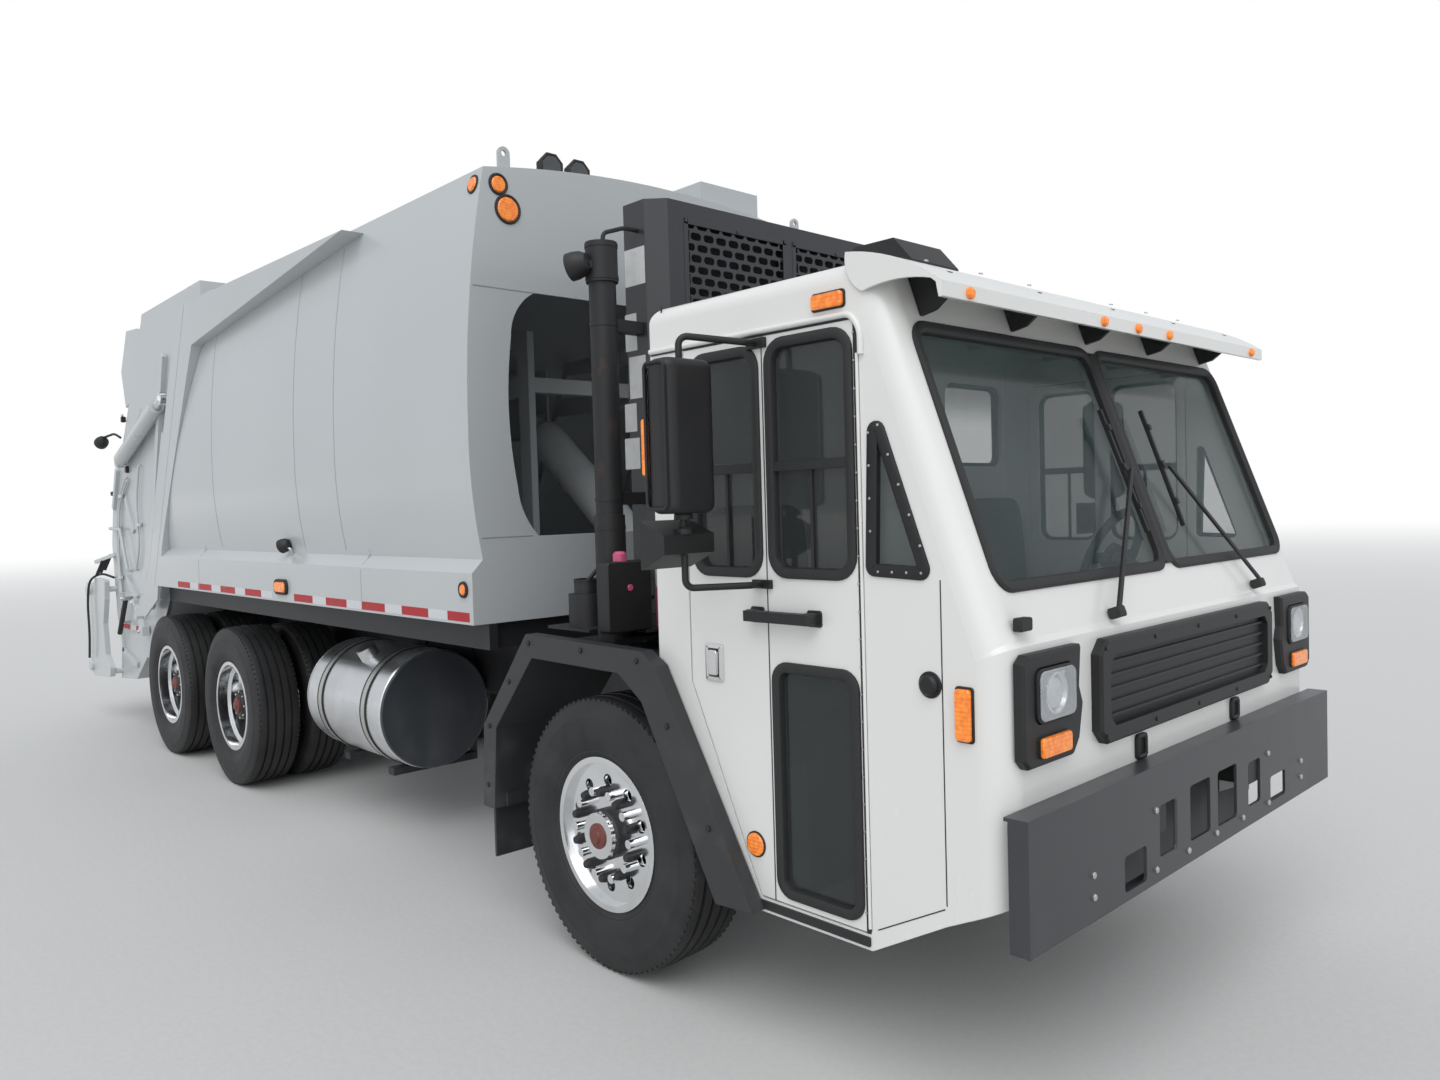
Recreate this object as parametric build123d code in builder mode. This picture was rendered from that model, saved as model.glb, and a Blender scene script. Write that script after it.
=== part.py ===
from build123d import *
import os
from math import atan2, cos, degrees, hypot, radians, sin

os.makedirs("parts", exist_ok=True)

# Rear-loading garbage truck, in millimetres, +X forward, +Y to the driver's left, +Z up.
# Stations run along X from the datum line, heights from the ground, and half-widths from the centre line.
BUMPER_FACE = 1774
REAR_REACH = 8000
DATUM_X = (REAR_REACH - BUMPER_FACE) / 2

# Fits and running gaps
FIT = 0.3
RUN = 0.5
DOOR_GAP = 6
SLIDE_GAP = 8

# Wheels and axles
TYRE_RADIUS = 531
TYRE_HALF_WIDTH = 148
RIM_HALF_WIDTH = 125
RIM_FLANGE_RADIUS = 298
RIM_SEAT_RADIUS = 286
RIM_DROP_RADIUS = 262
RIM_WALL = 12
DISC_WALL = 22
STUD_CIRCLE = 167.5
HAND_HOLE_CIRCLE = 205
HAND_HOLE_RADIUS = 25
CONE_RADIUS = 242
STUDS = 10
AXLE_HEIGHT = TYRE_RADIUS
FRONT_AXLE = -50
REAR_AXLES = (-4160, -5530)
FRONT_TYRE_MID = 1052
REAR_OUTER_MID = 1069
TWIN_SPACING = 343
KINGPIN_HALF = 905
SPINDLE_RADIUS = 40
KINGPIN_RADIUS = 25

# Chassis frame
RAIL_HALF = 430
RAIL_TOP = 1030
RAIL_DEPTH = 267
RAIL_FLANGE = 88
RAIL_WALL = 10
RAIL_FRONT = 1450
RAIL_REAR = -5850
HORN_TOP = 930
HORN_BOTTOM = 730

# Bumper
BUMPER_HALF = 1183
BUMPER_TOP = 951
BUMPER_BOTTOM = 590
BUMPER_PLATE = 10
BUMPER_DEPTH = 72

# Cab shell
CAB_HALF = 1160
CAB_WALL = 40
CAB_BACK = 295
CAB_SILL = 450
ROOF_TOP = 2495
WAIST = 1400
CAB_FACE = 1700
SCREEN_TOP = (1296, 2475)
TUNNEL_HALF = 500
TUNNEL_TOP = 1100
GLASS = 6

# Doors: opening in the cab side, seam between the two leaves
DOOR_FRONT = 1240
DOOR_SEAM = 845
DOOR_BACK = 466
DOOR_TOP = 2327
DOOR_FOOT = 497
DOOR_KNEE = 1178
DOOR_TOE = 780

# Load body
BODY_FRONT = -897
BODY_SKIN = 6
BODY_BOTTOM = 1288
BODY_SIDE = 1213
BODY_CROWN = 3408
BODY_SHOULDER = (1092, BODY_CROWN - 95)
LEDGE = (1164, 1576)
SKIRT_HALF = 1221
SKIRT_TOP = 1518
LINER_HALF = 1150
JOINT_TOP = (-4667, BODY_CROWN - 98)
JOINT_FOOT = (-5730, 1230)

# Tailgate
GATE_HALF = 1100
GATE_PLATE = 8
GATE_HINGE = (JOINT_TOP[0] + 47, BODY_CROWN + 32)
BLADE_PIVOT = (-6550, 1420)
BLADE_REACH = 700
BOWL_GAP = 35
LIFT_EYE = (-5300, 2690)
LIFTER_HINGE = (-7470, 1005)


def side_plane(y):
    """Side view at half-width y: local x is the station, local y is the height, and it faces right."""
    return Plane(origin=(DATUM_X, y, 0), x_dir=(1, 0, 0), z_dir=(0, -1, 0))


def cross_plane(x):
    """Front view at station x: local x is the half-width, local y is the height, and it faces forward."""
    return Plane(origin=(DATUM_X + x, 0, 0), x_dir=(0, 1, 0), z_dir=(1, 0, 0))


def plan_plane(z):
    """Top view at height z: local x is the station and local y is the half-width."""
    return Plane(origin=(DATUM_X, 0, z))


DATUM = plan_plane(0)


def across(x, z):
    """Axis that runs across the truck through a station and a height."""
    return Axis((DATUM_X + x, 0, z), (0, 1, 0))


def save(piece, name):
    piece.label = name
    export_step(piece, f"parts/{name}.step")


def block(x0, x1, y0, y1, z0, z1, mode=Mode.ADD):
    """Straight block between two stations, half-widths and heights, inside a part that starts at DATUM."""
    with Locations(((x0 + x1) / 2, (y0 + y1) / 2, (z0 + z1) / 2)):
        Box(x1 - x0, y1 - y0, z1 - z0, mode=mode)


def rod_between(start, end, radius, mode=Mode.ADD):
    """Round bar from one point to another, given as station, half-width and height."""
    first = Vector(start[0] + DATUM_X, start[1], start[2])
    last = Vector(end[0] + DATUM_X, end[1], end[2])
    with BuildSketch(Plane(origin=first, z_dir=last - first)) as section:
        Circle(radius)
    extrude(section.sketch, amount=(last - first).length, mode=mode)


# Frame: two channel rails, crossmembers, front horns that carry the bumper, and the tank brackets
CROSSMEMBERS = (-5700, -4845, -3500, -1750)
TANK_FRONT = -2120
TANK_REAR = -3090
TANK_RADIUS = 330
TANK_HALF = 775
TANK_HEIGHT = 700
TANK_BRACKETS = (-2320, -2890)
CAB_MOUNTS = (760, 1330)
TOW_BORE = 1690
TOW_RADIUS = 20

with BuildPart(DATUM) as frame_rails:
    rail_bottom = RAIL_TOP - RAIL_DEPTH
    block(RAIL_REAR, RAIL_FRONT, -RAIL_HALF, -RAIL_HALF + RAIL_FLANGE, rail_bottom, RAIL_TOP)
    block(RAIL_REAR, RAIL_FRONT - 60, -RAIL_HALF + RAIL_WALL, -RAIL_HALF + RAIL_FLANGE,
          rail_bottom + RAIL_WALL, RAIL_TOP - RAIL_WALL, mode=Mode.SUBTRACT)
    block(RAIL_FRONT - 150, BUMPER_FACE - BUMPER_PLATE, -RAIL_HALF, -RAIL_HALF + RAIL_FLANGE,
          HORN_BOTTOM, HORN_TOP)
    tow_half = -RAIL_HALF + RAIL_FLANGE / 2
    rod_between((TOW_BORE, tow_half, HORN_BOTTOM - 1), (TOW_BORE, tow_half, HORN_TOP + 1), TOW_RADIUS,
                mode=Mode.SUBTRACT)
    for x in CAB_MOUNTS:
        block(x - 60, x + 60, -TUNNEL_HALF + FIT, -RAIL_HALF, 830, 960)
    mirror(about=Plane.XZ)
    for x in TANK_BRACKETS:
        block(x - 35, x + 35, -RAIL_HALF - 10, -RAIL_HALF, TANK_HEIGHT - TANK_RADIUS - 40, RAIL_TOP - 20)
        block(x - 35, x + 35, -TANK_HALF - 180, -RAIL_HALF, TANK_HEIGHT - TANK_RADIUS - 40,
              TANK_HEIGHT - TANK_RADIUS - FIT)
    for x in CROSSMEMBERS:
        block(x - 60, x + 60, -RAIL_HALF + RAIL_WALL, RAIL_HALF - RAIL_WALL,
              rail_bottom + RAIL_WALL, RAIL_TOP - RAIL_WALL)
    for x in CROSSMEMBERS:
        block(x - 50, x + 50, -RAIL_HALF + RAIL_FLANGE, RAIL_HALF - RAIL_FLANGE,
              rail_bottom + 2 * RAIL_WALL, RAIL_TOP - 2 * RAIL_WALL, mode=Mode.SUBTRACT)
        block(x - 50, x + 50, -RAIL_HALF + RAIL_WALL, RAIL_HALF - RAIL_WALL,
              rail_bottom + RAIL_WALL, rail_bottom + 2 * RAIL_WALL)
save(frame_rails.part, "frame_rails")

# Bumper: channel of bent plate with slots in its face; columns are middle, half-width, middle and height
BUMPER_SLOTS = (
    (-576, 145, 670, 108),
    (-348, 116, 740, 158),
    (-104, 160, 746, 181),
    (123, 166, 744, 187),
    (370, 115, 737, 157),
    (607, 154, 676, 93),
)
with BuildPart(DATUM) as bumper:
    face_back = BUMPER_FACE - BUMPER_PLATE
    block(face_back, BUMPER_FACE, -BUMPER_HALF, BUMPER_HALF, BUMPER_BOTTOM, BUMPER_TOP)
    block(BUMPER_FACE - BUMPER_DEPTH, face_back, -BUMPER_HALF, BUMPER_HALF,
          BUMPER_TOP - BUMPER_PLATE, BUMPER_TOP)
    block(BUMPER_FACE - 55, face_back, -BUMPER_HALF, BUMPER_HALF,
          BUMPER_BOTTOM, BUMPER_BOTTOM + BUMPER_PLATE)
    for side in (-1, 1):
        end = side * (BUMPER_HALF - BUMPER_PLATE / 2)
        block(BUMPER_FACE - 60, face_back, end - BUMPER_PLATE / 2, end + BUMPER_PLATE / 2,
              BUMPER_BOTTOM, BUMPER_TOP)
    for middle, width, height, depth in BUMPER_SLOTS:
        with BuildSketch(cross_plane(BUMPER_FACE)):
            with Locations((middle, height)):
                RectangleRounded(width, depth, 14)
        extrude(amount=-BUMPER_PLATE, mode=Mode.SUBTRACT)
    fillet(bumper.edges().filter_by(Axis.Y).sort_by(Axis.X)[-2:], BUMPER_PLATE * 0.8)
save(bumper.part, "bumper")

# Engine with gearbox, between the rails
GEARBOX_REAR = -1560
ENGINE_MOUNTS = (-700, 80)
with BuildPart(DATUM) as engine:
    block(-870, 200, -320, 320, 640, 1500)
    block(GEARBOX_REAR, -870, -200, 200, 640, 1000)
    for x in ENGINE_MOUNTS:
        block(x - 60, x + 60, -RAIL_HALF, RAIL_HALF, RAIL_TOP + FIT, RAIL_TOP + 35)
save(engine.part, "engine_block")

# Front axle: dropped forged beam, leaf springs with hangers, and the kingpin eyes
BEAM_EYE_BOTTOM = 470
BEAM_EYE_TOP = 590
SPRING_HALF_LENGTH = 780
SPRING_HALF = 386
SPRING_WIDTH = 80
with BuildPart() as front_suspension:
    with BuildSketch(cross_plane(FRONT_AXLE - 45)):
        Polygon((-KINGPIN_HALF, 478), (-700, 478), (-560, 425), (560, 425), (700, 478), (KINGPIN_HALF, 478),
                (KINGPIN_HALF, 582), (700, 582), (560, 535), (-560, 535), (-700, 582), (-KINGPIN_HALF, 582),
                align=None)
    extrude(amount=90)
    for side in (-1, 1):
        with BuildSketch(plan_plane(BEAM_EYE_BOTTOM)):
            with Locations((FRONT_AXLE, side * KINGPIN_HALF)):
                Circle(52)
        extrude(amount=BEAM_EYE_TOP - BEAM_EYE_BOTTOM)
        with BuildSketch(plan_plane(BEAM_EYE_BOTTOM)):
            with Locations((FRONT_AXLE, side * KINGPIN_HALF)):
                Circle(KINGPIN_RADIUS + FIT)
        extrude(amount=BEAM_EYE_TOP - BEAM_EYE_BOTTOM, mode=Mode.SUBTRACT)
    for side in (-1, 1):
        with BuildSketch(plan_plane(500)):
            with Locations((FRONT_AXLE, side * SPRING_HALF)):
                Rectangle(130, SPRING_WIDTH + 30)
        extrude(amount=70)
        with BuildSketch(side_plane(side * SPRING_HALF)):
            with BuildLine():
                ThreePointArc((FRONT_AXLE - SPRING_HALF_LENGTH, 700), (FRONT_AXLE, 535),
                              (FRONT_AXLE + SPRING_HALF_LENGTH, 700))
                Line((FRONT_AXLE + SPRING_HALF_LENGTH, 700), (FRONT_AXLE + SPRING_HALF_LENGTH, 740))
                ThreePointArc((FRONT_AXLE + SPRING_HALF_LENGTH, 740), (FRONT_AXLE, 615),
                              (FRONT_AXLE - SPRING_HALF_LENGTH, 740))
                Line((FRONT_AXLE - SPRING_HALF_LENGTH, 740), (FRONT_AXLE - SPRING_HALF_LENGTH, 700))
            make_face()
        extrude(amount=SPRING_WIDTH / 2, both=True)
        for end in (-1, 1):
            with BuildSketch(side_plane(side * SPRING_HALF)):
                with Locations((FRONT_AXLE + end * (SPRING_HALF_LENGTH - 10), 728)):
                    Rectangle(90, 2 * (RAIL_TOP - RAIL_DEPTH - 728))
            extrude(amount=SPRING_WIDTH / 2, both=True)
save(front_suspension.part, "front_axle")


def rear_tyre_mids(side):
    return side * REAR_OUTER_MID, side * (REAR_OUTER_MID - TWIN_SPACING)


# Rear axles: banjo housings, walking beams with saddles, and the drive shaft
BEAM_HALF = 480
DRUM_BACK = 640
with BuildPart(DATUM) as rear_axles:
    for x in REAR_AXLES:
        rod_between((x, -DRUM_BACK + 8, AXLE_HEIGHT), (x, DRUM_BACK - 8, AXLE_HEIGHT), 70)
        with BuildSketch(side_plane(-150)):
            with Locations((x, AXLE_HEIGHT)):
                Circle(200)
        extrude(amount=-300)
        for side in (-1, 1):
            rod_between((x, side * DRUM_BACK - side * 8, AXLE_HEIGHT),
                        (x, side * (REAR_OUTER_MID - 40), AXLE_HEIGHT), SPINDLE_RADIUS)
    middle = (REAR_AXLES[0] + REAR_AXLES[1]) / 2
    for side in (-1, 1):
        with BuildSketch(side_plane(side * BEAM_HALF)):
            Polygon((REAR_AXLES[0] + 90, 500), (REAR_AXLES[0] + 90, 600), (middle + 180, 640),
                    (middle + 120, RAIL_TOP - 60), (middle - 120, RAIL_TOP - 60), (middle - 180, 640),
                    (REAR_AXLES[1] - 90, 600), (REAR_AXLES[1] - 90, 500), (middle, 460), align=None)
        extrude(amount=45, both=True)
        low, high = sorted((side * (RAIL_HALF + FIT), side * BEAM_HALF))
        block(middle - 110, middle + 110, low, high, RAIL_TOP - 230, RAIL_TOP - 80)
    rod_between((middle, -BEAM_HALF, 560), (middle, BEAM_HALF, 560), 55)
    rod_between((REAR_AXLES[0] + 150, 0, AXLE_HEIGHT + 40), (GEARBOX_REAR - 10, 0, 720), 50)
    block(GEARBOX_REAR - 40, GEARBOX_REAR - FIT, -70, 70, 650, 790)
save(rear_axles.part, "rear_axles")


def rim_barrel(mid, side):
    """Half section of a rim's barrel: flanges, tyre seats and drop centre."""
    seat = RIM_SEAT_RADIUS
    inner = RIM_DROP_RADIUS - RIM_WALL
    flange = RIM_HALF_WIDTH
    outline = (
        (-flange, RIM_FLANGE_RADIUS), (-flange + RIM_WALL, RIM_FLANGE_RADIUS), (-flange + 18, seat),
        (-60, seat), (-35, RIM_DROP_RADIUS), (35, RIM_DROP_RADIUS), (60, seat), (flange - 18, seat),
        (flange - RIM_WALL, RIM_FLANGE_RADIUS), (flange, RIM_FLANGE_RADIUS), (flange, seat - RIM_WALL),
        (60, seat - RIM_WALL), (45, inner), (-45, inner), (-60, seat - RIM_WALL), (-flange, seat - RIM_WALL),
    )
    Polygon(*[(mid + side * w, AXLE_HEIGHT + r) for w, r in outline], align=None)


def flat_disc(mid, side, face):
    """Half section of a disc that closes the barrel near its outer edge, with its face at that offset."""
    low, high = sorted((mid + side * (face - DISC_WALL), mid + side * face))
    with Locations(((low + high) / 2, AXLE_HEIGHT + (RIM_SEAT_RADIUS - 8) / 2)):
        Rectangle(high - low, RIM_SEAT_RADIUS - 8)


def dished_disc(mid, side, face):
    """Half section of a disc that stands out past the barrel's edge on a cone, as on a twin wheel."""
    edge = RIM_HALF_WIDTH
    root = RIM_SEAT_RADIUS - RIM_WALL
    bore = SPINDLE_RADIUS + 20
    outline = ((edge - 8, root + 4), (edge - 8, root - 8), (face - DISC_WALL, CONE_RADIUS), (face - DISC_WALL, bore),
               (face, bore), (face, CONE_RADIUS + 8), (edge + 5, root + 4))
    Polygon(*[(mid + side * w, AXLE_HEIGHT + r) for w, r in outline], align=None)


def drilled(x, face, depth):
    """Hand holes through a rim's disc."""
    with BuildSketch(side_plane(face)) as holes:
        with Locations((x, AXLE_HEIGHT)):
            with PolarLocations(HAND_HOLE_CIRCLE, STUDS, start_angle=180 / STUDS):
                Circle(HAND_HOLE_RADIUS)
    extrude(holes.sketch, amount=depth, both=True, mode=Mode.SUBTRACT)


def nuts(x, face, side):
    """Ring of wheel nuts that stand out of the disc's face."""
    with BuildSketch(side_plane(face)) as ring:
        with Locations((x, AXLE_HEIGHT)):
            with PolarLocations(STUD_CIRCLE, STUDS):
                Circle(17)
    extrude(ring.sketch, amount=-side * 42)


def hub(x, start, end, radius):
    rod_between((x, start, AXLE_HEIGHT), (x, end, AXLE_HEIGHT), radius)


def tyre(x, mid):
    """Tyre as a ring on its rim seats, with a flat tread and tapered shoulders."""
    seat = RIM_SEAT_RADIUS + FIT
    bead = RIM_HALF_WIDTH - 19
    outline = ((bead, seat), (TYRE_HALF_WIDTH, 0.76 * TYRE_RADIUS), (TYRE_HALF_WIDTH - 14, TYRE_RADIUS - 32),
               (TYRE_HALF_WIDTH - 36, TYRE_RADIUS))
    points = [(mid + w, AXLE_HEIGHT + r) for w, r in outline]
    points += [(mid - w, AXLE_HEIGHT + r) for w, r in reversed(outline)]
    with BuildSketch(cross_plane(x)) as section:
        Polygon(*points, align=None)
    revolve(section.sketch, axis=across(x, AXLE_HEIGHT))


FRONT_DISC = 100
DRUM_RADIUS = 212
for name, side in (("left", 1), ("right", -1)):
    # Front wheel: rim, hub and brake drum turn together on the spindle
    with BuildPart() as wheel:
        with BuildSketch(cross_plane(FRONT_AXLE)):
            rim_barrel(side * FRONT_TYRE_MID, side)
            flat_disc(side * FRONT_TYRE_MID, side, FRONT_DISC)
        revolve(axis=across(FRONT_AXLE, AXLE_HEIGHT))
        disc_face = side * (FRONT_TYRE_MID + FRONT_DISC)
        drilled(FRONT_AXLE, disc_face, 40)
        nuts(FRONT_AXLE, disc_face, side)
        hub(FRONT_AXLE, side * (FRONT_TYRE_MID - 60), disc_face + side * 55, 88)
        hub(FRONT_AXLE, side * (FRONT_TYRE_MID - 60), disc_face - side * 30, DRUM_RADIUS - 14)
        with BuildSketch(side_plane(side * (FRONT_TYRE_MID - 70))):
            with Locations((FRONT_AXLE, AXLE_HEIGHT)):
                Circle(SPINDLE_RADIUS + FIT)
        extrude(amount=-side * 130, mode=Mode.SUBTRACT)
    save(wheel.part, f"front_wheel_{name}")
    with BuildPart() as front_tyre:
        tyre(FRONT_AXLE, side * FRONT_TYRE_MID)
    save(front_tyre.part, f"front_tyre_{name}")
    # Knuckle: yoke with its kingpin, backing plate and spindle
    with BuildPart() as knuckle:
        rod_between((FRONT_AXLE, side * KINGPIN_HALF, BEAM_EYE_BOTTOM - 45),
                    (FRONT_AXLE, side * KINGPIN_HALF, BEAM_EYE_TOP + 45), KINGPIN_RADIUS)
        for low, high in ((BEAM_EYE_BOTTOM - 40, BEAM_EYE_BOTTOM - RUN), (BEAM_EYE_TOP + RUN, BEAM_EYE_TOP + 40)):
            with BuildSketch(plan_plane(low)):
                with Locations((FRONT_AXLE, side * KINGPIN_HALF)):
                    Circle(50)
                with Locations((FRONT_AXLE, side * (KINGPIN_HALF + 35))):
                    Rectangle(90, 70)
            extrude(amount=high - low)
        rod_between((FRONT_AXLE, side * (KINGPIN_HALF + 57), AXLE_HEIGHT),
                    (FRONT_AXLE, side * (KINGPIN_HALF + 75), AXLE_HEIGHT), DRUM_RADIUS - 20)
        rod_between((FRONT_AXLE, side * (KINGPIN_HALF + 60), AXLE_HEIGHT),
                    (FRONT_AXLE, side * (FRONT_TYRE_MID + 50), AXLE_HEIGHT), SPINDLE_RADIUS)
        with BuildSketch(plan_plane(BEAM_EYE_BOTTOM - 40)):
            Polygon((FRONT_AXLE - 40, side * (KINGPIN_HALF - 45)), (FRONT_AXLE - 40, side * (KINGPIN_HALF + 60)),
                    (FRONT_AXLE - 260, side * (KINGPIN_HALF - 65)), (FRONT_AXLE - 260, side * (KINGPIN_HALF - 125)),
                    align=None)
        extrude(amount=25)
    save(knuckle.part, f"knuckle_{name}")

# Tie rod between the two steering arms
ARM_END_HALF = KINGPIN_HALF - 95
ARM_BACK = 235
with BuildPart() as tie_rod:
    rod_height = BEAM_EYE_BOTTOM - 40 - 22
    rod_between((FRONT_AXLE - ARM_BACK, -ARM_END_HALF, rod_height),
                (FRONT_AXLE - ARM_BACK, ARM_END_HALF, rod_height), 20)
    for side in (-1, 1):
        rod_between((FRONT_AXLE - ARM_BACK, side * ARM_END_HALF, rod_height - 20),
                    (FRONT_AXLE - ARM_BACK, side * ARM_END_HALF, BEAM_EYE_BOTTOM - 40 - RUN), 30)
save(tie_rod.part, "tie_rod")

# Twin rear wheels: two rims back to back on one hub with its drum, and two tyres
for place, x in (("front", REAR_AXLES[0]), ("rear", REAR_AXLES[1])):
    for name, side in (("left", 1), ("right", -1)):
        outer, inner = rear_tyre_mids(side)
        joint = side * (REAR_OUTER_MID - TWIN_SPACING / 2)
        with BuildPart() as wheel:
            with BuildSketch(cross_plane(x)):
                for mid, facing in ((outer, -side), (inner, side)):
                    rim_barrel(mid, facing)
                    dished_disc(mid, facing, TWIN_SPACING / 2)
            revolve(axis=across(x, AXLE_HEIGHT))
            drilled(x, joint, 60)
            nuts(x, joint + side * DISC_WALL, side)
            hub(x, side * DRUM_BACK, joint + side * 165, 92)
            hub(x, side * DRUM_BACK, joint - side * 10, DRUM_RADIUS - 14)
            with BuildSketch(side_plane(side * (DRUM_BACK - 5))):
                with Locations((x, AXLE_HEIGHT)):
                    Circle(SPINDLE_RADIUS + FIT)
            extrude(amount=-side * (REAR_OUTER_MID - 40 - DRUM_BACK + 8), mode=Mode.SUBTRACT)
        save(wheel.part, f"rear_wheel_{place}_{name}")
        with BuildPart() as twin_tyres:
            tyre(x, outer)
            tyre(x, inner)
        save(twin_tyres.part, f"rear_tyres_{place}_{name}")

# Fuel tank: round drum on its two brackets, with a filler cap
with BuildPart() as fuel_tank:
    rod_between((TANK_REAR, -TANK_HALF, TANK_HEIGHT), (TANK_FRONT, -TANK_HALF, TANK_HEIGHT), TANK_RADIUS)
    fillet(fuel_tank.edges().filter_by(GeomType.CIRCLE), 25)
    cap_side = TANK_HALF + TANK_RADIUS * sin(radians(30))
    cap_foot = TANK_HEIGHT + TANK_RADIUS * cos(radians(30)) - 20
    rod_between((TANK_FRONT - 420, -cap_side, cap_foot), (TANK_FRONT - 420, -cap_side - 40, cap_foot + 69), 55)
save(fuel_tank.part, "fuel_tank")

# Cab shell: sheet cab with a leaning windscreen, an engine tunnel, window holes and door openings
SCREEN_LEAN = 0.3621
SCREEN_FOOT = 1684
SCREEN_SCALE = hypot(1, SCREEN_LEAN)
PANE_LOW = 1539
PANE_HIGH = 2293
PANE_OUTER = CAB_HALF - 90
PANE_INNER = 22
REAR_WINDOW = (CAB_HALF - 315, 486, 2138, 395)
cab_outline = (
    (CAB_BACK, 1220), (CAB_BACK, ROOF_TOP), (SCREEN_TOP[0] - 8, ROOF_TOP), (SCREEN_FOOT, WAIST),
    (CAB_FACE, WAIST - 15), (CAB_FACE, 690), (1505, 597), (1240, CAB_SILL), (690, CAB_SILL),
)
door_opening = (
    (DOOR_BACK, DOOR_KNEE), (DOOR_BACK, DOOR_TOP), (DOOR_FRONT, DOOR_TOP), (DOOR_FRONT, DOOR_FOOT),
    (DOOR_TOE, DOOR_FOOT),
)
quarter_window = ((1282, 2075), (1270, 1588), (1455, 1582))


def screen_plane(depth):
    """Plane of the windscreen, depth behind its outer face: local x is the half-width, local y runs up it."""
    lean = atan2(SCREEN_LEAN, 1)
    normal = Vector(cos(lean), 0, sin(lean))
    origin = Vector(DATUM_X + SCREEN_FOOT, 0, WAIST) - normal * depth
    return Plane(origin=origin, x_dir=(0, 1, 0), z_dir=normal)


def screen_panes(shrink):
    """Outlines of the two windscreen panes."""
    low = (PANE_LOW - WAIST) * SCREEN_SCALE
    high = (PANE_HIGH - WAIST) * SCREEN_SCALE
    middle = (PANE_OUTER + PANE_INNER) / 2
    with Locations((middle, (low + high) / 2), (-middle, (low + high) / 2)):
        RectangleRounded(PANE_OUTER - PANE_INNER - 2 * shrink, high - low - 2 * shrink, 60 - shrink)


def quarter_pane(shrink):
    Polygon(*quarter_window, align=None)
    offset(amount=-20 - shrink, kind=Kind.INTERSECTION, mode=Mode.REPLACE)
    offset(amount=20, mode=Mode.REPLACE)


def rear_panes(shrink):
    half, width, height, depth = REAR_WINDOW
    with Locations((half, height), (-half, height)):
        RectangleRounded(width - 2 * shrink, depth - 2 * shrink, 60 - shrink)


with BuildPart(DATUM) as cab_shell:
    with BuildSketch(side_plane(0)):
        Polygon(*cab_outline, align=None)
    extrude(amount=CAB_HALF, both=True)
    corners = cab_shell.edges().filter_by(
        lambda e: abs(abs(e.center().Y) - CAB_HALF) < 1
        and e.center().X > DATUM_X + SCREEN_TOP[0] + 50
        and e.center().Z > 700
    )
    fillet(corners, 85)
    roof_edges = cab_shell.edges().filter_by(lambda e: e.center().Z > ROOF_TOP - 2)
    fillet(roof_edges, 60)
    with BuildSketch(side_plane(0)):
        Polygon(*cab_outline, align=None)
        offset(amount=-CAB_WALL, kind=Kind.INTERSECTION, mode=Mode.REPLACE)
    extrude(amount=CAB_HALF - CAB_WALL, both=True, mode=Mode.SUBTRACT)
    with BuildSketch(side_plane(0)):
        Polygon((CAB_BACK, 1220), (CAB_BACK, ROOF_TOP), (CAB_FACE, ROOF_TOP), (CAB_FACE, 690), (1505, 597),
                (1240, CAB_SILL), (690, CAB_SILL), align=None)
        with Locations((0, TUNNEL_TOP + CAB_WALL + 1000)):
            Rectangle(6000, 2000, mode=Mode.SUBTRACT)
    extrude(amount=TUNNEL_HALF + CAB_WALL, both=True)
    block(0, RAIL_FRONT + 30, -TUNNEL_HALF, TUNNEL_HALF, 0, TUNNEL_TOP, mode=Mode.SUBTRACT)
    block(0, CAB_FACE + 100, -TUNNEL_HALF, TUNNEL_HALF, 0, BUMPER_TOP - 5, mode=Mode.SUBTRACT)
    with BuildSketch(screen_plane(0)):
        screen_panes(0)
    extrude(amount=60, both=True, mode=Mode.SUBTRACT)
    with BuildSketch(side_plane(0)):
        Polygon(*door_opening, align=None)
        quarter_pane(0)
    extrude(amount=CAB_HALF + 50, both=True, mode=Mode.SUBTRACT)
    with BuildSketch(cross_plane(CAB_BACK)):
        rear_panes(0)
    extrude(amount=60, both=True, mode=Mode.SUBTRACT)
save(cab_shell.part, "cab_shell")

with BuildPart() as cab_glass:
    with BuildSketch(screen_plane(CAB_WALL / 2)):
        screen_panes(FIT)
    extrude(amount=GLASS)
    for side in (-1, 1):
        with BuildSketch(side_plane(side * (CAB_HALF - CAB_WALL / 2))):
            quarter_pane(FIT)
        extrude(amount=GLASS)
    with BuildSketch(cross_plane(CAB_BACK + CAB_WALL / 2)):
        rear_panes(FIT)
    extrude(amount=GLASS)
save(cab_glass.part, "cab_glass")

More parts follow.
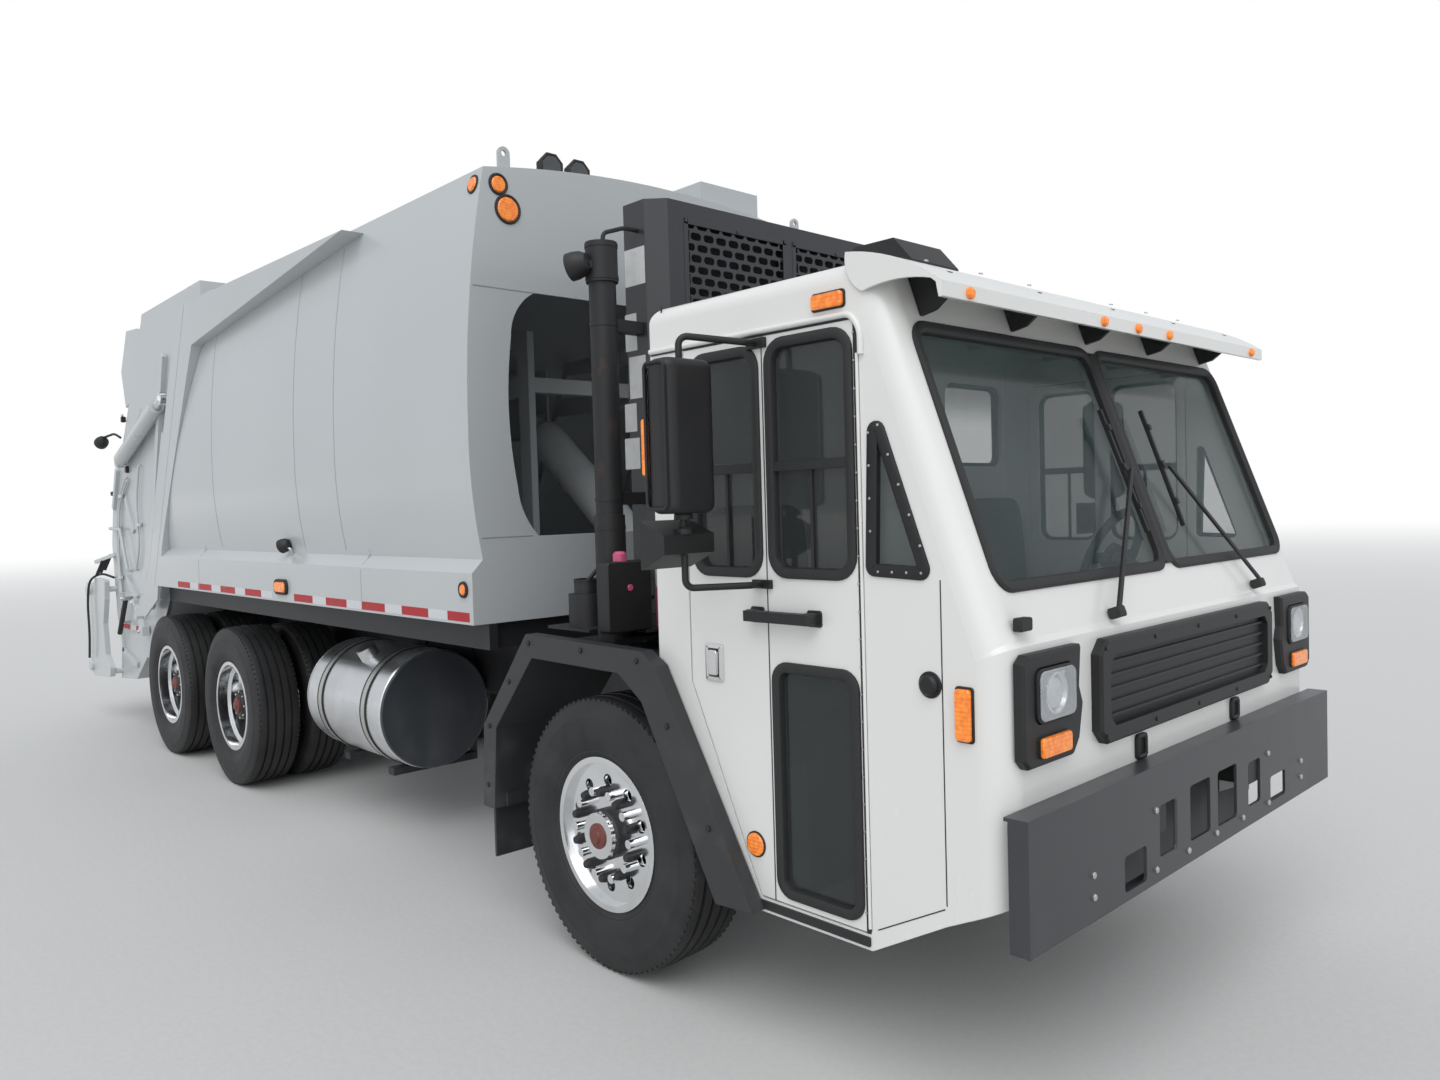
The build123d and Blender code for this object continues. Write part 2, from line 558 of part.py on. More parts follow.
# Inside the cab: dashboard with its steering column and wheel, two seats on boxes beside the tunnel
FLOOR = CAB_SILL + CAB_WALL
DASH_FRONT = SCREEN_FOOT - 29
DASH_TOP = 1500
STEER_HALF = CAB_HALF - 400
STEER_CENTRE = (DASH_FRONT - 593, DASH_TOP + 16)
with BuildPart(DATUM) as dashboard:
    with BuildSketch(side_plane(0)):
        Polygon((DASH_FRONT, 1300), (DASH_FRONT - 20, 1395), (DASH_FRONT - 65, DASH_TOP),
                (DASH_FRONT - 325, DASH_TOP), (DASH_FRONT - 395, 1440), (DASH_FRONT - 395, 1300),
                (DASH_FRONT - 325, TUNNEL_TOP + CAB_WALL + FIT), (DASH_FRONT, TUNNEL_TOP + CAB_WALL + FIT),
                align=None)
    extrude(amount=CAB_HALF - CAB_WALL - 4, both=True)
    fillet(dashboard.edges().filter_by(Axis.Y).group_by(Axis.Z)[-1], 30)
    rod_between((DASH_FRONT - 365, STEER_HALF, 1420), (STEER_CENTRE[0], STEER_HALF, STEER_CENTRE[1]), 28)
    with BuildSketch(Plane(origin=(DATUM_X + STEER_CENTRE[0], STEER_HALF, STEER_CENTRE[1]), x_dir=(0, 1, 0),
                           z_dir=(-0.92, 0, 0.39))):
        Circle(222)
        Circle(196, mode=Mode.SUBTRACT)
        Rectangle(400, 36)
        Circle(60)
    extrude(amount=14, both=True)
save(dashboard.part, "dashboard")

SEAT_INNER = TUNNEL_HALF + CAB_WALL + 10
SEAT_OUTER = CAB_HALF - CAB_WALL - 90
SEAT_MIDDLE = (SEAT_INNER + SEAT_OUTER) / 2
SEAT_WIDTH = SEAT_OUTER - SEAT_INNER
SEAT_BOX_HALF = SEAT_WIDTH / 2 - 40
with BuildPart(DATUM) as seat_boxes:
    for side in (-1, 1):
        low, high = sorted((side * (SEAT_MIDDLE - SEAT_BOX_HALF), side * (SEAT_MIDDLE + SEAT_BOX_HALF)))
        block(520, 880, low, high, FLOOR, 1090)
        block(560, 840, low, high, FLOOR, 1060, mode=Mode.SUBTRACT)
    # The feet of the boxes stand on the sloped floor behind the step
    with BuildSketch(side_plane(0)):
        Polygon((CAB_BACK, 1220), (CAB_BACK, 0), (690, 0), (690, CAB_SILL), align=None)
        offset(amount=50, kind=Kind.INTERSECTION, mode=Mode.REPLACE)
    extrude(amount=CAB_HALF, both=True, mode=Mode.SUBTRACT)
save(seat_boxes.part, "seat_boxes")

with BuildPart() as seats:
    for side in (-1, 1):
        with BuildSketch(side_plane(side * SEAT_MIDDLE)):
            Polygon((470, 1090 + FIT), (900, 1090 + FIT), (920, 1180), (880, 1215), (560, 1200), (480, 1780),
                    (430, 1800), (375, 1770), (440, 1160), align=None)
        extrude(amount=SEAT_WIDTH / 2, both=True)
save(seats.part, "seats")

# Sun visor: curved sheet over the screen with closed ends, on brackets from the header
VISOR_END = 8
VISOR_HALF = CAB_HALF + FIT + VISOR_END
VISOR_LIP = 1540
visor_curve = ((VISOR_LIP, 2378), (1400, 2462), (1205, ROOF_TOP + 22))
with BuildPart() as sun_visor:
    with BuildSketch(side_plane(0)):
        with BuildLine():
            ThreePointArc(*visor_curve)
            Line((1205, ROOF_TOP + 22), (1205, ROOF_TOP + FIT))
            Line((1205, ROOF_TOP + FIT), (1268, ROOF_TOP + FIT))
            ThreePointArc((1268, ROOF_TOP + FIT), (1405, 2450), (VISOR_LIP - 14, 2370))
            Line((VISOR_LIP - 14, 2370), (VISOR_LIP - 14, 2335))
            Line((VISOR_LIP - 14, 2335), (VISOR_LIP, 2335))
            Line((VISOR_LIP, 2335), (VISOR_LIP, 2378))
        make_face()
    extrude(amount=VISOR_HALF, both=True)
    for half in (160 - CAB_HALF, -500, 0, 500, CAB_HALF - 160):
        with BuildSketch(side_plane(half)):
            Polygon((1352, 2330), (1400, 2340), (1470, 2390), (1452, 2438), (1405, 2455), (1310, 2480),
                    (1303, 2470), align=None)
        extrude(amount=6, both=True)
    for side in (-1, 1):
        with BuildSketch(side_plane(side * VISOR_HALF)):
            with BuildLine():
                ThreePointArc(*visor_curve)
                ThreePointArc((1205, ROOF_TOP + 22), (1210, 2453), (1262, 2394))
                ThreePointArc((1262, 2394), (1400, 2407), (1516, 2386))
                Line((1516, 2386), (VISOR_LIP - 14, 2335))
                Line((VISOR_LIP - 14, 2335), (VISOR_LIP, 2335))
                Line((VISOR_LIP, 2335), (VISOR_LIP, 2378))
            make_face()
        extrude(amount=side * VISOR_END)
save(sun_visor.part, "sun_visor")

# Grille panel: octagonal surround with proud bars above and below a recessed bare panel
GRILLE_HALF = CAB_HALF - 470
GRILLE_LOW = 1050
GRILLE_HIGH = 1362
with BuildPart() as grille:
    grille_middle = (GRILLE_LOW + GRILLE_HIGH) / 2
    with BuildSketch(cross_plane(CAB_FACE + FIT)) as surround:
        with Locations((0, grille_middle)):
            Rectangle(2 * GRILLE_HALF, GRILLE_HIGH - GRILLE_LOW)
        chamfer(surround.vertices(), 42)
    extrude(amount=34)
    chamfer(grille.faces().sort_by(Axis.X)[-1].edges(), 8)
    with BuildSketch(cross_plane(CAB_FACE + FIT + 34)) as recess:
        with Locations((0, grille_middle)):
            Rectangle(2 * GRILLE_HALF - 110, GRILLE_HIGH - GRILLE_LOW - 100)
        chamfer(recess.vertices(), 30)
    extrude(amount=-24, mode=Mode.SUBTRACT)
    for row in range(5):
        with BuildSketch(cross_plane(CAB_FACE + FIT + 10)):
            with Locations((0, grille_middle - 80 + 40 * row)):
                Rectangle(2 * GRILLE_HALF - 112, 10)
        extrude(amount=8)
save(grille.part, "grille")

# Headlamps: black housings with a round lens over a flat amber signal
LAMP_MIDDLE = CAB_HALF - 202
with BuildPart() as headlamps:
    for side in (-1, 1):
        with BuildSketch(cross_plane(CAB_FACE + FIT)) as housing:
            with Locations((side * LAMP_MIDDLE, 0)):
                Polygon((side * 160, 1085), (side * 160, 1345), (side * 132, 1366), (side * -158, 1366),
                        (side * -146, 1250), (side * -166, 1200), (side * -143, 1100), (side * -108, 1058),
                        (side * 132, 1058), align=None)
        extrude(amount=30)
    chamfer(headlamps.faces().group_by(Axis.X)[-1].edges(), 8)
    for side in (-1, 1):
        with BuildSketch(cross_plane(CAB_FACE + FIT + 30)):
            with Locations((side * LAMP_MIDDLE, 1250)):
                RectangleRounded(206, 154, 30)
        extrude(amount=-18, mode=Mode.SUBTRACT)
        with BuildSketch(cross_plane(CAB_FACE + FIT + 12)):
            with Locations((side * LAMP_MIDDLE, 1250)):
                Circle(66)
        extrude(amount=14)
        with BuildSketch(cross_plane(CAB_FACE + FIT + 30)):
            with Locations((side * (LAMP_MIDDLE + 8), 1110)):
                RectangleRounded(162, 60, 12)
        extrude(amount=6)
save(headlamps.part, "headlamps")

# Wipers: pivots at the waist, arms and blades close to the glass; columns are half-widths and heights up the screen
WIPERS = (
    ((-525, 40), (-131, 489), (-137, 715), (-126, 263)),
    ((646, 45), (348, 529), (196, 730), (501, 328)),
)


def on_screen(half, up, off):
    """Point off the windscreen, as station, half-width and height."""
    spot = screen_plane(-off).from_local_coords(Vector(half, up, 0))
    return (spot.X - DATUM_X, spot.Y, spot.Z)


with BuildPart() as wipers:
    for pivot, elbow, high, low in WIPERS:
        rod_between(on_screen(*pivot, FIT), on_screen(*pivot, 45), 22)
        rod_between(on_screen(*pivot, 34), on_screen(*elbow, 26), 9)
        rod_between(on_screen(*high, 22), on_screen(*low, 22), 11)
save(wipers.part, "wipers")

# Roof box: wedge-shaped black housing behind the visor
with BuildPart(DATUM) as roof_box:
    with BuildSketch(side_plane(-560)):
        Polygon((930, ROOF_TOP + FIT), (1190, ROOF_TOP + FIT), (1190, 2550), (1120, 2630), (960, 2630),
                (930, 2600), align=None)
    extrude(amount=260)
save(roof_box.part, "roof_box")

# Doors: two leaves held as one by the bar across the seam, each leaf as thick as the cab wall
LEAF_WINDOWS = (
    ((862, 1554), (1214, 2305), 75),
    ((862, 526), (1212, 1281), 60),
    ((500, 1552), (828, 2297), 75),
)
WINDOW_LIP = 16


def leaf_windows(shrink, mode=Mode.ADD):
    """Window outlines of the two door leaves."""
    for low, high, radius in LEAF_WINDOWS:
        with Locations(((low[0] + high[0]) / 2, (low[1] + high[1]) / 2)):
            RectangleRounded(high[0] - low[0] - 2 * (WINDOW_LIP + shrink),
                             high[1] - low[1] - 2 * (WINDOW_LIP + shrink), radius - WINDOW_LIP, mode=mode)


HINGE_RADIUS = 5
HINGE_X = DOOR_FRONT - HINGE_RADIUS - FIT
HINGE_HALF = CAB_HALF + 3
BAR_HEIGHT = 1430
MIRROR_X = 720
MIRROR_HALF = CAB_HALF + 240
for name, side in (("left", 1), ("right", -1)):
    with BuildPart(DATUM) as door:
        with BuildSketch(side_plane(side * (CAB_HALF - CAB_WALL))):
            Polygon(*door_opening, align=None)
            offset(amount=-DOOR_GAP, kind=Kind.INTERSECTION, mode=Mode.REPLACE)
            leaf_windows(0, Mode.SUBTRACT)
        extrude(amount=-side * CAB_WALL)
        low, high = sorted((side * (CAB_HALF - CAB_WALL + 6), side * (CAB_HALF + 5)))
        block(DOOR_SEAM - 3, DOOR_SEAM + 3, low, high, 0, 3000, mode=Mode.SUBTRACT)
        rod_between((HINGE_X, side * HINGE_HALF, 517), (HINGE_X, side * HINGE_HALF, 2220), HINGE_RADIUS)
        # Grab bar across the seam, on two feet, and the paddle latch behind
        for x in (800, 1045):
            low, high = sorted((side * CAB_HALF, side * (CAB_HALF + 40)))
            block(x - 16, x + 16, low, high, BAR_HEIGHT - 16, BAR_HEIGHT + 16)
        rod_between((785, side * (CAB_HALF + 40), BAR_HEIGHT), (1062, side * (CAB_HALF + 40), BAR_HEIGHT), 14)
        low, high = sorted((side * CAB_HALF, side * (CAB_HALF + 6)))
        block(556, 626, low, high, 1200, 1310)
        low, high = sorted((side * (CAB_HALF + 6), side * (CAB_HALF + 16)))
        block(572, 610, low, high, 1215, 1295)
    save(door.part, f"door_{name}")
    with BuildPart() as door_glass:
        with BuildSketch(side_plane(side * (CAB_HALF - CAB_WALL / 2))):
            leaf_windows(FIT)
        extrude(amount=-side * GLASS)
    save(door_glass.part, f"door_glass_{name}")
    # Mirror on the door: tall head and small lower head on a looped tube with two feet
    with BuildPart(DATUM) as mirror_head:
        low, high = sorted((side * (MIRROR_HALF - 105), side * (MIRROR_HALF + 105)))
        block(MIRROR_X - 55, MIRROR_X + 60, low, high, 1765, 2245)
        fillet(mirror_head.edges().filter_by(Axis.Z), 45)
        fillet(mirror_head.faces().sort_by(Axis.Z)[-1].edges(), 30)
        fillet(mirror_head.faces().sort_by(Axis.Z)[0].edges(), 30)
        low, high = sorted((side * (MIRROR_HALF - 110), side * (MIRROR_HALF + 100)))
        with BuildSketch(side_plane(low)):
            Polygon((MIRROR_X - 95, 1590), (MIRROR_X + 20, 1640), (MIRROR_X + 20, 1700), (MIRROR_X - 95, 1745),
                    align=None)
        extrude(amount=-(high - low))
        arm_foot = side * (CAB_HALF + FIT)
        with BuildLine() as arm:
            FilletPolyline(
                (DATUM_X + 830, arm_foot + side * 10, 2300),
                (DATUM_X + 830, arm_foot + side * 60, 2300),
                (DATUM_X + MIRROR_X, side * MIRROR_HALF, 2320),
                (DATUM_X + MIRROR_X, side * MIRROR_HALF, 1530),
                (DATUM_X + 830, arm_foot + side * 60, 1530),
                (DATUM_X + 830, arm_foot + side * 10, 1530),
                radius=28,
            )
        with BuildSketch(Plane(origin=arm.line @ 0, z_dir=arm.line % 0)) as tube:
            Circle(11)
        sweep(tube.sketch, path=arm.line)
        low, high = sorted((arm_foot, arm_foot + side * 14))
        block(790, 870, low, high, 2284, 2316)
        block(790, 870, low, high, 1516, 1544)
    save(mirror_head.part, f"mirror_{name}")

# Fenders: plastic arches with a flared outer lip that follows the cab's cut-away corner
FENDER_INNER = 720
FENDER_OUTER = CAB_HALF + 65
FLARE = 58
LINER_FRONT = 160
arch_inner = ((-770, 500), (-735, 858), (-440, 1186), (130, 1180), (262, 1090), (625, 450))
arch_outer = ((-860, 500), (-835, 860), (-480, 1281), (265, 1272), (345, 1225), (800, 462))
liner_outer = ((-790, 500), (-757, 868), (-450, 1208), (140, 1202), (283, 1098), (640, 462))
with BuildPart(DATUM) as fenders:
    for side in (-1, 1):
        with BuildSketch(side_plane(side * FENDER_INNER)):
            Polygon(*(arch_inner + tuple(reversed(liner_outer))), align=None)
        extrude(amount=-side * (FENDER_OUTER - FENDER_INNER))
        # The liner stops short of the front leg, because the steered tyre swings forward there
        low, high = sorted((side * (FENDER_INNER - 1), side * (FENDER_OUTER - FLARE)))
        block(LINER_FRONT, 900, low, high, 0, 1400, mode=Mode.SUBTRACT)
        with BuildSketch(side_plane(side * (FENDER_OUTER - FLARE))):
            Polygon(*(arch_inner + tuple(reversed(arch_outer))), align=None)
        extrude(amount=-side * FLARE)
        low, high = sorted((side * FENDER_INNER, side * (FENDER_OUTER - 20)))
        block(-812, -798, low, high, 280, 620)
        low, high = sorted((side * (FENDER_OUTER - FLARE - 400), side * (FENDER_OUTER - FLARE)))
        block(-812, -760, low, high, 500, 560)
        low, high = sorted((side * (RAIL_HALF + FIT), side * (FENDER_INNER + 5)))
        block(440, 480, low, high, 770, 800)
        block(-795, -745, low, high, 780, 860)
save(fenders.part, "fenders")

# Cooling module behind the cab: tall case with chamfered front corners, a mesh front and two legs on the frame
MODULE_FRONT = -80
MODULE_BACK = -285
MODULE_HALF = 800
MODULE_TOP = 3050
MODULE_BOTTOM = 1560
MESH_HALF = 645
MESH_TOP = 2985
MESH_BOTTOM = 1700
MESH_BARS = 14
with BuildPart(DATUM) as cooling_module:
    block(MODULE_BACK, MODULE_FRONT, -MODULE_HALF, MODULE_HALF, MODULE_BOTTOM, MODULE_TOP)
    chamfer(cooling_module.faces().sort_by(Axis.X)[-1].edges().filter_by(Axis.Z), 70)
    for side in (-1, 1):
        low, high = sorted((side * 20, side * MESH_HALF))
        block(MODULE_FRONT - 60, MODULE_FRONT, low, high, MESH_BOTTOM, MESH_TOP, mode=Mode.SUBTRACT)
        pitch = (MESH_TOP - MESH_BOTTOM) / MESH_BARS
        for row in range(1, MESH_BARS):
            middle = MESH_BOTTOM + pitch * row
            block(MODULE_FRONT - 14, MODULE_FRONT - 6, low, high, middle - 9, middle + 9)
        low, high = sorted((side * (RAIL_HALF - 70), side * RAIL_HALF))
        block(MODULE_BACK + 20, MODULE_FRONT - 20, low, high, RAIL_TOP, MODULE_BOTTOM)
save(cooling_module.part, "cooling_module")

# Exhaust stack beside the module, held to it by two brackets
STACK_X = -195
STACK_HALF = 990
STACK_RADIUS = 55
with BuildPart(DATUM) as exhaust_stack:
    rod_between((STACK_X, -STACK_HALF, 1290), (STACK_X, -STACK_HALF, 2850), STACK_RADIUS)
    rod_between((STACK_X, -STACK_HALF, 2690), (STACK_X, -STACK_HALF, 2850), STACK_RADIUS + 10)
    rod_between((STACK_X, -STACK_HALF, 1240), (STACK_X, -STACK_HALF, 1760), STACK_RADIUS + 7)
    for height in (1800, 2500):
        block(STACK_X - 25, STACK_X + 25, -STACK_HALF + 20, -MODULE_HALF - FIT, height, height + 50)
    block(STACK_X - 60, STACK_X + 60, -STACK_HALF + 60, -RAIL_HALF - 12 - FIT, 1240, 1262)
    block(STACK_X - 60, STACK_X + 60, -STACK_HALF - 40, -STACK_HALF + 70, 1240, 1262)
save(exhaust_stack.part, "exhaust_stack")

# Service bracket between cab and body: tray on the right rail with the coolant bottle and the air dryer
TRAY = 1296
with BuildPart(DATUM) as service_tray:
    block(-560, -60, -1060, -RAIL_HALF - FIT, TRAY - 12, TRAY)
    block(STACK_X - 70, -60, -1060, -STACK_HALF + 70, TRAY - 12, TRAY, mode=Mode.SUBTRACT)
    block(-560, -60, -RAIL_HALF - 12, -RAIL_HALF - FIT, 900, TRAY - 12)
    block(-330, -318, -FENDER_INNER + 10, -RAIL_HALF - FIT, 1000, TRAY - 12)
    rod_between((-420, -950, TRAY - 12), (-420, -950, 1430), 80)
    rod_between((-420, -950, 1430), (-420, -950, 1480), 55)
save(service_tray.part, "service_tray")
with BuildPart(DATUM) as coolant_bottle:
    block(-110, -65, -840, -540, TRAY + FIT, 1545)
    fillet(coolant_bottle.edges().filter_by(Axis.Z), 15)
save(coolant_bottle.part, "coolant_bottle")

# Load body: curved single-skin walls and roof, floor, hollow skirt, and a bulkhead with its opening
HATCH = ((846, 2785), (941, 2700), (979, 2570), (1003, 2290), (969, 1893), (938, 1772), (866, 1670))
joint_slope = (JOINT_TOP[0] - JOINT_FOOT[0]) / (JOINT_TOP[1] - JOINT_FOOT[1])


def joint_x(height, behind=0):
    """Station of the joint between body and tailgate at a height, or of a line parallel to it."""
    return JOINT_FOOT[0] + joint_slope * (height - JOINT_FOOT[1]) - behind


def body_section(inset, floor, mode=Mode.ADD):
    """Half of the load space's section, inset from the outer skin, from the floor up to the crown."""
    shoulder = (BODY_SHOULDER[0] - inset, BODY_SHOULDER[1] - inset)
    liner = LINER_HALF + BODY_SKIN - inset
    with BuildLine() as outline:
        ThreePointArc((0, BODY_CROWN - inset), (560, BODY_CROWN - 24 - inset), shoulder)
        ThreePointArc(shoulder, (1181 - inset, BODY_CROWN - 648), (BODY_SIDE - inset, 2170))
        ThreePointArc((BODY_SIDE - inset, 2170), (1198 - inset, 1800), (LEDGE[0] - inset, LEDGE[1]))
        Polyline((LEDGE[0] - inset, LEDGE[1]), (liner, LEDGE[1] - 20), (liner, floor), (0, floor),
                 (0, BODY_CROWN - inset))
    make_face(outline.edges(), mode=mode)


def skirt_section(inset):
    """Half of the skirt's section below the ledge, inset from its outer skin."""
    Polygon((LINER_HALF + BODY_SKIN, BODY_BOTTOM), (SKIRT_HALF - inset, BODY_BOTTOM),
            (SKIRT_HALF - inset, SKIRT_TOP - inset / 2), (LEDGE[0] - inset, LEDGE[1] - inset),
            (LINER_HALF + BODY_SKIN, LEDGE[1] - 20 - inset), align=None)


BODY_FLOOR = BODY_BOTTOM + 8
MOUTH_HALF = 1085
MOUTH_TOP = BODY_CROWN - 138
PIN_RADIUS = 25
EJECTOR_BASE = (-1100, 1440)
ROOF_CASE = (-1300, -1000, 315, 748, BODY_CROWN + 132)
LIFTING_EYE = (-915, 970, BODY_CROWN - 8)
with BuildPart() as body_shell:
    with BuildSketch(cross_plane(BODY_FRONT)) as section:
        body_section(0, BODY_BOTTOM)
        skirt_section(0)
        mirror(about=Plane.YZ)
    extrude(amount=JOINT_FOOT[0] - BODY_FRONT - 100)
    with BuildSketch(cross_plane(BODY_FRONT - 8)):
        body_section(BODY_SKIN, BODY_FLOOR)
        mirror(about=Plane.YZ)
    extrude(amount=JOINT_FOOT[0] - BODY_FRONT - 100, mode=Mode.SUBTRACT)
    with BuildSketch(cross_plane(BODY_FRONT - 8)):
        skirt_section(BODY_SKIN)
        mirror(about=Plane.YZ)
    extrude(amount=JOINT_FOOT[0] - BODY_FRONT - 100, mode=Mode.SUBTRACT)
    with BuildSketch(cross_plane(BODY_FRONT)):
        with BuildLine():
            for side in (-1, 1):
                edge = [(side * half, height) for half, height in HATCH]
                for start in (0, 2, 4):
                    ThreePointArc(*edge[start:start + 3])
            Line((-HATCH[0][0], HATCH[0][1]), HATCH[0])
            Line((-HATCH[-1][0], HATCH[-1][1]), HATCH[-1])
        make_face()
    extrude(amount=-20, mode=Mode.SUBTRACT)
    with BuildSketch(side_plane(0)):
        Polygon((joint_x(0), 0), (joint_x(4000), 4000), (joint_x(4000) - 3000, 4000), (joint_x(0) - 3000, 0),
                align=None)
    extrude(amount=2000, both=True, mode=Mode.SUBTRACT)
    # Rear frame: closes the side walls inwards to the tailgate's mouth
    with BuildPart(mode=Mode.PRIVATE) as rear_frame:
        with BuildSketch(cross_plane(-6200)):
            body_section(0, BODY_FLOOR)
            mirror(about=Plane.YZ)
            Rectangle(2 * MOUTH_HALF, 2 * MOUTH_TOP, mode=Mode.SUBTRACT)
        extrude(amount=2000)
        with BuildSketch(side_plane(0)):
            Polygon((joint_x(0), 0), (joint_x(4000), 4000), (joint_x(4000) + 14, 4000), (joint_x(0) + 14, 0),
                    align=None)
        extrude(amount=2000, both=True, mode=Mode.INTERSECT)
    add(rear_frame.part)
    # Steel case on the roof behind the bulkhead, and a lifting eye at each front corner
    with BuildPart(mode=Mode.PRIVATE) as roof_case:
        with BuildSketch(cross_plane(ROOF_CASE[1])):
            with Locations(((ROOF_CASE[2] + ROOF_CASE[3]) / 2, ROOF_CASE[4] - 100)):
                Rectangle(ROOF_CASE[3] - ROOF_CASE[2], 200)
            body_section(BODY_SKIN / 2, BODY_FLOOR, Mode.SUBTRACT)
        extrude(amount=ROOF_CASE[0] - ROOF_CASE[1])
    add(roof_case.part)
    for side in (-1, 1):
        with BuildSketch(cross_plane(LIFTING_EYE[0])):
            with Locations((side * LIFTING_EYE[1], LIFTING_EYE[2] - 50)):
                SlotOverall(160, 60, rotation=90)
            with Locations((side * LIFTING_EYE[1], LIFTING_EYE[2])):
                Circle(14, mode=Mode.SUBTRACT)
        extrude(amount=-16)
    # Cradle for the ejector cylinder's base pin, on the floor behind the bulkhead
    for side in (-1, 1):
        with BuildSketch(side_plane(side * 66)):
            Polygon((-1190, BODY_BOTTOM), (-1010, BODY_BOTTOM), (-1040, 1500), (-1160, 1500), align=None)
        extrude(amount=-side * 16)
    rod_between((EJECTOR_BASE[0], -90, EJECTOR_BASE[1]), (EJECTOR_BASE[0], 90, EJECTOR_BASE[1]), PIN_RADIUS)
save(body_shell.part, "body_shell")

# Sills under the body: two long sills on the rails, crossbars, and an outer sill below each skirt
SILL_TOP = BODY_BOTTOM - FIT
CROSSBAR_TOP = SILL_TOP
CROSSBAR_BOTTOM = 1170
SILL_REAR = -5640
BODY_CROSSBARS = (-960, -1600, -2240, -2880, -3520, -4160, -4845, -5530)
with BuildPart(DATUM) as body_sills:
    for side in (-1, 1):
        low, high = sorted((side * (RAIL_HALF - 80), side * RAIL_HALF))
        block(SILL_REAR, BODY_FRONT, low, high, RAIL_TOP + FIT, SILL_TOP)
        low, high = sorted((side * 1100, side * 1145))
        block(-5600, BODY_FRONT, low, high, CROSSBAR_BOTTOM, SILL_TOP)
    for x in BODY_CROSSBARS:
        block(x - 30, x + 30, -1140, 1140, CROSSBAR_BOTTOM, CROSSBAR_TOP)
save(body_sills.part, "body_sills")

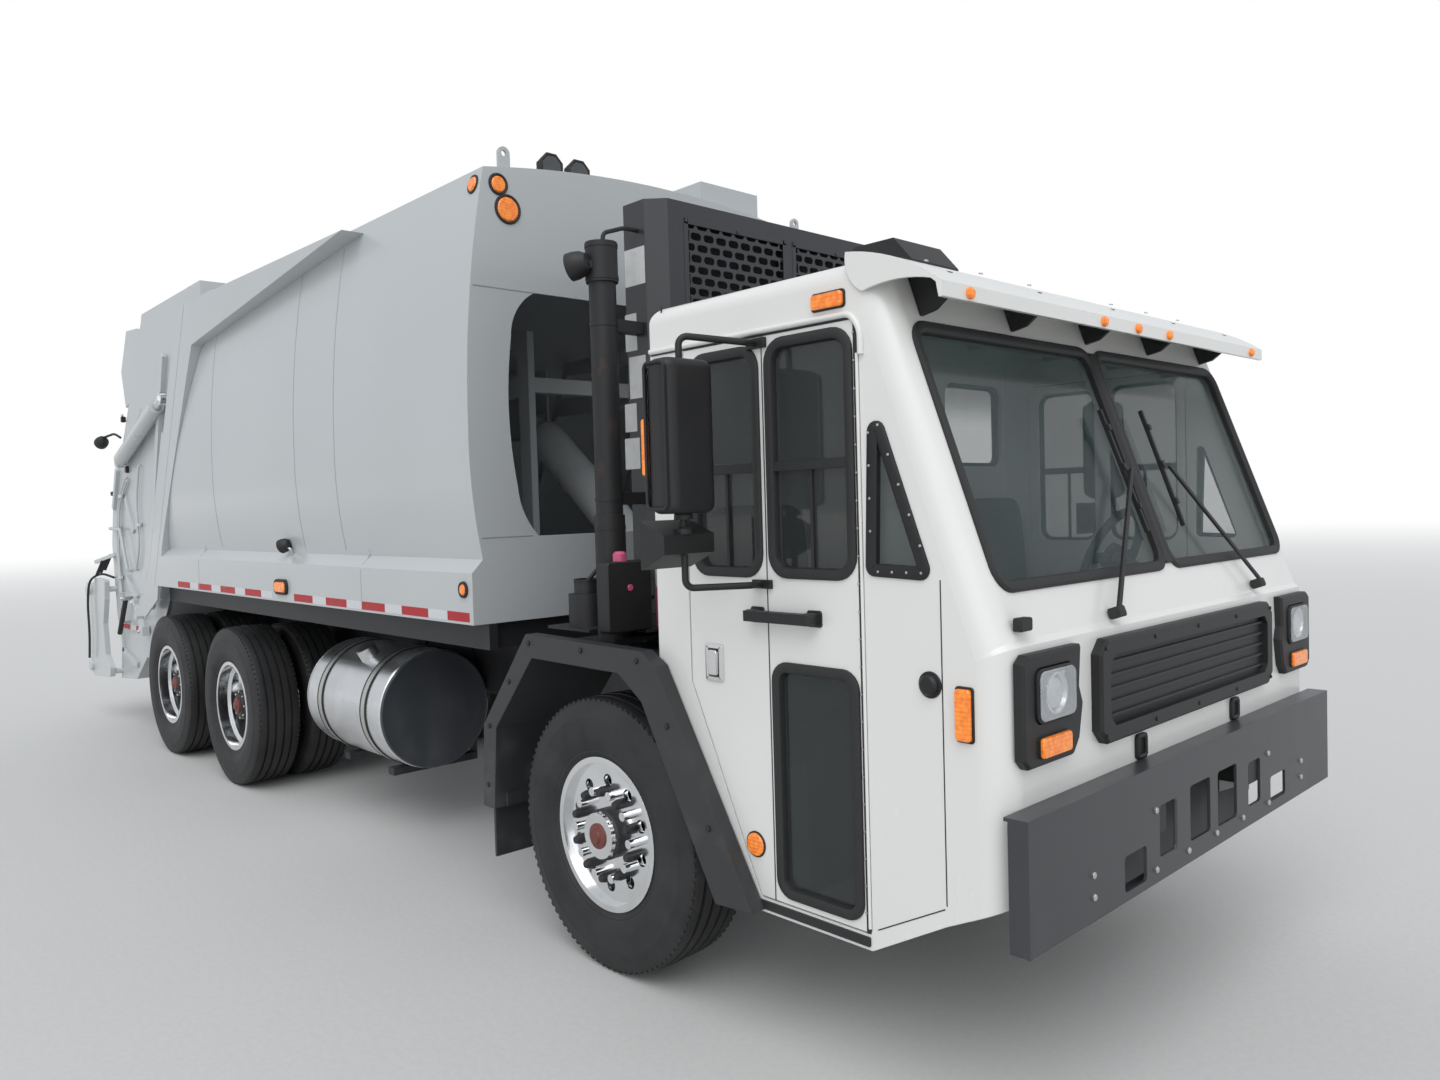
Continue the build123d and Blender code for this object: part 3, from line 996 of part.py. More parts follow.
# Rear bolster: hollow gusset and post on each side of the body, with the tailgate's hinge lugs on the roof
BOLSTER_HALF = SKIRT_HALF
BOLSTER_PLATE = 8
LUG_HALF = 820
LUG_WALL = 30
LUG_GAP = 50
LUG_RADIUS = 60
POST_TOP = BODY_CROWN - 108
bolster_outline = (
    (-2080, POST_TOP - 38), (joint_x(POST_TOP), POST_TOP), (joint_x(BODY_BOTTOM), BODY_BOTTOM),
    (-5560, BODY_BOTTOM), (-5480, 1560), (-5400, 1700), (-5090, 2190), (-4560, POST_TOP - 305),
)
LIFT_BASE = (-6100, 1110)
LIFT_HALF = 1156
CHEEK_TOP = POST_TOP - 10
CHEEK_DEPTH = 190
CHEEK = 12
with BuildPart() as rear_bolster:
    for side in (-1, 1):
        with BuildSketch(side_plane(side * (BODY_SHOULDER[0] - 60))):
            Polygon(*bolster_outline, align=None)
        extrude(amount=-side * (BOLSTER_HALF - BODY_SHOULDER[0] + 60))
        with BuildSketch(side_plane(side * (BODY_SHOULDER[0] - 60))):
            Polygon(*bolster_outline, align=None)
            offset(amount=-BOLSTER_PLATE, kind=Kind.INTERSECTION, mode=Mode.REPLACE)
        extrude(amount=-side * (BOLSTER_HALF - BODY_SHOULDER[0] + 60 - BOLSTER_PLATE), mode=Mode.SUBTRACT)
        for wall in (LUG_HALF - LUG_GAP / 2 - LUG_WALL, LUG_HALF + LUG_GAP / 2):
            with BuildSketch(side_plane(side * wall)):
                with BuildLine():
                    Polyline((GATE_HINGE[0] - LUG_RADIUS, GATE_HINGE[1]), (GATE_HINGE[0] - 30, GATE_HINGE[1] - 240),
                             (GATE_HINGE[0] + 300, GATE_HINGE[1] - 240), (GATE_HINGE[0] + 300, GATE_HINGE[1] - 60),
                             (GATE_HINGE[0] + LUG_RADIUS, GATE_HINGE[1]))
                    ThreePointArc((GATE_HINGE[0] + LUG_RADIUS, GATE_HINGE[1]),
                                  (GATE_HINGE[0], GATE_HINGE[1] + LUG_RADIUS),
                                  (GATE_HINGE[0] - LUG_RADIUS, GATE_HINGE[1]))
                make_face()
            extrude(amount=-side * LUG_WALL)
        rod_between((GATE_HINGE[0], side * (LUG_HALF - LUG_GAP / 2 - LUG_WALL - 8), GATE_HINGE[1]),
                    (GATE_HINGE[0], side * (LUG_HALF + LUG_GAP / 2 + LUG_WALL + 8), GATE_HINGE[1]), PIN_RADIUS)
    # Cheek outboard of the tailgate, with the foot that carries the base pin of the lift cylinder
    for side in (-1, 1):
        with BuildSketch(side_plane(side * BOLSTER_HALF)):
            Polygon((joint_x(CHEEK_TOP, -40), CHEEK_TOP), (joint_x(CHEEK_TOP, CHEEK_DEPTH), CHEEK_TOP),
                    (joint_x(1440, CHEEK_DEPTH), 1440), (-6030, 1200), (-6155, 1150), (-6155, 1065), (-6010, 1020),
                    (-5650, 1180), (-5600, BODY_BOTTOM + 40), (joint_x(1440, -40), 1440), align=None)
        extrude(amount=side * CHEEK)
        rod_between((LIFT_BASE[0], side * (BOLSTER_HALF - CHEEK / 2), LIFT_BASE[1]),
                    (LIFT_BASE[0], side * (LIFT_HALF - 36), LIFT_BASE[1]), PIN_RADIUS)
        with BuildSketch(side_plane(side * BOLSTER_HALF)):
            Polygon((joint_x(POST_TOP), POST_TOP), (joint_x(BODY_BOTTOM), BODY_BOTTOM),
                    (joint_x(BODY_BOTTOM, 7), BODY_BOTTOM), (joint_x(POST_TOP, 7), POST_TOP), align=None)
        extrude(amount=side * 4, mode=Mode.SUBTRACT)
    # Arch over the roof that joins the two posts and carries the lugs
    with BuildPart(mode=Mode.PRIVATE) as arch:
        with BuildSketch(cross_plane(-4545)):
            body_section(-40, BODY_BOTTOM)
            mirror(about=Plane.YZ)
            Rectangle(3000, 2 * (POST_TOP - 150), mode=Mode.SUBTRACT)
        extrude(amount=165)
    add(arch.part)
    # Room for the body itself, up to the joint
    with BuildPart(mode=Mode.PRIVATE) as body_room:
        with BuildSketch(cross_plane(-6200)):
            body_section(-FIT, BODY_BOTTOM)
            skirt_section(-FIT)
            mirror(about=Plane.YZ)
        extrude(amount=5400)
        with BuildSketch(side_plane(0)):
            Polygon((joint_x(0), 0), (joint_x(4000), 4000), (4000, 4000), (4000, 0), align=None)
        extrude(amount=2000, both=True, mode=Mode.INTERSECT)
    add(body_room.part, mode=Mode.SUBTRACT)
save(rear_bolster.part, "rear_bolster")

# Ejector: slanted panel that fills the load space, on a forward frame of posts and beams
EJECTOR_FOOT = -3200
EJECTOR_WALL = 12
EJECTOR_LOW = BODY_FLOOR + SLIDE_GAP
EJECTOR_EYE = (-2230, 2330)


def ejector_x(height, ahead=0):
    return EJECTOR_FOOT + joint_slope * (height - EJECTOR_LOW) + ahead


with BuildPart(DATUM) as ejector_panel:
    with BuildSketch(cross_plane(-4000)):
        body_section(BODY_SKIN + SLIDE_GAP + 4, EJECTOR_LOW)
        mirror(about=Plane.YZ)
    extrude(amount=3000)
    with BuildSketch(side_plane(0)):
        Polygon((ejector_x(0), 0), (ejector_x(4000), 4000), (ejector_x(4000, EJECTOR_WALL), 4000),
                (ejector_x(0, EJECTOR_WALL), 0), align=None)
    extrude(amount=2000, both=True, mode=Mode.INTERSECT)
    for side in (-1, 1):
        with BuildSketch(side_plane(side * 440)):
            Polygon((ejector_x(EJECTOR_LOW, 5), EJECTOR_LOW), (-1560, EJECTOR_LOW), (-1560, 2740),
                    (ejector_x(2740, 5), 2740), align=None)
            Polygon((ejector_x(EJECTOR_LOW + 110, 60), EJECTOR_LOW + 110), (-1660, EJECTOR_LOW + 110),
                    (-1660, 2400), (ejector_x(2400, 60), 2400), align=None, mode=Mode.SUBTRACT)
            Polygon((ejector_x(2510, 60), 2510), (-1660, 2510), (-1660, 2660), (ejector_x(2660, 60), 2660),
                    align=None, mode=Mode.SUBTRACT)
        extrude(amount=20, both=True)
        low, high = sorted((side * 72, side * 88))
        with BuildSketch(side_plane(low)):
            Polygon((ejector_x(2230, 5), 2230), (EJECTOR_EYE[0] + 50, 2230), (EJECTOR_EYE[0] + 50, 2640),
                    (ejector_x(2640, 5), 2640), align=None)
        extrude(amount=-(high - low))
    block(-1640, -1570, -420, 420, 2420, 2500)
    block(-1640, -1570, -420, 420, EJECTOR_LOW, EJECTOR_LOW + 90)
    for side in (-1, 1):
        low, high = sorted((side * 425, side * 455))
        block(-3050, -1560, low, high, BODY_FLOOR + RUN, EJECTOR_LOW + 1)
save(ejector_panel.part, "ejector_panel")

# Telescopic ejector cylinder: barrel pinned near the bulkhead, three stages, and an eye between the panel's ribs
BARREL_RADIUS = 112
STAGE_RADII = (96, 80, 64)


def along(base, eye, distance, offset=0.0):
    """Point on the line from a cylinder's base to its eye, as station and height."""
    length = hypot(eye[0] - base[0], eye[1] - base[1])
    dx = (eye[0] - base[0]) / length
    dz = (eye[1] - base[1]) / length
    return (base[0] + dx * distance - dz * offset, base[1] + dz * distance + dx * offset)


def bar_along(base, eye, y, start, end, radius, mode=Mode.ADD):
    """Round bar on a cylinder's centre line, between two distances from its base pin."""
    first = along(base, eye, start)
    last = along(base, eye, end)
    rod_between((first[0], y, first[1]), (last[0], y, last[1]), radius, mode=mode)


def eye_ring(spot, y, radius, half_width, bore=None):
    """Eye across a cylinder's end, bored for its pin or plain where the linkage is open."""
    rod_between((spot[0], y - half_width, spot[1]), (spot[0], y + half_width, spot[1]), radius)
    if bore:
        rod_between((spot[0], y - half_width, spot[1]), (spot[0], y + half_width, spot[1]), bore, mode=Mode.SUBTRACT)


ejector_closed = hypot(EJECTOR_EYE[0] - EJECTOR_BASE[0], EJECTOR_EYE[1] - EJECTOR_BASE[1])
with BuildPart() as ejector_barrel:
    bar_along(EJECTOR_BASE, EJECTOR_EYE, 0, 0, 140, 55)
    bar_along(EJECTOR_BASE, EJECTOR_EYE, 0, 130, ejector_closed - 170, BARREL_RADIUS)
    bar_along(EJECTOR_BASE, EJECTOR_EYE, 0, 145, ejector_closed - 170, STAGE_RADII[0] + RUN, mode=Mode.SUBTRACT)
    eye_ring(EJECTOR_BASE, 0, 58, 58, PIN_RADIUS + FIT)
save(ejector_barrel.part, "ejector_barrel")
for stage, radius in enumerate(STAGE_RADII, start=1):
    with BuildPart() as ejector_stage:
        foot = 145 + 12 * stage
        if radius == STAGE_RADII[-1]:
            bar_along(EJECTOR_BASE, EJECTOR_EYE, 0, foot, ejector_closed, radius)
            eye_ring(EJECTOR_EYE, 0, 62, 50)
        else:
            tip = ejector_closed - 160 + 14 * stage
            bar_along(EJECTOR_BASE, EJECTOR_EYE, 0, foot, tip, radius)
            bar_along(EJECTOR_BASE, EJECTOR_EYE, 0, foot - 1, tip, STAGE_RADII[stage] + RUN, mode=Mode.SUBTRACT)
    save(ejector_stage.part, f"ejector_stage_{stage}")


# Tailgate: side plates, roof and hood, curved hopper floor with its sill, and lugs on the bolster's hinge pins
GATE_LINE = 10
GATE_ROOF = GATE_HINGE[1] + 20
SILL = 1050
FLOOR_RADIUS = BLADE_REACH + BOWL_GAP
FLOOR_FRONT = 40
CASE_INNER = 880
GRAB_RAIL = ((-7300, 1732), (-6960, 1722), (-6780, 1370))
gate_outline = (
    (joint_x(CHEEK_TOP, GATE_LINE), CHEEK_TOP), (-4710, GATE_ROOF + 20), (-6170, GATE_ROOF),
    (-6250, GATE_ROOF - 140), (-6930, 2437),
    (-7289, 2074), (-7419, 1591), (-7350, 950), (-7244, 743), (-7309, 387), (-6807, 429),
    (-6464, 650), (-6250, 620), (-5800, 1130), (joint_x(1230, GATE_LINE), 1230),
)
CARRIAGE_TILT = 51
CARRIAGE_TRAVEL = 450
CARRIAGE_EYE = 1667
CARRIAGE_BASE = (-6780, 2300)
CARRIAGE_HALF = 1165
slide_way = (cos(radians(CARRIAGE_TILT)), sin(radians(CARRIAGE_TILT)))


def on_carriage(up, ahead=0.0):
    """Point of the packing carriage, by distance up its slide and ahead of the blade's pivot line."""
    return (BLADE_PIVOT[0] + slide_way[0] * up + slide_way[1] * ahead,
            BLADE_PIVOT[1] + slide_way[1] * up - slide_way[0] * ahead)


def bowl(radius, angle):
    """Point of the hopper floor around the blade's pivot, angle in degrees below the forward level."""
    return (BLADE_PIVOT[0] + radius * cos(radians(angle)), BLADE_PIVOT[1] - radius * sin(radians(angle)))


floor_end = (joint_x(1283, GATE_LINE), 1283)
sill_angle = 180 - degrees(atan2(BLADE_PIVOT[1] - SILL, (FLOOR_RADIUS ** 2 - (BLADE_PIVOT[1] - SILL) ** 2) ** 0.5))
carriage_eye = on_carriage(CARRIAGE_EYE)
with BuildPart() as tailgate_shell:
    for side in (-1, 1):
        with BuildSketch(side_plane(side * GATE_HALF)):
            Polygon(*gate_outline, align=None)
            with Locations(on_carriage(CARRIAGE_EYE + CARRIAGE_TRAVEL / 2)):
                SlotCenterToCenter(CARRIAGE_TRAVEL + 12, 64, rotation=CARRIAGE_TILT, mode=Mode.SUBTRACT)
        extrude(amount=side * GATE_PLATE)
        rod_between((CARRIAGE_BASE[0], side * (GATE_HALF - GATE_PLATE / 2), CARRIAGE_BASE[1]),
                    (CARRIAGE_BASE[0], side * (CARRIAGE_HALF + 30), CARRIAGE_BASE[1]), PIN_RADIUS)
        rod_between((CARRIAGE_BASE[0], side * (GATE_HALF - GATE_PLATE / 2), CARRIAGE_BASE[1]),
                    (CARRIAGE_BASE[0], side * (GATE_HALF + 20), CARRIAGE_BASE[1]), 45)
        rod_between((LIFT_EYE[0], side * (GATE_HALF - GATE_PLATE / 2), LIFT_EYE[1]),
                    (LIFT_EYE[0], side * (GATE_HALF + 22), LIFT_EYE[1]), 50)
    with BuildSketch(side_plane(GATE_HALF)):
        Polygon(*gate_outline, align=None)
        offset(amount=-GATE_PLATE, kind=Kind.INTERSECTION, mode=Mode.SUBTRACT)
        Polygon((-7600, SILL + 5), (-7200, SILL + 5), (-7150, 2150), (-7600, 2150), align=None, mode=Mode.SUBTRACT)
        Polygon((joint_x(1330) + 50, 1330), (joint_x(1330, 40), 1330), (joint_x(CHEEK_TOP, 40), CHEEK_TOP),
                (joint_x(CHEEK_TOP) + 50, CHEEK_TOP), align=None, mode=Mode.SUBTRACT)
        Polygon((-6230, 500), (-6230, 720), (-5700, 1270), (-5500, 1270), (-5500, 500), align=None,
                mode=Mode.SUBTRACT)
        with BuildLine():
            ThreePointArc(bowl(FLOOR_RADIUS, sill_angle), bowl(FLOOR_RADIUS, 90), bowl(FLOOR_RADIUS, FLOOR_FRONT))
            Polyline(bowl(FLOOR_RADIUS, FLOOR_FRONT), floor_end, (floor_end[0] + 3, floor_end[1] - GATE_PLATE),
                     bowl(FLOOR_RADIUS + GATE_PLATE, FLOOR_FRONT))
            ThreePointArc(bowl(FLOOR_RADIUS + GATE_PLATE, FLOOR_FRONT), bowl(FLOOR_RADIUS + GATE_PLATE, 90),
                          bowl(FLOOR_RADIUS + GATE_PLATE, sill_angle))
            Line(bowl(FLOOR_RADIUS + GATE_PLATE, sill_angle), bowl(FLOOR_RADIUS, sill_angle))
        make_face()
        Polygon((-7366, SILL - 12), (-7366, SILL), (bowl(FLOOR_RADIUS, sill_angle)[0], SILL),
                (bowl(FLOOR_RADIUS, sill_angle)[0] - 4, SILL - 12), align=None)
    extrude(amount=2 * GATE_HALF)
    for side in (-1, 1):
        middle = side * LUG_HALF
        with BuildSketch(side_plane(middle)):
            Polygon((GATE_HINGE[0] - 35, GATE_HINGE[1] + 45), (GATE_HINGE[0] - 330, GATE_HINGE[1] + 34),
                    (GATE_HINGE[0] - 330, GATE_HINGE[1] - 160), (GATE_HINGE[0] - 140, GATE_HINGE[1] - 160),
                    (GATE_HINGE[0] - 15, GATE_HINGE[1] - 58), align=None)
            with Locations(GATE_HINGE):
                Circle(LUG_RADIUS)
        extrude(amount=LUG_GAP / 2 - 3, both=True)
        with BuildSketch(side_plane(middle)):
            with Locations(GATE_HINGE):
                Circle(PIN_RADIUS + FIT)
        extrude(amount=LUG_GAP / 2, both=True, mode=Mode.SUBTRACT)
        low, high = sorted((side * 900, side * 940))
        with BuildSketch(side_plane(high)):
            Polygon((-7355, 1030), (-7460, 1060), (-7500, 1030), (-7500, 980), (-7340, 900), align=None)
        extrude(amount=high - low)
    rod_between((LIFTER_HINGE[0], -960, LIFTER_HINGE[1]), (LIFTER_HINGE[0], 960, LIFTER_HINGE[1]), 18)
    # Cases over the head of each slide, and a bent grab rail on each side plate
    for side in (-1, 1):
        with BuildSketch(side_plane(side * CASE_INNER)):
            Polygon((-6240, GATE_ROOF - 160), (-6330, GATE_ROOF - 90), (-6640, GATE_ROOF - 70), (-6850, 3070),
                    (-6760, 2760), (-6600, 2800), align=None)
        extrude(amount=-side * (GATE_HALF - CASE_INNER))
        rail_line = [(x + DATUM_X, side * (GATE_HALF + 42), z) for x, z in GRAB_RAIL]
        rail_feet = [(x + DATUM_X, side * (GATE_HALF - GATE_PLATE / 2), z) for x, z in GRAB_RAIL]
        with BuildLine() as rail:
            FilletPolyline(rail_feet[0], *rail_line, rail_feet[-1], radius=24)
        with BuildSketch(Plane(origin=rail.line @ 0, z_dir=rail.line % 0)) as rail_tube:
            Circle(14)
        sweep(path=rail.line)
save(tailgate_shell.part, "tailgate_shell")


def cylinder_pair(name, base, eye, half, barrel, rod, barrel_end, rod_start):
    """Two like cylinders, one on each side: the barrels as one piece and the rods as another."""
    closed = hypot(eye[0] - base[0], eye[1] - base[1])
    with BuildPart() as barrels:
        for side in (-1, 1):
            bar_along(base, eye, side * half, 40, 70, barrel * 0.6)
            bar_along(base, eye, side * half, 60, barrel_end, barrel)
            bar_along(base, eye, side * half, 75, barrel_end, rod + RUN, mode=Mode.SUBTRACT)
            eye_ring(base, side * half, barrel * 0.95, 26, PIN_RADIUS + FIT)
    save(barrels.part, f"{name}_barrels")
    with BuildPart() as rods:
        for side in (-1, 1):
            bar_along(base, eye, side * half, rod_start, closed, rod)
            eye_ring(eye, side * half, rod + 18, 20)
    save(rods.part, f"{name}_rods")


cylinder_pair("lift", LIFT_BASE, LIFT_EYE, LIFT_HALF, 42, 26, 1500, 180)
cylinder_pair("carriage", CARRIAGE_BASE, carriage_eye, CARRIAGE_HALF, 55, 32, 1195, 600)

# Packing carriage: sheet on ribs that slides in the tailgate, with lugs for the blade and pins through the slots
CARRIAGE_TOP = 1900
CARRIAGE_WIDE = 1080
CARRIAGE_SHOES = ((260, 420), (1300, 1460))
with BuildPart() as carriage:
    with BuildSketch(side_plane(CARRIAGE_WIDE)):
        Polygon(on_carriage(70, -40), on_carriage(CARRIAGE_TOP, -40), on_carriage(CARRIAGE_TOP, -30),
                on_carriage(70, -30), align=None)
        Polygon(on_carriage(70, -40), on_carriage(130, -40), on_carriage(130, 40), on_carriage(70, 40), align=None)
        Polygon(on_carriage(CARRIAGE_TOP - 60, -40), on_carriage(CARRIAGE_TOP, -40), on_carriage(CARRIAGE_TOP, 40),
                on_carriage(CARRIAGE_TOP - 60, 40), align=None)
    extrude(amount=2 * CARRIAGE_WIDE)
    for middle in (-1060, -640, -215, 215, 640, 1060):
        with BuildSketch(side_plane(middle)):
            Polygon(on_carriage(70, -40), on_carriage(CARRIAGE_TOP, -40), on_carriage(CARRIAGE_TOP, 40),
                    on_carriage(70, 40), align=None)
        extrude(amount=8, both=True)
    for side in (-1, 1):
        for low, high in CARRIAGE_SHOES:
            with BuildSketch(side_plane(side * (CARRIAGE_WIDE - 10))):
                Polygon(on_carriage(low, -30), on_carriage(high, -30), on_carriage(high, 30), on_carriage(low, 30),
                        align=None)
            extrude(amount=-side * (GATE_HALF - GATE_PLATE - RUN - CARRIAGE_WIDE + 10))
        with BuildSketch(side_plane(side * 1060)):
            with Locations(BLADE_PIVOT):
                Circle(62)
            Polygon(on_carriage(0, -55), on_carriage(140, -40), on_carriage(140, 40), on_carriage(0, 55), align=None)
            with Locations(BLADE_PIVOT):
                Circle(PIN_RADIUS + FIT, mode=Mode.SUBTRACT)
        extrude(amount=20, both=True)
        rod_between((carriage_eye[0], side * 1060, carriage_eye[1]),
                    (carriage_eye[0], side * (CARRIAGE_HALF - 40), carriage_eye[1]), PIN_RADIUS)
save(carriage.part, "carriage")

# Packing blade: hub on two pins, with a sheet that tapers to the tip and ribs behind it
BLADE_REST = 60
with BuildPart() as packing_blade:
    with BuildSketch(side_plane(1034)):
        with Locations(BLADE_PIVOT):
            Circle(48)
        Polygon(bowl(40, BLADE_REST + 90), bowl(BLADE_REACH, BLADE_REST + 0.7), bowl(BLADE_REACH, BLADE_REST - 0.7),
                bowl(40, BLADE_REST - 90), align=None)
    extrude(amount=2 * 1034)
    rod_between((BLADE_PIVOT[0], -1079, BLADE_PIVOT[1]), (BLADE_PIVOT[0], 1079, BLADE_PIVOT[1]), PIN_RADIUS)
save(packing_blade.part, "packing_blade")

# Container lifter at the sill: two arms on the hinge bar and a kick plate that reaches the rear-most point
with BuildPart() as lifter:
    with BuildSketch(side_plane(700)):
        Polygon((-REAR_REACH, 1180), (-REAR_REACH, 420), (-7985, 380), (-7970, 380), (-7980, 425), (-7980, 1180),
                align=None)
    extrude(amount=1400)
    for side in (-1, 1):
        with BuildSketch(side_plane(side * 600)):
            Polygon((-7440, 1030), (-7985, 1100), (-7985, 560), (-7900, 560), (-7850, 960), (-7440, 960),
                    align=None)
            with Locations(LIFTER_HINGE):
                Circle(38)
                Circle(18 + FIT, mode=Mode.SUBTRACT)
        extrude(amount=15, both=True)
save(lifter.part, "lifter")

# Container arms: a shaped plate beyond each rear corner, on two tubes from the tailgate's side
ARM_PLATE = 40
ARM_GAP = 62
with BuildPart() as container_arms:
    for side in (-1, 1):
        with BuildSketch(side_plane(side * (GATE_HALF + ARM_GAP))):
            Polygon((-7300, 1275), (-7640, 1285), (-7710, 1235), (-REAR_REACH + 10, 1230), (-REAR_REACH + 5, 1185),
                    (-7965, 640), (-7910, 410), (-7800, 372), (-7260, 415), (-7235, 500), (-7380, 600),
                    (-7420, 880), (-7330, 1100), align=None)
            fillet(vertices(), 22)
        extrude(amount=-side * ARM_PLATE)
        for spot in ((-7340, 1190), (-7275, 460)):
            rod_between((spot[0], side * (GATE_HALF + FIT), spot[1]), (spot[0], side * (GATE_HALF + ARM_GAP + 5), spot[1]), 24)
save(container_arms.part, "container_arms")
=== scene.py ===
import math

import bmesh
import bpy
from mathutils import Matrix, Vector


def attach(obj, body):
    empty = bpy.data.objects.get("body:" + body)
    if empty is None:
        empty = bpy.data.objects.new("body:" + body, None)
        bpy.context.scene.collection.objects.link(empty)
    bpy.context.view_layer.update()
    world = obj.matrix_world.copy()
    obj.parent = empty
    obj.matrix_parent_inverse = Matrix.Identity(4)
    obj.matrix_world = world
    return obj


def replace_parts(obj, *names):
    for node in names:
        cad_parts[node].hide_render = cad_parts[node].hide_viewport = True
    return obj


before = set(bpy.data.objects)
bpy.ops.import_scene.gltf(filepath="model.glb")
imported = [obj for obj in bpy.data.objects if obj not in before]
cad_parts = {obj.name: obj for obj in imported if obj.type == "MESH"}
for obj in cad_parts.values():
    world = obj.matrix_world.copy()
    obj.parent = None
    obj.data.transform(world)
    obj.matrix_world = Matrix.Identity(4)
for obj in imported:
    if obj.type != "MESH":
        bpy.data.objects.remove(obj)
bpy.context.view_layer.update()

# Studio: the photograph's viewpoint off the right front corner, about chest high and turned slightly
# clockwise. Stations along the truck run forward from a line just ahead of the front axle.
DATUM = 3.113


def at(station, half, height):
    """Point of the truck, from its station, its distance to the left and its height."""
    return Vector((station + DATUM, half, height))


yaw, pitch, roll = math.radians(46.613), math.radians(1.966), math.radians(-1.652)
level = Vector((-math.sin(yaw), math.cos(yaw), 0))
across = Vector((math.cos(yaw), math.sin(yaw), 0))
forward = level * math.cos(pitch) - Vector((0, 0, math.sin(pitch)))
upward = Vector((0, 0, math.cos(pitch))) + level * math.sin(pitch)
rolled_right = across * math.cos(roll) + upward * math.sin(roll)
rolled_up = upward * math.cos(roll) - across * math.sin(roll)
lens = bpy.data.cameras.new("photo_camera")
lens.sensor_fit = "HORIZONTAL"
lens.sensor_width = 36
lens.lens = 36 * 1039 / 1440
lens.clip_end = 400
camera = bpy.data.objects.new("photo_camera", lens)
turn = Matrix((rolled_right, rolled_up, -forward)).transposed().to_4x4()
camera.matrix_world = Matrix.Translation(at(3.1642, -3.5556, 1.7905)) @ turn
bpy.context.scene.collection.objects.link(camera)
bpy.context.scene.camera = camera
bpy.context.scene.view_settings.view_transform = "Standard"


class Wire:
    """A socket of a material. An expression written with it adds the Math nodes that work it out."""

    def __init__(self, finish, socket):
        self.finish = finish
        self.socket = socket

    def _math(self, operation, first, second):
        return self.finish.node("ShaderNodeMath", {0: first, 1: second}, operation=operation)

    def __add__(self, other):
        return self._math("ADD", self, other)

    def __mul__(self, other):
        return self._math("MULTIPLY", self, other)

    def __sub__(self, other):
        return self._math("SUBTRACT", self, other)

    def __rsub__(self, other):
        return self._math("SUBTRACT", other, self)

    __radd__ = __add__
    __rmul__ = __mul__

    def span(self, low, high):
        """Rises smoothly from 0 to 1 while the value goes from low to high."""
        return self.finish.node("ShaderNodeMapRange", {0: self, 1: low, 2: high},
                                interpolation_type="SMOOTHSTEP")


class Finish:
    """One material: a Principled shader and what feeds it."""

    def __init__(self, name, **plain):
        self.material = bpy.data.materials.new(name)
        self.material.use_nodes = True
        self.tree = self.material.node_tree
        self.shader = self.tree.nodes["Principled BSDF"]
        for socket, value in plain.items():
            self.shader.inputs[socket.replace("_", " ")].default_value = value
        self.place = self.node("ShaderNodeTexCoord", out="Object")

    def node(self, kind, sockets=None, out=0, **settings):
        made = self.tree.nodes.new(kind)
        for name, value in settings.items():
            setattr(made, name, value)
        for name, value in (sockets or {}).items():
            self.feed(made.inputs[name], value)
        return Wire(self, made.outputs[out])

    def feed(self, socket, value):
        if isinstance(value, Wire):
            self.tree.links.new(value.socket, socket)
        elif isinstance(value, tuple) and socket.type == "RGBA":
            socket.default_value = (*value, 1)
        else:
            socket.default_value = value

    def set(self, name, value):
        self.feed(self.shader.inputs[name], value)

    def noise(self, scale, detail=3.0, stretch=None):
        where = self.place
        if stretch:
            where = self.node("ShaderNodeMapping", {"Vector": self.place, "Scale": stretch})
        return self.node("ShaderNodeTexNoise", {"Vector": where, "Scale": scale, "Detail": detail})

    def along(self, axis):
        return self.node("ShaderNodeSeparateXYZ", {0: self.place}, out=axis)

    def tint(self, mask, first, second):
        """Colour that goes from the first to the second as the mask goes from 0 to 1."""
        return self.node("ShaderNodeMix", {0: mask, 6: first, 7: second}, out=2, data_type="RGBA")

    def bump(self, height, depth, strength=0.5, round_edges=0.0):
        sockets = {"Height": height, "Distance": depth, "Strength": strength}
        if round_edges:
            sockets["Normal"] = self.node("ShaderNodeBevel", {"Radius": round_edges}, samples=4)
        self.set("Normal", self.node("ShaderNodeBump", sockets))


floor_mesh = bpy.data.meshes.new("studio_floor")
rim = [(150 * math.cos(math.tau * i / 96), 150 * math.sin(math.tau * i / 96), 0) for i in range(96)]
floor_mesh.from_pydata(rim, [], [tuple(range(96))])
floor = bpy.data.objects.new("studio_floor", floor_mesh)
bpy.context.scene.collection.objects.link(floor)
ground = Finish("studio_floor", Roughness=0.85)
fleck = ground.noise(40.0, 5)
ground.set("Base Color", ground.tint(fleck.span(0.3, 0.7), (0.585, 0.585, 0.575), (0.605, 0.605, 0.60)))
ground.bump(ground.noise(90.0, 4), 0.002, 0.3)
reach = ground.node("ShaderNodeVectorMath", {0: ground.place}, out="Value", operation="LENGTH")
fade = ground.node("ShaderNodeMixShader", {0: reach.span(9.0, 60.0)})
glow = ground.node("ShaderNodeEmission", {"Color": (1.0, 1.0, 1.0), "Strength": 1.0})
ground.tree.links.new(ground.shader.outputs[0], fade.socket.node.inputs[1])
ground.tree.links.new(glow.socket, fade.socket.node.inputs[2])
ground.tree.links.new(fade.socket, ground.tree.nodes["Material Output"].inputs["Surface"])
floor_mesh.materials.append(ground.material)

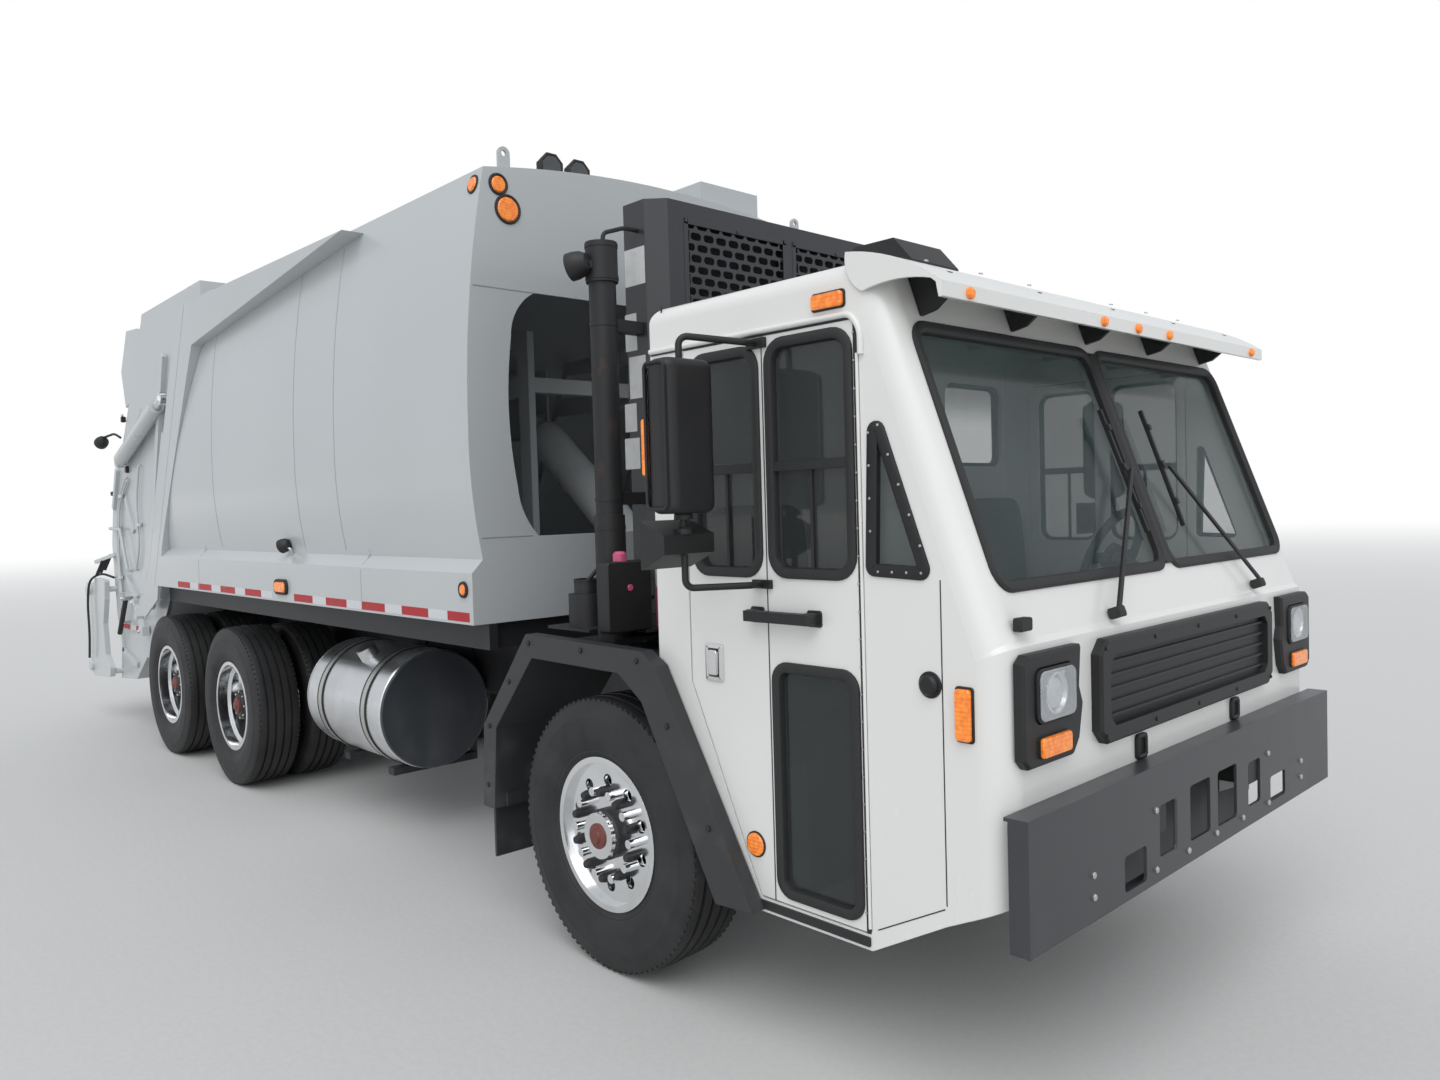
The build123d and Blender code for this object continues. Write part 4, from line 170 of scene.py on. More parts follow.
world = bpy.data.worlds.new("studio_surround")
world.use_nodes = True
bpy.context.scene.world = world
surround = world.node_tree
sky = surround.nodes["Background"]
sky.inputs["Color"].default_value = (0.93, 0.96, 1.0, 1)
sky.inputs["Strength"].default_value = 0.72
backdrop = surround.nodes.new("ShaderNodeBackground")
backdrop.inputs["Color"].default_value = (1, 1, 1, 1)
ray = surround.nodes.new("ShaderNodeLightPath")
pick = surround.nodes.new("ShaderNodeMixShader")
surround.links.new(ray.outputs["Is Camera Ray"], pick.inputs[0])
surround.links.new(sky.outputs[0], pick.inputs[1])
surround.links.new(backdrop.outputs[0], pick.inputs[2])
surround.links.new(pick.outputs[0], surround.nodes["World Output"].inputs["Surface"])
for name, energy, spread, tilt in (("overhead_light", 1.0, 50, (26, 20, 0)),
                                   ("front_light", 0.5, 60, (62, 0, 40))):
    lamp = bpy.data.lights.new(name, "SUN")
    lamp.energy = energy
    lamp.angle = math.radians(spread)
    sun = bpy.data.objects.new(name, lamp)
    sun.rotation_euler = [math.radians(angle) for angle in tilt]
    bpy.context.scene.collection.objects.link(sun)


# Chassis: two steel channel rails with crossmembers, leaf-sprung axles and steering, all sprayed with black
# frame paint that road dust settles on.
def painted(name, colour, gloss=0.3, dust=0.4, coat=0.4, round_edges=0.003):
    """Sprayed steel: faint orange peel, uneven gloss, and road dust that thickens towards the ground."""
    finish = Finish(name, Coat_Weight=coat, Coat_Roughness=0.12)
    cloudy = finish.noise(0.9, 4)
    dirt = finish.noise(7.0, 6, (1, 1, 0.35))
    low = 1 - finish.along("Z").span(0.3, 1.35)
    film = dirt.span(0.40, 0.75) * (low * 0.8 + 0.1) * dust
    dusty = tuple(0.72 * part + 0.09 for part in colour)
    shaded = finish.tint(cloudy.span(0.35, 0.7), tuple(0.965 * part for part in colour), colour)
    finish.set("Base Color", finish.tint(film, shaded, dusty))
    finish.set("Roughness", cloudy * 0.10 + film * 0.5 + (gloss - 0.05))
    finish.bump(finish.noise(240.0, 2), 0.0005, 0.12, round_edges)
    return finish.material


def dress(material, *nodes):
    """Gives CAD nodes a finish in place of their plain colour."""
    for name in nodes:
        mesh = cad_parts[name].data
        mesh.materials.clear()
        mesh.materials.append(material)


frame_paint = painted("frame_paint", (0.018, 0.018, 0.020), gloss=0.5, coat=0.0)
dress(frame_paint, "frame_rails", "front_axle", "rear_axles", "tie_rod", "knuckle_left", "knuckle_right")


# Engine: one cast block with its gearbox, between the rails under the cab. Rough grey-black iron, oil-
# darkened.
iron = Finish("engine_iron")
oil = iron.noise(4.0, 6)
iron.set("Base Color", iron.tint(oil.span(0.35, 0.65), (0.045, 0.045, 0.047), (0.10, 0.10, 0.10)))
iron.set("Roughness", oil * 0.3 + 0.45)
iron.bump(iron.noise(130.0, 4), 0.002, 0.6, 0.004)
dress(iron.material, "engine_block")


# Bumper: a channel of folded plate with slots in its face, sprayed satin charcoal and held by zinc bolts.
charcoal = painted("bumper_paint", (0.040, 0.043, 0.048), gloss=0.40, dust=0.25, coat=0.15)
dress(charcoal, "bumper")


def metal(name, colour, rough=0.2, streak=None, wear=0.25):
    """Bare or plated metal with smudges and fine scratches in its polish."""
    finish = Finish(name, Metallic=1.0)
    smudge = finish.noise(6.0, 5)
    scratch = finish.noise(90.0, 2, streak)
    worn = tuple(part * (1 - wear * 0.5) for part in colour)
    finish.set("Base Color", finish.tint(smudge.span(0.35, 0.75), colour, worn))
    finish.set("Roughness", smudge * (0.25 * wear) + scratch * 0.08 + (rough - 0.04))
    finish.bump(scratch, 0.0003, 0.15, 0.002)
    return finish.material


def input_socket(tree, name, kind, value):
    socket = tree.interface.new_socket(name, in_out="INPUT", socket_type=kind)
    socket.default_value = value
    return socket.identifier


def grow(name, start, tree, values, body):
    """Runs a node tree on a mesh, keeps the result as a plain piece, and lets it ride on a body."""
    source = bpy.data.objects.new(name, start)
    bpy.context.scene.collection.objects.link(source)
    modifier = source.modifiers.new("grow", "NODES")
    modifier.node_group = tree
    for identifier, value in values.items():
        modifier[identifier] = value
    evaluated = source.evaluated_get(bpy.context.evaluated_depsgraph_get())
    result = bpy.data.meshes.new_from_object(evaluated)
    result.name = name
    source.modifiers.clear()
    source.data = result
    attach(source, body)
    return source


def fastener_tree(material):
    """Instances a turned, chamfered fastener on every point and turns it to the point's own direction."""
    tree = bpy.data.node_groups.new("fasteners", "GeometryNodeTree")
    tree.interface.new_socket("Geometry", in_out="INPUT", socket_type="NodeSocketGeometry")
    keys = {
        "Radius": input_socket(tree, "Radius", "NodeSocketFloat", 0.01),
        "Height": input_socket(tree, "Height", "NodeSocketFloat", 0.01),
        "Taper": input_socket(tree, "Taper", "NodeSocketFloat", 0.8),
        "Sides": input_socket(tree, "Sides", "NodeSocketInt", 6),
    }
    tree.interface.new_socket("Geometry", in_out="OUTPUT", socket_type="NodeSocketGeometry")
    add, link = tree.nodes.new, tree.links.new
    ends = add("NodeGroupInput")
    body = add("GeometryNodeMeshCone")
    crown = add("GeometryNodeMeshCone")
    joined = add("GeometryNodeJoinGeometry")
    shift = add("ShaderNodeCombineXYZ")
    part = add("ShaderNodeMath")
    part.operation = "MULTIPLY"
    part.inputs[1].default_value = 0.65
    rest = add("ShaderNodeMath")
    rest.operation = "MULTIPLY"
    rest.inputs[1].default_value = 0.35
    top = add("ShaderNodeMath")
    top.operation = "MULTIPLY"
    link(ends.outputs["Height"], part.inputs[0])
    link(ends.outputs["Height"], rest.inputs[0])
    link(ends.outputs["Radius"], top.inputs[0])
    link(ends.outputs["Taper"], top.inputs[1])
    for cone in (body, crown):
        link(ends.outputs["Sides"], cone.inputs["Vertices"])
        link(ends.outputs["Radius"], cone.inputs["Radius Bottom"])
        link(cone.outputs["Mesh"], joined.inputs[0])
    link(ends.outputs["Radius"], body.inputs["Radius Top"])
    link(part.outputs[0], body.inputs["Depth"])
    link(top.outputs[0], crown.inputs["Radius Top"])
    link(rest.outputs[0], crown.inputs["Depth"])
    lift = add("GeometryNodeTransform")
    link(part.outputs[0], shift.inputs["Z"])
    link(crown.outputs["Mesh"], lift.inputs["Geometry"])
    link(shift.outputs[0], lift.inputs["Translation"])
    tree.links.remove([wire for wire in tree.links
                       if wire.from_node == crown and wire.to_node == joined][0])
    link(lift.outputs["Geometry"], joined.inputs[0])
    direction = add("GeometryNodeInputNamedAttribute")
    direction.data_type = "FLOAT_VECTOR"
    direction.inputs["Name"].default_value = "facing"
    align = add("FunctionNodeAlignRotationToVector")
    align.axis = "Z"
    link(direction.outputs["Attribute"], align.inputs["Vector"])
    spread = add("GeometryNodeInstanceOnPoints")
    link(ends.outputs["Geometry"], spread.inputs["Points"])
    link(joined.outputs[0], spread.inputs["Instance"])
    link(align.outputs["Rotation"], spread.inputs["Rotation"])
    real = add("GeometryNodeRealizeInstances")
    coat = add("GeometryNodeSetMaterial")
    coat.inputs["Material"].default_value = material
    out = add("NodeGroupOutput")
    link(spread.outputs[0], real.inputs[0])
    link(real.outputs[0], coat.inputs["Geometry"])
    link(coat.outputs[0], out.inputs[0])
    return tree, keys


def fasteners(name, spots, facing, radius, height, material, body, sides=6, taper=0.8):
    """A set of bolts, nuts, rivets or screws: one for each spot, all on one body."""
    tree, keys = fastener_tree(material)
    points = bpy.data.meshes.new(name)
    points.from_pydata([tuple(spot) for spot in spots], [], [])
    turned = points.attributes.new("facing", "FLOAT_VECTOR", "POINT")
    for datum in turned.data:
        datum.vector = facing
    sizes = {"Radius": radius, "Height": height, "Taper": taper, "Sides": sides}
    return grow(name, points, tree, {keys[key]: value for key, value in sizes.items()}, body)


zinc = metal("zinc_plating", (0.62, 0.62, 0.60), 0.35)
bumper_bolts = [(-0.444, 0.817), (0.497, 0.818), (-0.445, 0.634), (-0.208, 0.634), (0.018, 0.637),
                (0.250, 0.636), (0.499, 0.634), (0.845, 0.724), (0.843, 0.661), (-0.845, 0.724),
                (-0.843, 0.661)]
fasteners("bumper_bolts", [at(1.774, half, height) for half, height in bumper_bolts], (1, 0, 0), 0.011,
          0.009,
          zinc, "chassis")


# Wheels: forged aluminium discs, polished bright and drilled with ten hand holes. Ten nuts under black caps
# hold each on its hub, which is sprayed black and closed by a painted cap.
polished = metal("polished_aluminium", (0.88, 0.89, 0.90), 0.13, (1, 6, 1))
SIDES = (("left", 1), ("right", -1))
REAR_STATIONS = (("front", -4.160), ("rear", -5.530))
FRONT_STATION = -0.050
AXLE_HEIGHT = 0.531
STUD_CIRCLE = 0.1675
dress(polished, "front_wheel_left", "front_wheel_right")
for axle, _ in REAR_STATIONS:
    dress(polished, f"rear_wheel_{axle}_left", f"rear_wheel_{axle}_right")
hub_black = painted("hub_paint", (0.020, 0.020, 0.021), gloss=0.45, dust=0.3, coat=0.0)
cap_red = painted("hub_cap_paint", (0.16, 0.035, 0.025), gloss=0.45, dust=0.5, coat=0.1)


def piece(name, mesh, material, body, smooth=True):
    """Makes a mesh a finished piece that rides on a body."""
    made = bpy.data.objects.new(name, mesh)
    mesh.name = name
    if material:
        mesh.materials.clear()
        mesh.materials.append(material)
    if smooth:
        mesh.polygons.foreach_set("use_smooth", [True] * len(mesh.polygons))
        mesh.set_sharp_from_angle(angle=math.radians(32))
    bpy.context.scene.collection.objects.link(made)
    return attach(made, body)


def solid(bm):
    """Closes a form: doubles merged, faces turned outwards."""
    bmesh.ops.remove_doubles(bm, verts=bm.verts, dist=0.00005)
    bmesh.ops.recalc_face_normals(bm, faces=bm.faces)
    mesh = bpy.data.meshes.new("form")
    bm.to_mesh(mesh)
    bm.free()
    return mesh


def turned(bm, profile, centre, side, steps=64):
    """Turns a profile of radius and distance outboard about a wheel's axle line."""
    rings = []
    for radius, out in profile:
        if radius < 0.0001:
            rings.append([bm.verts.new(centre + Vector((0, side * out, 0)))])
        else:
            rings.append([bm.verts.new(centre + Vector((radius * math.cos(math.tau * i / steps), side * out,
                                                        radius * math.sin(math.tau * i / steps))))
                          for i in range(steps)])
    for first, last in zip(rings, rings[1:]):
        for i in range(steps):
            corners = [first[i % len(first)], first[(i + 1) % steps % len(first)],
                       last[(i + 1) % steps % len(last)], last[i % len(last)]]
            corners = list(dict.fromkeys(corners))
            if len(corners) > 2:
                bm.faces.new(corners)


def wheel_parts(body, station, side, face, hub_radius, hub_start, hub_end):
    """Hub with its cap, and the nut caps around it."""
    centre = at(station, 0, AXLE_HEIGHT)
    form = bmesh.new()
    turned(form, [(0, hub_start), (hub_radius, hub_start), (hub_radius, hub_end - 0.020),
                  (hub_radius - 0.008, hub_end - 0.012),
                  (hub_radius * 0.78, hub_end - 0.010), (hub_radius * 0.74, hub_end), (0, hub_end)],
           centre, side)
    piece(f"{body}_hub", solid(form), hub_black, body)
    form = bmesh.new()
    turned(form, [(0, hub_end - 0.002), (hub_radius * 0.52, hub_end - 0.002),
                  (hub_radius * 0.50, hub_end + 0.012),
                  (hub_radius * 0.30, hub_end + 0.018), (hub_radius * 0.26, hub_end + 0.026),
                  (0, hub_end + 0.028)],
           centre, side, 40)
    piece(f"{body}_hub_cap", solid(form), cap_red, body)
    ring = [centre + Vector((STUD_CIRCLE * math.cos(math.tau * (i + 0.5) / 10), side * face,
                             STUD_CIRCLE * math.sin(math.tau * (i + 0.5) / 10))) for i in range(10)]
    fasteners(f"{body}_nut_caps", ring, (0, side, 0), 0.0195, 0.052, hub_black, body, 16,
              0.72)
    bolts = [centre + Vector((hub_radius * 0.88 * math.cos(math.tau * i / 8), side * (hub_end - 0.012),
                              hub_radius * 0.88 * math.sin(math.tau * i / 8))) for i in range(8)]
    fasteners(f"{body}_hub_bolts", bolts, (0, side, 0), 0.008, 0.009, zinc, body)


for name, side in SIDES:
    wheel_parts(f"wheel_front_{name}", FRONT_STATION, side, 1.150, 0.098, 1.128, 1.200)
    for axle, station in REAR_STATIONS:
        wheel_parts(f"wheel_rear_{axle}_{name}", station, side, 1.010, 0.100, 1.000, 1.150)


# Tyres: 22.5 inch radials of about 1.06 m, singles in front and twins behind. Five ribs between four wide
# grooves, fine sipes across the ribs, and moulded rings on the sidewall, which stays bare of words.
TYRE_RADIUS = 0.531
rubber = Finish("tyre_rubber")
worn_rubber = rubber.noise(5.0, 5)
dusty_rubber = rubber.noise(14.0, 6).span(0.45, 0.8)
rubber.set("Base Color", rubber.tint(worn_rubber.span(0.3, 0.7), (0.014, 0.014, 0.015),
                                     (0.026, 0.026, 0.027)))
rubber.set("Roughness", worn_rubber * 0.16 + dusty_rubber * 0.1 + 0.50)
rubber.bump(rubber.noise(300.0, 2), 0.0006, 0.4)


def tyre_section(width):
    """Outline of a tyre from one bead over the tread to the other: radius and distance from its mid-plane."""
    side = [(0.290, 0.100), (0.296, 0.118), (0.312, 0.126), (0.318, 0.131), (0.326, 0.131), (0.332, 0.136),
            (0.370, 0.1435), (0.378, 0.1455), (0.384, 0.1455), (0.390, 0.1462), (0.425, 0.148),
            (0.450, 0.1468),
            (0.456, 0.1475), (0.462, 0.1450), (0.490, 0.1385), (0.505, 0.1350), (0.516, 0.1290),
            (0.524, 0.1200)]
    tread = [(TYRE_RADIUS - 0.0045, 0.110)]
    for middle, crown in ((0.076, 0.0018), (0.026, 0.0)):
        tread += [(TYRE_RADIUS - crown - 0.0010, middle + 0.0075), (TYRE_RADIUS - 0.016, middle + 0.0045),
                  (TYRE_RADIUS - 0.016, middle - 0.0045), (TYRE_RADIUS - crown, middle - 0.0075)]
    half = side + tread
    scale = width / 0.148
    half = [(radius, out * scale) for radius, out in half]
    return half + [(radius, -out) for radius, out in reversed(half)]


def tyre_mesh(form, station, middle):
    rows = tyre_section(0.148)
    closed = rows + [(0.284, -0.09), (0.284, 0.09), rows[0]]
    turned(form, [(radius, middle + out) for radius, out in closed], at(station, 0, AXLE_HEIGHT), 1, 128)


def sipe_tree(material):
    """Sets a small lug on every point of a ring round the tyre's shoulder, turned away from its axle."""
    tree = bpy.data.node_groups.new("shoulder_lugs", "GeometryNodeTree")
    tree.interface.new_socket("Geometry", in_out="INPUT", socket_type="NodeSocketGeometry")
    keys = {
        "Count": input_socket(tree, "Count", "NodeSocketInt", 90),
        "Radius": input_socket(tree, "Radius", "NodeSocketFloat", 0.5),
        "Size": input_socket(tree, "Size", "NodeSocketVector", (0.016, 0.010, 0.006)),
    }
    tree.interface.new_socket("Geometry", in_out="OUTPUT", socket_type="NodeSocketGeometry")
    add, link = tree.nodes.new, tree.links.new
    ends = add("NodeGroupInput")
    ring = add("GeometryNodeMeshCircle")
    link(ends.outputs["Count"], ring.inputs["Vertices"])
    link(ends.outputs["Radius"], ring.inputs["Radius"])
    upright = add("GeometryNodeTransform")
    upright.inputs["Rotation"].default_value = (math.pi / 2, 0, 0)
    link(ring.outputs["Mesh"], upright.inputs["Geometry"])
    place = add("GeometryNodeInputPosition")
    align = add("FunctionNodeAlignRotationToVector")
    align.axis = "Z"
    align.pivot_axis = "Y"
    link(place.outputs[0], align.inputs["Vector"])
    lug = add("GeometryNodeMeshCube")
    link(ends.outputs["Size"], lug.inputs["Size"])
    on_ring = add("GeometryNodeInstanceOnPoints")
    link(upright.outputs[0], on_ring.inputs["Points"])
    link(lug.outputs["Mesh"], on_ring.inputs["Instance"])
    link(align.outputs["Rotation"], on_ring.inputs["Rotation"])
    on_axles = add("GeometryNodeInstanceOnPoints")
    link(ends.outputs["Geometry"], on_axles.inputs["Points"])
    link(on_ring.outputs[0], on_axles.inputs["Instance"])
    real = add("GeometryNodeRealizeInstances")
    coat = add("GeometryNodeSetMaterial")
    coat.inputs["Material"].default_value = material
    out = add("NodeGroupOutput")
    link(on_axles.outputs[0], real.inputs[0])
    link(real.outputs[0], coat.inputs["Geometry"])
    link(coat.outputs[0], out.inputs[0])
    return tree, keys


def dress_tyres(name, station, middles, node, body):
    form = bmesh.new()
    for middle in middles:
        tyre_mesh(form, station, middle)
    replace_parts(piece(name, solid(form), rubber.material, body), node)
    rings = bpy.data.meshes.new(name)
    rings.from_pydata([tuple(at(station, middle + out, AXLE_HEIGHT)) for middle in middles
                       for out in (-0.118, 0.118)],
                      [], [])
    tree, keys = sipe_tree(rubber.material)
    sizes = {"Count": 96, "Radius": 0.5165, "Size": (0.0155, 0.022, 0.016)}
    grow(f"{name}_lugs", rings, tree, {keys[key]: value for key, value in sizes.items()}, body)


for name, side in SIDES:
    dress_tyres(f"front_tread_{name}", FRONT_STATION, [side * 1.052], f"front_tyre_{name}",
                f"wheel_front_{name}")
    for axle, station in REAR_STATIONS:
        dress_tyres(f"rear_treads_{axle}_{name}", station, [side * 1.069, side * 0.726],
                    f"rear_tyres_{axle}_{name}", f"wheel_rear_{axle}_{name}")


# Fuel tank: a rolled aluminium barrel with pressed heads, strapped to two frame brackets by steel bands on
# rubber strips. The front head is coated dark; the filler cap sits on the outer side near the top.
tank_metal = metal("brushed_tank", (0.80, 0.81, 0.82), 0.26, (0.04, 1, 1))
strip_rubber = Finish("strip_rubber")
strip_grain = strip_rubber.noise(120.0, 3)
strip_rubber.set("Base Color", strip_rubber.tint(strip_grain, (0.012, 0.012, 0.013), (0.030, 0.030, 0.031)))
strip_rubber.set("Roughness", strip_grain * 0.2 + 0.5)
strip_rubber.bump(strip_grain, 0.0004, 0.4)
dress(tank_metal, "fuel_tank")
TANK_MIDDLE = at(0, -0.775, 0.700)
TANK_RADIUS = 0.330


def band(form, station_1, station_2, inner, outer, steps=96):
    """Ring round the tank between two stations."""
    rings = []
    for station, radius in ((station_1, inner), (station_1, outer), (station_2, outer), (station_2, inner)):
        rings.append([form.verts.new(TANK_MIDDLE + Vector((station, radius * math.cos(math.tau * i / steps),
                                                           radius * math.sin(math.tau * i / steps))))
                      for i in range(steps)])
    for first, last in zip(rings, rings[1:] + rings[:1]):
        for i in range(steps):
            form.faces.new((first[i], first[(i + 1) % steps], last[(i + 1) % steps], last[i]))


form = bmesh.new()
for middle in (-2.320, -2.890):
    for edge in (-0.034, 0.024):
        band(form, middle + edge, middle + edge + 0.010, TANK_RADIUS - 0.004, TANK_RADIUS + 0.006)
piece("tank_strap_rubber", solid(form), strip_rubber.material, "chassis")
form = bmesh.new()
for middle in (-2.320, -2.890):
    band(form, middle - 0.022, middle + 0.022, TANK_RADIUS - 0.004, TANK_RADIUS + 0.005)
piece("tank_straps", solid(form), zinc, "chassis")


def head_disc(form, station, outward, radius):
    """Pressed head of the tank: a shallow dome with a rolled edge."""
    profile = [(radius, 0.0), (radius, 0.006), (radius - 0.008, 0.012), (radius * 0.86, 0.010),
               (radius * 0.80, 0.014),
               (radius * 0.5, 0.017), (0, 0.018)]
    rings = []
    for reach, out in profile:
        count = 1 if reach == 0 else 96
        rings.append([form.verts.new(TANK_MIDDLE + Vector((station + outward * out,
                                                           reach * math.cos(math.tau * i / 96),
                                                           reach * math.sin(math.tau * i / 96))))
                      for i in range(count)])
    for first, last in zip(rings, rings[1:]):
        for i in range(96):
            corners = [first[i], first[(i + 1) % 96], last[(i + 1) % len(last)], last[i % len(last)]]
            form.faces.new(list(dict.fromkeys(corners)))
    form.faces.new(rings[0])


head_paint = painted("tank_head_paint", (0.045, 0.050, 0.058), gloss=0.35, dust=0.3, coat=0.3)
form = bmesh.new()
head_disc(form, -2.121, 1, TANK_RADIUS - 0.004)
piece("tank_front_head", solid(form), head_paint, "chassis")
form = bmesh.new()
head_disc(form, -3.089, -1, TANK_RADIUS - 0.004)
piece("tank_rear_head", solid(form), tank_metal, "chassis")


# Cab: welded and riveted sheet steel in warm white over a tube frame, with rubber-edged windows, a rain
# gutter over the doors and small lamps and catches screwed to its skin.
cab_paint = painted("cab_paint", (0.80, 0.80, 0.775), gloss=0.26, dust=0.05)
dress(cab_paint, "cab_shell", "door_left", "door_right")
CAB_HALF = 1.160
black_plastic = Finish("black_plastic")
plastic_cloud = black_plastic.noise(2.2, 5)
black_plastic.set("Base Color", black_plastic.tint(plastic_cloud.span(0.3, 0.7), (0.009, 0.009, 0.010),
                                                   (0.018, 0.018, 0.019)))
black_plastic.set("Roughness", plastic_cloud * 0.16 + 0.42)
black_plastic.bump(black_plastic.noise(420.0, 3), 0.0004, 0.5, 0.003)


def side_spot(side, out=0.0):
    """Places a drawing of stations and heights on the cab's side, out from its skin."""
    return lambda station, height, lift=0.0: at(station, side * (CAB_HALF + out + lift), height)


def front_spot(station):
    """Places a drawing of half-widths and heights on a face that looks forward."""
    return lambda half, height, lift=0.0: at(station + lift, half, height)


def screen_spot(half, height, lift=0.0):
    """Places a drawing of half-widths and heights on the leaning windscreen."""
    lean = math.hypot(1, 0.3621)
    return at(1.684 - 0.3621 * (height - 1.4) + lift / lean, half, height + lift * 0.3621 / lean)


def rounded(corners, radius, steps=6):
    """Outline with each corner rounded."""
    line = []
    count = len(corners)
    for i, corner in enumerate(corners):
        here = Vector(corner)
        back = (Vector(corners[i - 1]) - here).normalized()
        on = (Vector(corners[(i + 1) % count]) - here).normalized()
        half = math.acos(max(-1, min(1, back.dot(on)))) / 2
        reach = radius / math.tan(half)
        middle = here + (back + on).normalized() * (radius / math.sin(half))
        first = (here + back * reach) - middle
        last = (here + on * reach) - middle
        sweep = math.atan2(first.x * last.y - first.y * last.x, first.dot(last))
        for step in range(steps + 1):
            turn = sweep * step / steps
            line.append((middle.x + first.x * math.cos(turn) - first.y * math.sin(turn),
                         middle.y + first.x * math.sin(turn) + first.y * math.cos(turn)))
    return line


def box_outline(low, high, radius):
    return rounded([low, (high[0], low[1]), high, (low[0], high[1])], radius)


def moulding(form, outline, section, spot):
    """Closed strip round an outline. Its section gives distances in from the outline and lifts off it."""
    count = len(outline)
    area = sum(outline[i - 1][0] * outline[i][1] - outline[i][0] * outline[i - 1][1] for i in range(count))
    inward = 1 if area > 0 else -1
    rows = []
    for i, here in enumerate(outline):
        run = (Vector(outline[(i + 1) % count]) - Vector(outline[i - 1])).normalized()
        aside = Vector((-run.y, run.x)) * inward
        rows.append([form.verts.new(spot(here[0] + aside.x * depth, here[1] + aside.y * depth, lift))
                     for depth, lift in section])
    for first, last in zip(rows, rows[1:] + rows[:1]):
        for i in range(len(section)):
            j = (i + 1) % len(section)
            form.faces.new((first[i], last[i], last[j], first[j]))


def plaque(form, outline, spot, low, high, edge=0.002):
    """Flat lens or plate on a face, with a bevelled front edge."""
    count = len(outline)
    middle = Vector((sum(p[0] for p in outline) / count, sum(p[1] for p in outline) / count))
    rows = []
    for shrink, lift in ((0, low), (0, high - edge), (edge, high)):
        row = []
        for point in outline:
            pull = (middle - Vector(point))
            pull = pull.normalized() * min(shrink, pull.length) if shrink else Vector((0, 0))
            row.append(form.verts.new(spot(point[0] + pull.x, point[1] + pull.y, lift)))
        rows.append(row)
    form.faces.new(rows[0])
    form.faces.new(rows[-1])
    for first, last in zip(rows, rows[1:]):
        for i in range(count):
            form.faces.new((first[i], first[(i + 1) % count], last[(i + 1) % count], last[i]))


def circle(middle, radius, steps=32):
    return [(middle[0] + radius * math.cos(math.tau * i / steps),
             middle[1] + radius * math.sin(math.tau * i / steps))
            for i in range(steps)]


def bar(form, start, end, width, depth, away):
    """Straight bar of rectangular section from point to point; away is the direction of its depth."""
    run = (end - start).normalized()
    away = (away - run * away.dot(run)).normalized()
    broad = run.cross(away) * (width / 2)
    edge = min(width, depth) * 0.2
    rows = []
    for where, pull in ((start, edge), (start + run * edge, 0), (end - run * edge, 0), (end, edge)):
        high = away * (depth / 2 - pull)
        wide = broad * (1 - 2 * pull / width)
        rows.append([form.verts.new(where + wide * a + high * b) for a,
                     b in ((-1, -1), (1, -1), (1, 1), (-1, 1))])
    for first, last in zip(rows, rows[1:]):
        for i in range(4):
            form.faces.new((first[i], first[(i + 1) % 4], last[(i + 1) % 4], last[i]))
    form.faces.new(rows[0])
    form.faces.new(rows[-1])


def tube_line(name, points, radius, material, body, corner=0.03):
    """Bent round tube: runs joined by bends of a given radius."""
    line = [points[0]]
    for back, here, on in zip(points, points[1:], points[2:]):
        away, onward = (back - here), (on - here)
        reach = min(corner, away.length * 0.45, onward.length * 0.45)
        first, last = here + away.normalized() * reach, here + onward.normalized() * reach
        for step in range(7):
            t = step / 6
            line.append(first * (1 - t) ** 2 + here * 2 * t * (1 - t) + last * t ** 2)
    line.append(points[-1])
    form = bmesh.new()
    rows = []
    rest = Vector((0, 0, 1)) if abs((line[1] - line[0]).normalized().z) < 0.9 else Vector((1, 0, 0))
    for i, here in enumerate(line):
        run = (line[min(i + 1, len(line) - 1)] - line[max(i - 1, 0)]).normalized()
        rest = (rest - run * rest.dot(run)).normalized()
        aside = run.cross(rest)
        rows.append([form.verts.new(here + rest * (radius * math.cos(math.tau * k / 14))
                                    + aside * (radius * math.sin(math.tau * k / 14)))
                     for k in range(14)])
    for first, last in zip(rows, rows[1:]):
        for k in range(14):
            form.faces.new((first[k], first[(k + 1) % 14], last[(k + 1) % 14], last[k]))
    form.faces.new(rows[0])
    form.faces.new(rows[-1])
    return piece(name, solid(form), material, body)


amber = Finish("amber_lens", Coat_Weight=0.6, Coat_Roughness=0.05)
prism = amber.noise(60.0, 2)
amber.set("Base Color", amber.tint(prism.span(0.35, 0.65), (0.86, 0.20, 0.018), (0.95, 0.30, 0.03)))
# A faint emission makes every part in this finish glow. On the door reflector, which holds no lamp, that glow
# is painted light.
amber.set("Emission Color", amber.tint(prism.span(0.35, 0.65), (0.55, 0.10, 0.005), (0.75, 0.16, 0.01)))
amber.shader.inputs["Emission Strength"].default_value = 0.25
amber.set("Roughness", prism * 0.12 + 0.12)
fluting = amber.node("ShaderNodeTexWave", {"Vector": amber.place, "Scale": 26.0, "Distortion": 0.0},
                     bands_direction="Z")
amber.bump(fluting, 0.0015, 0.5)

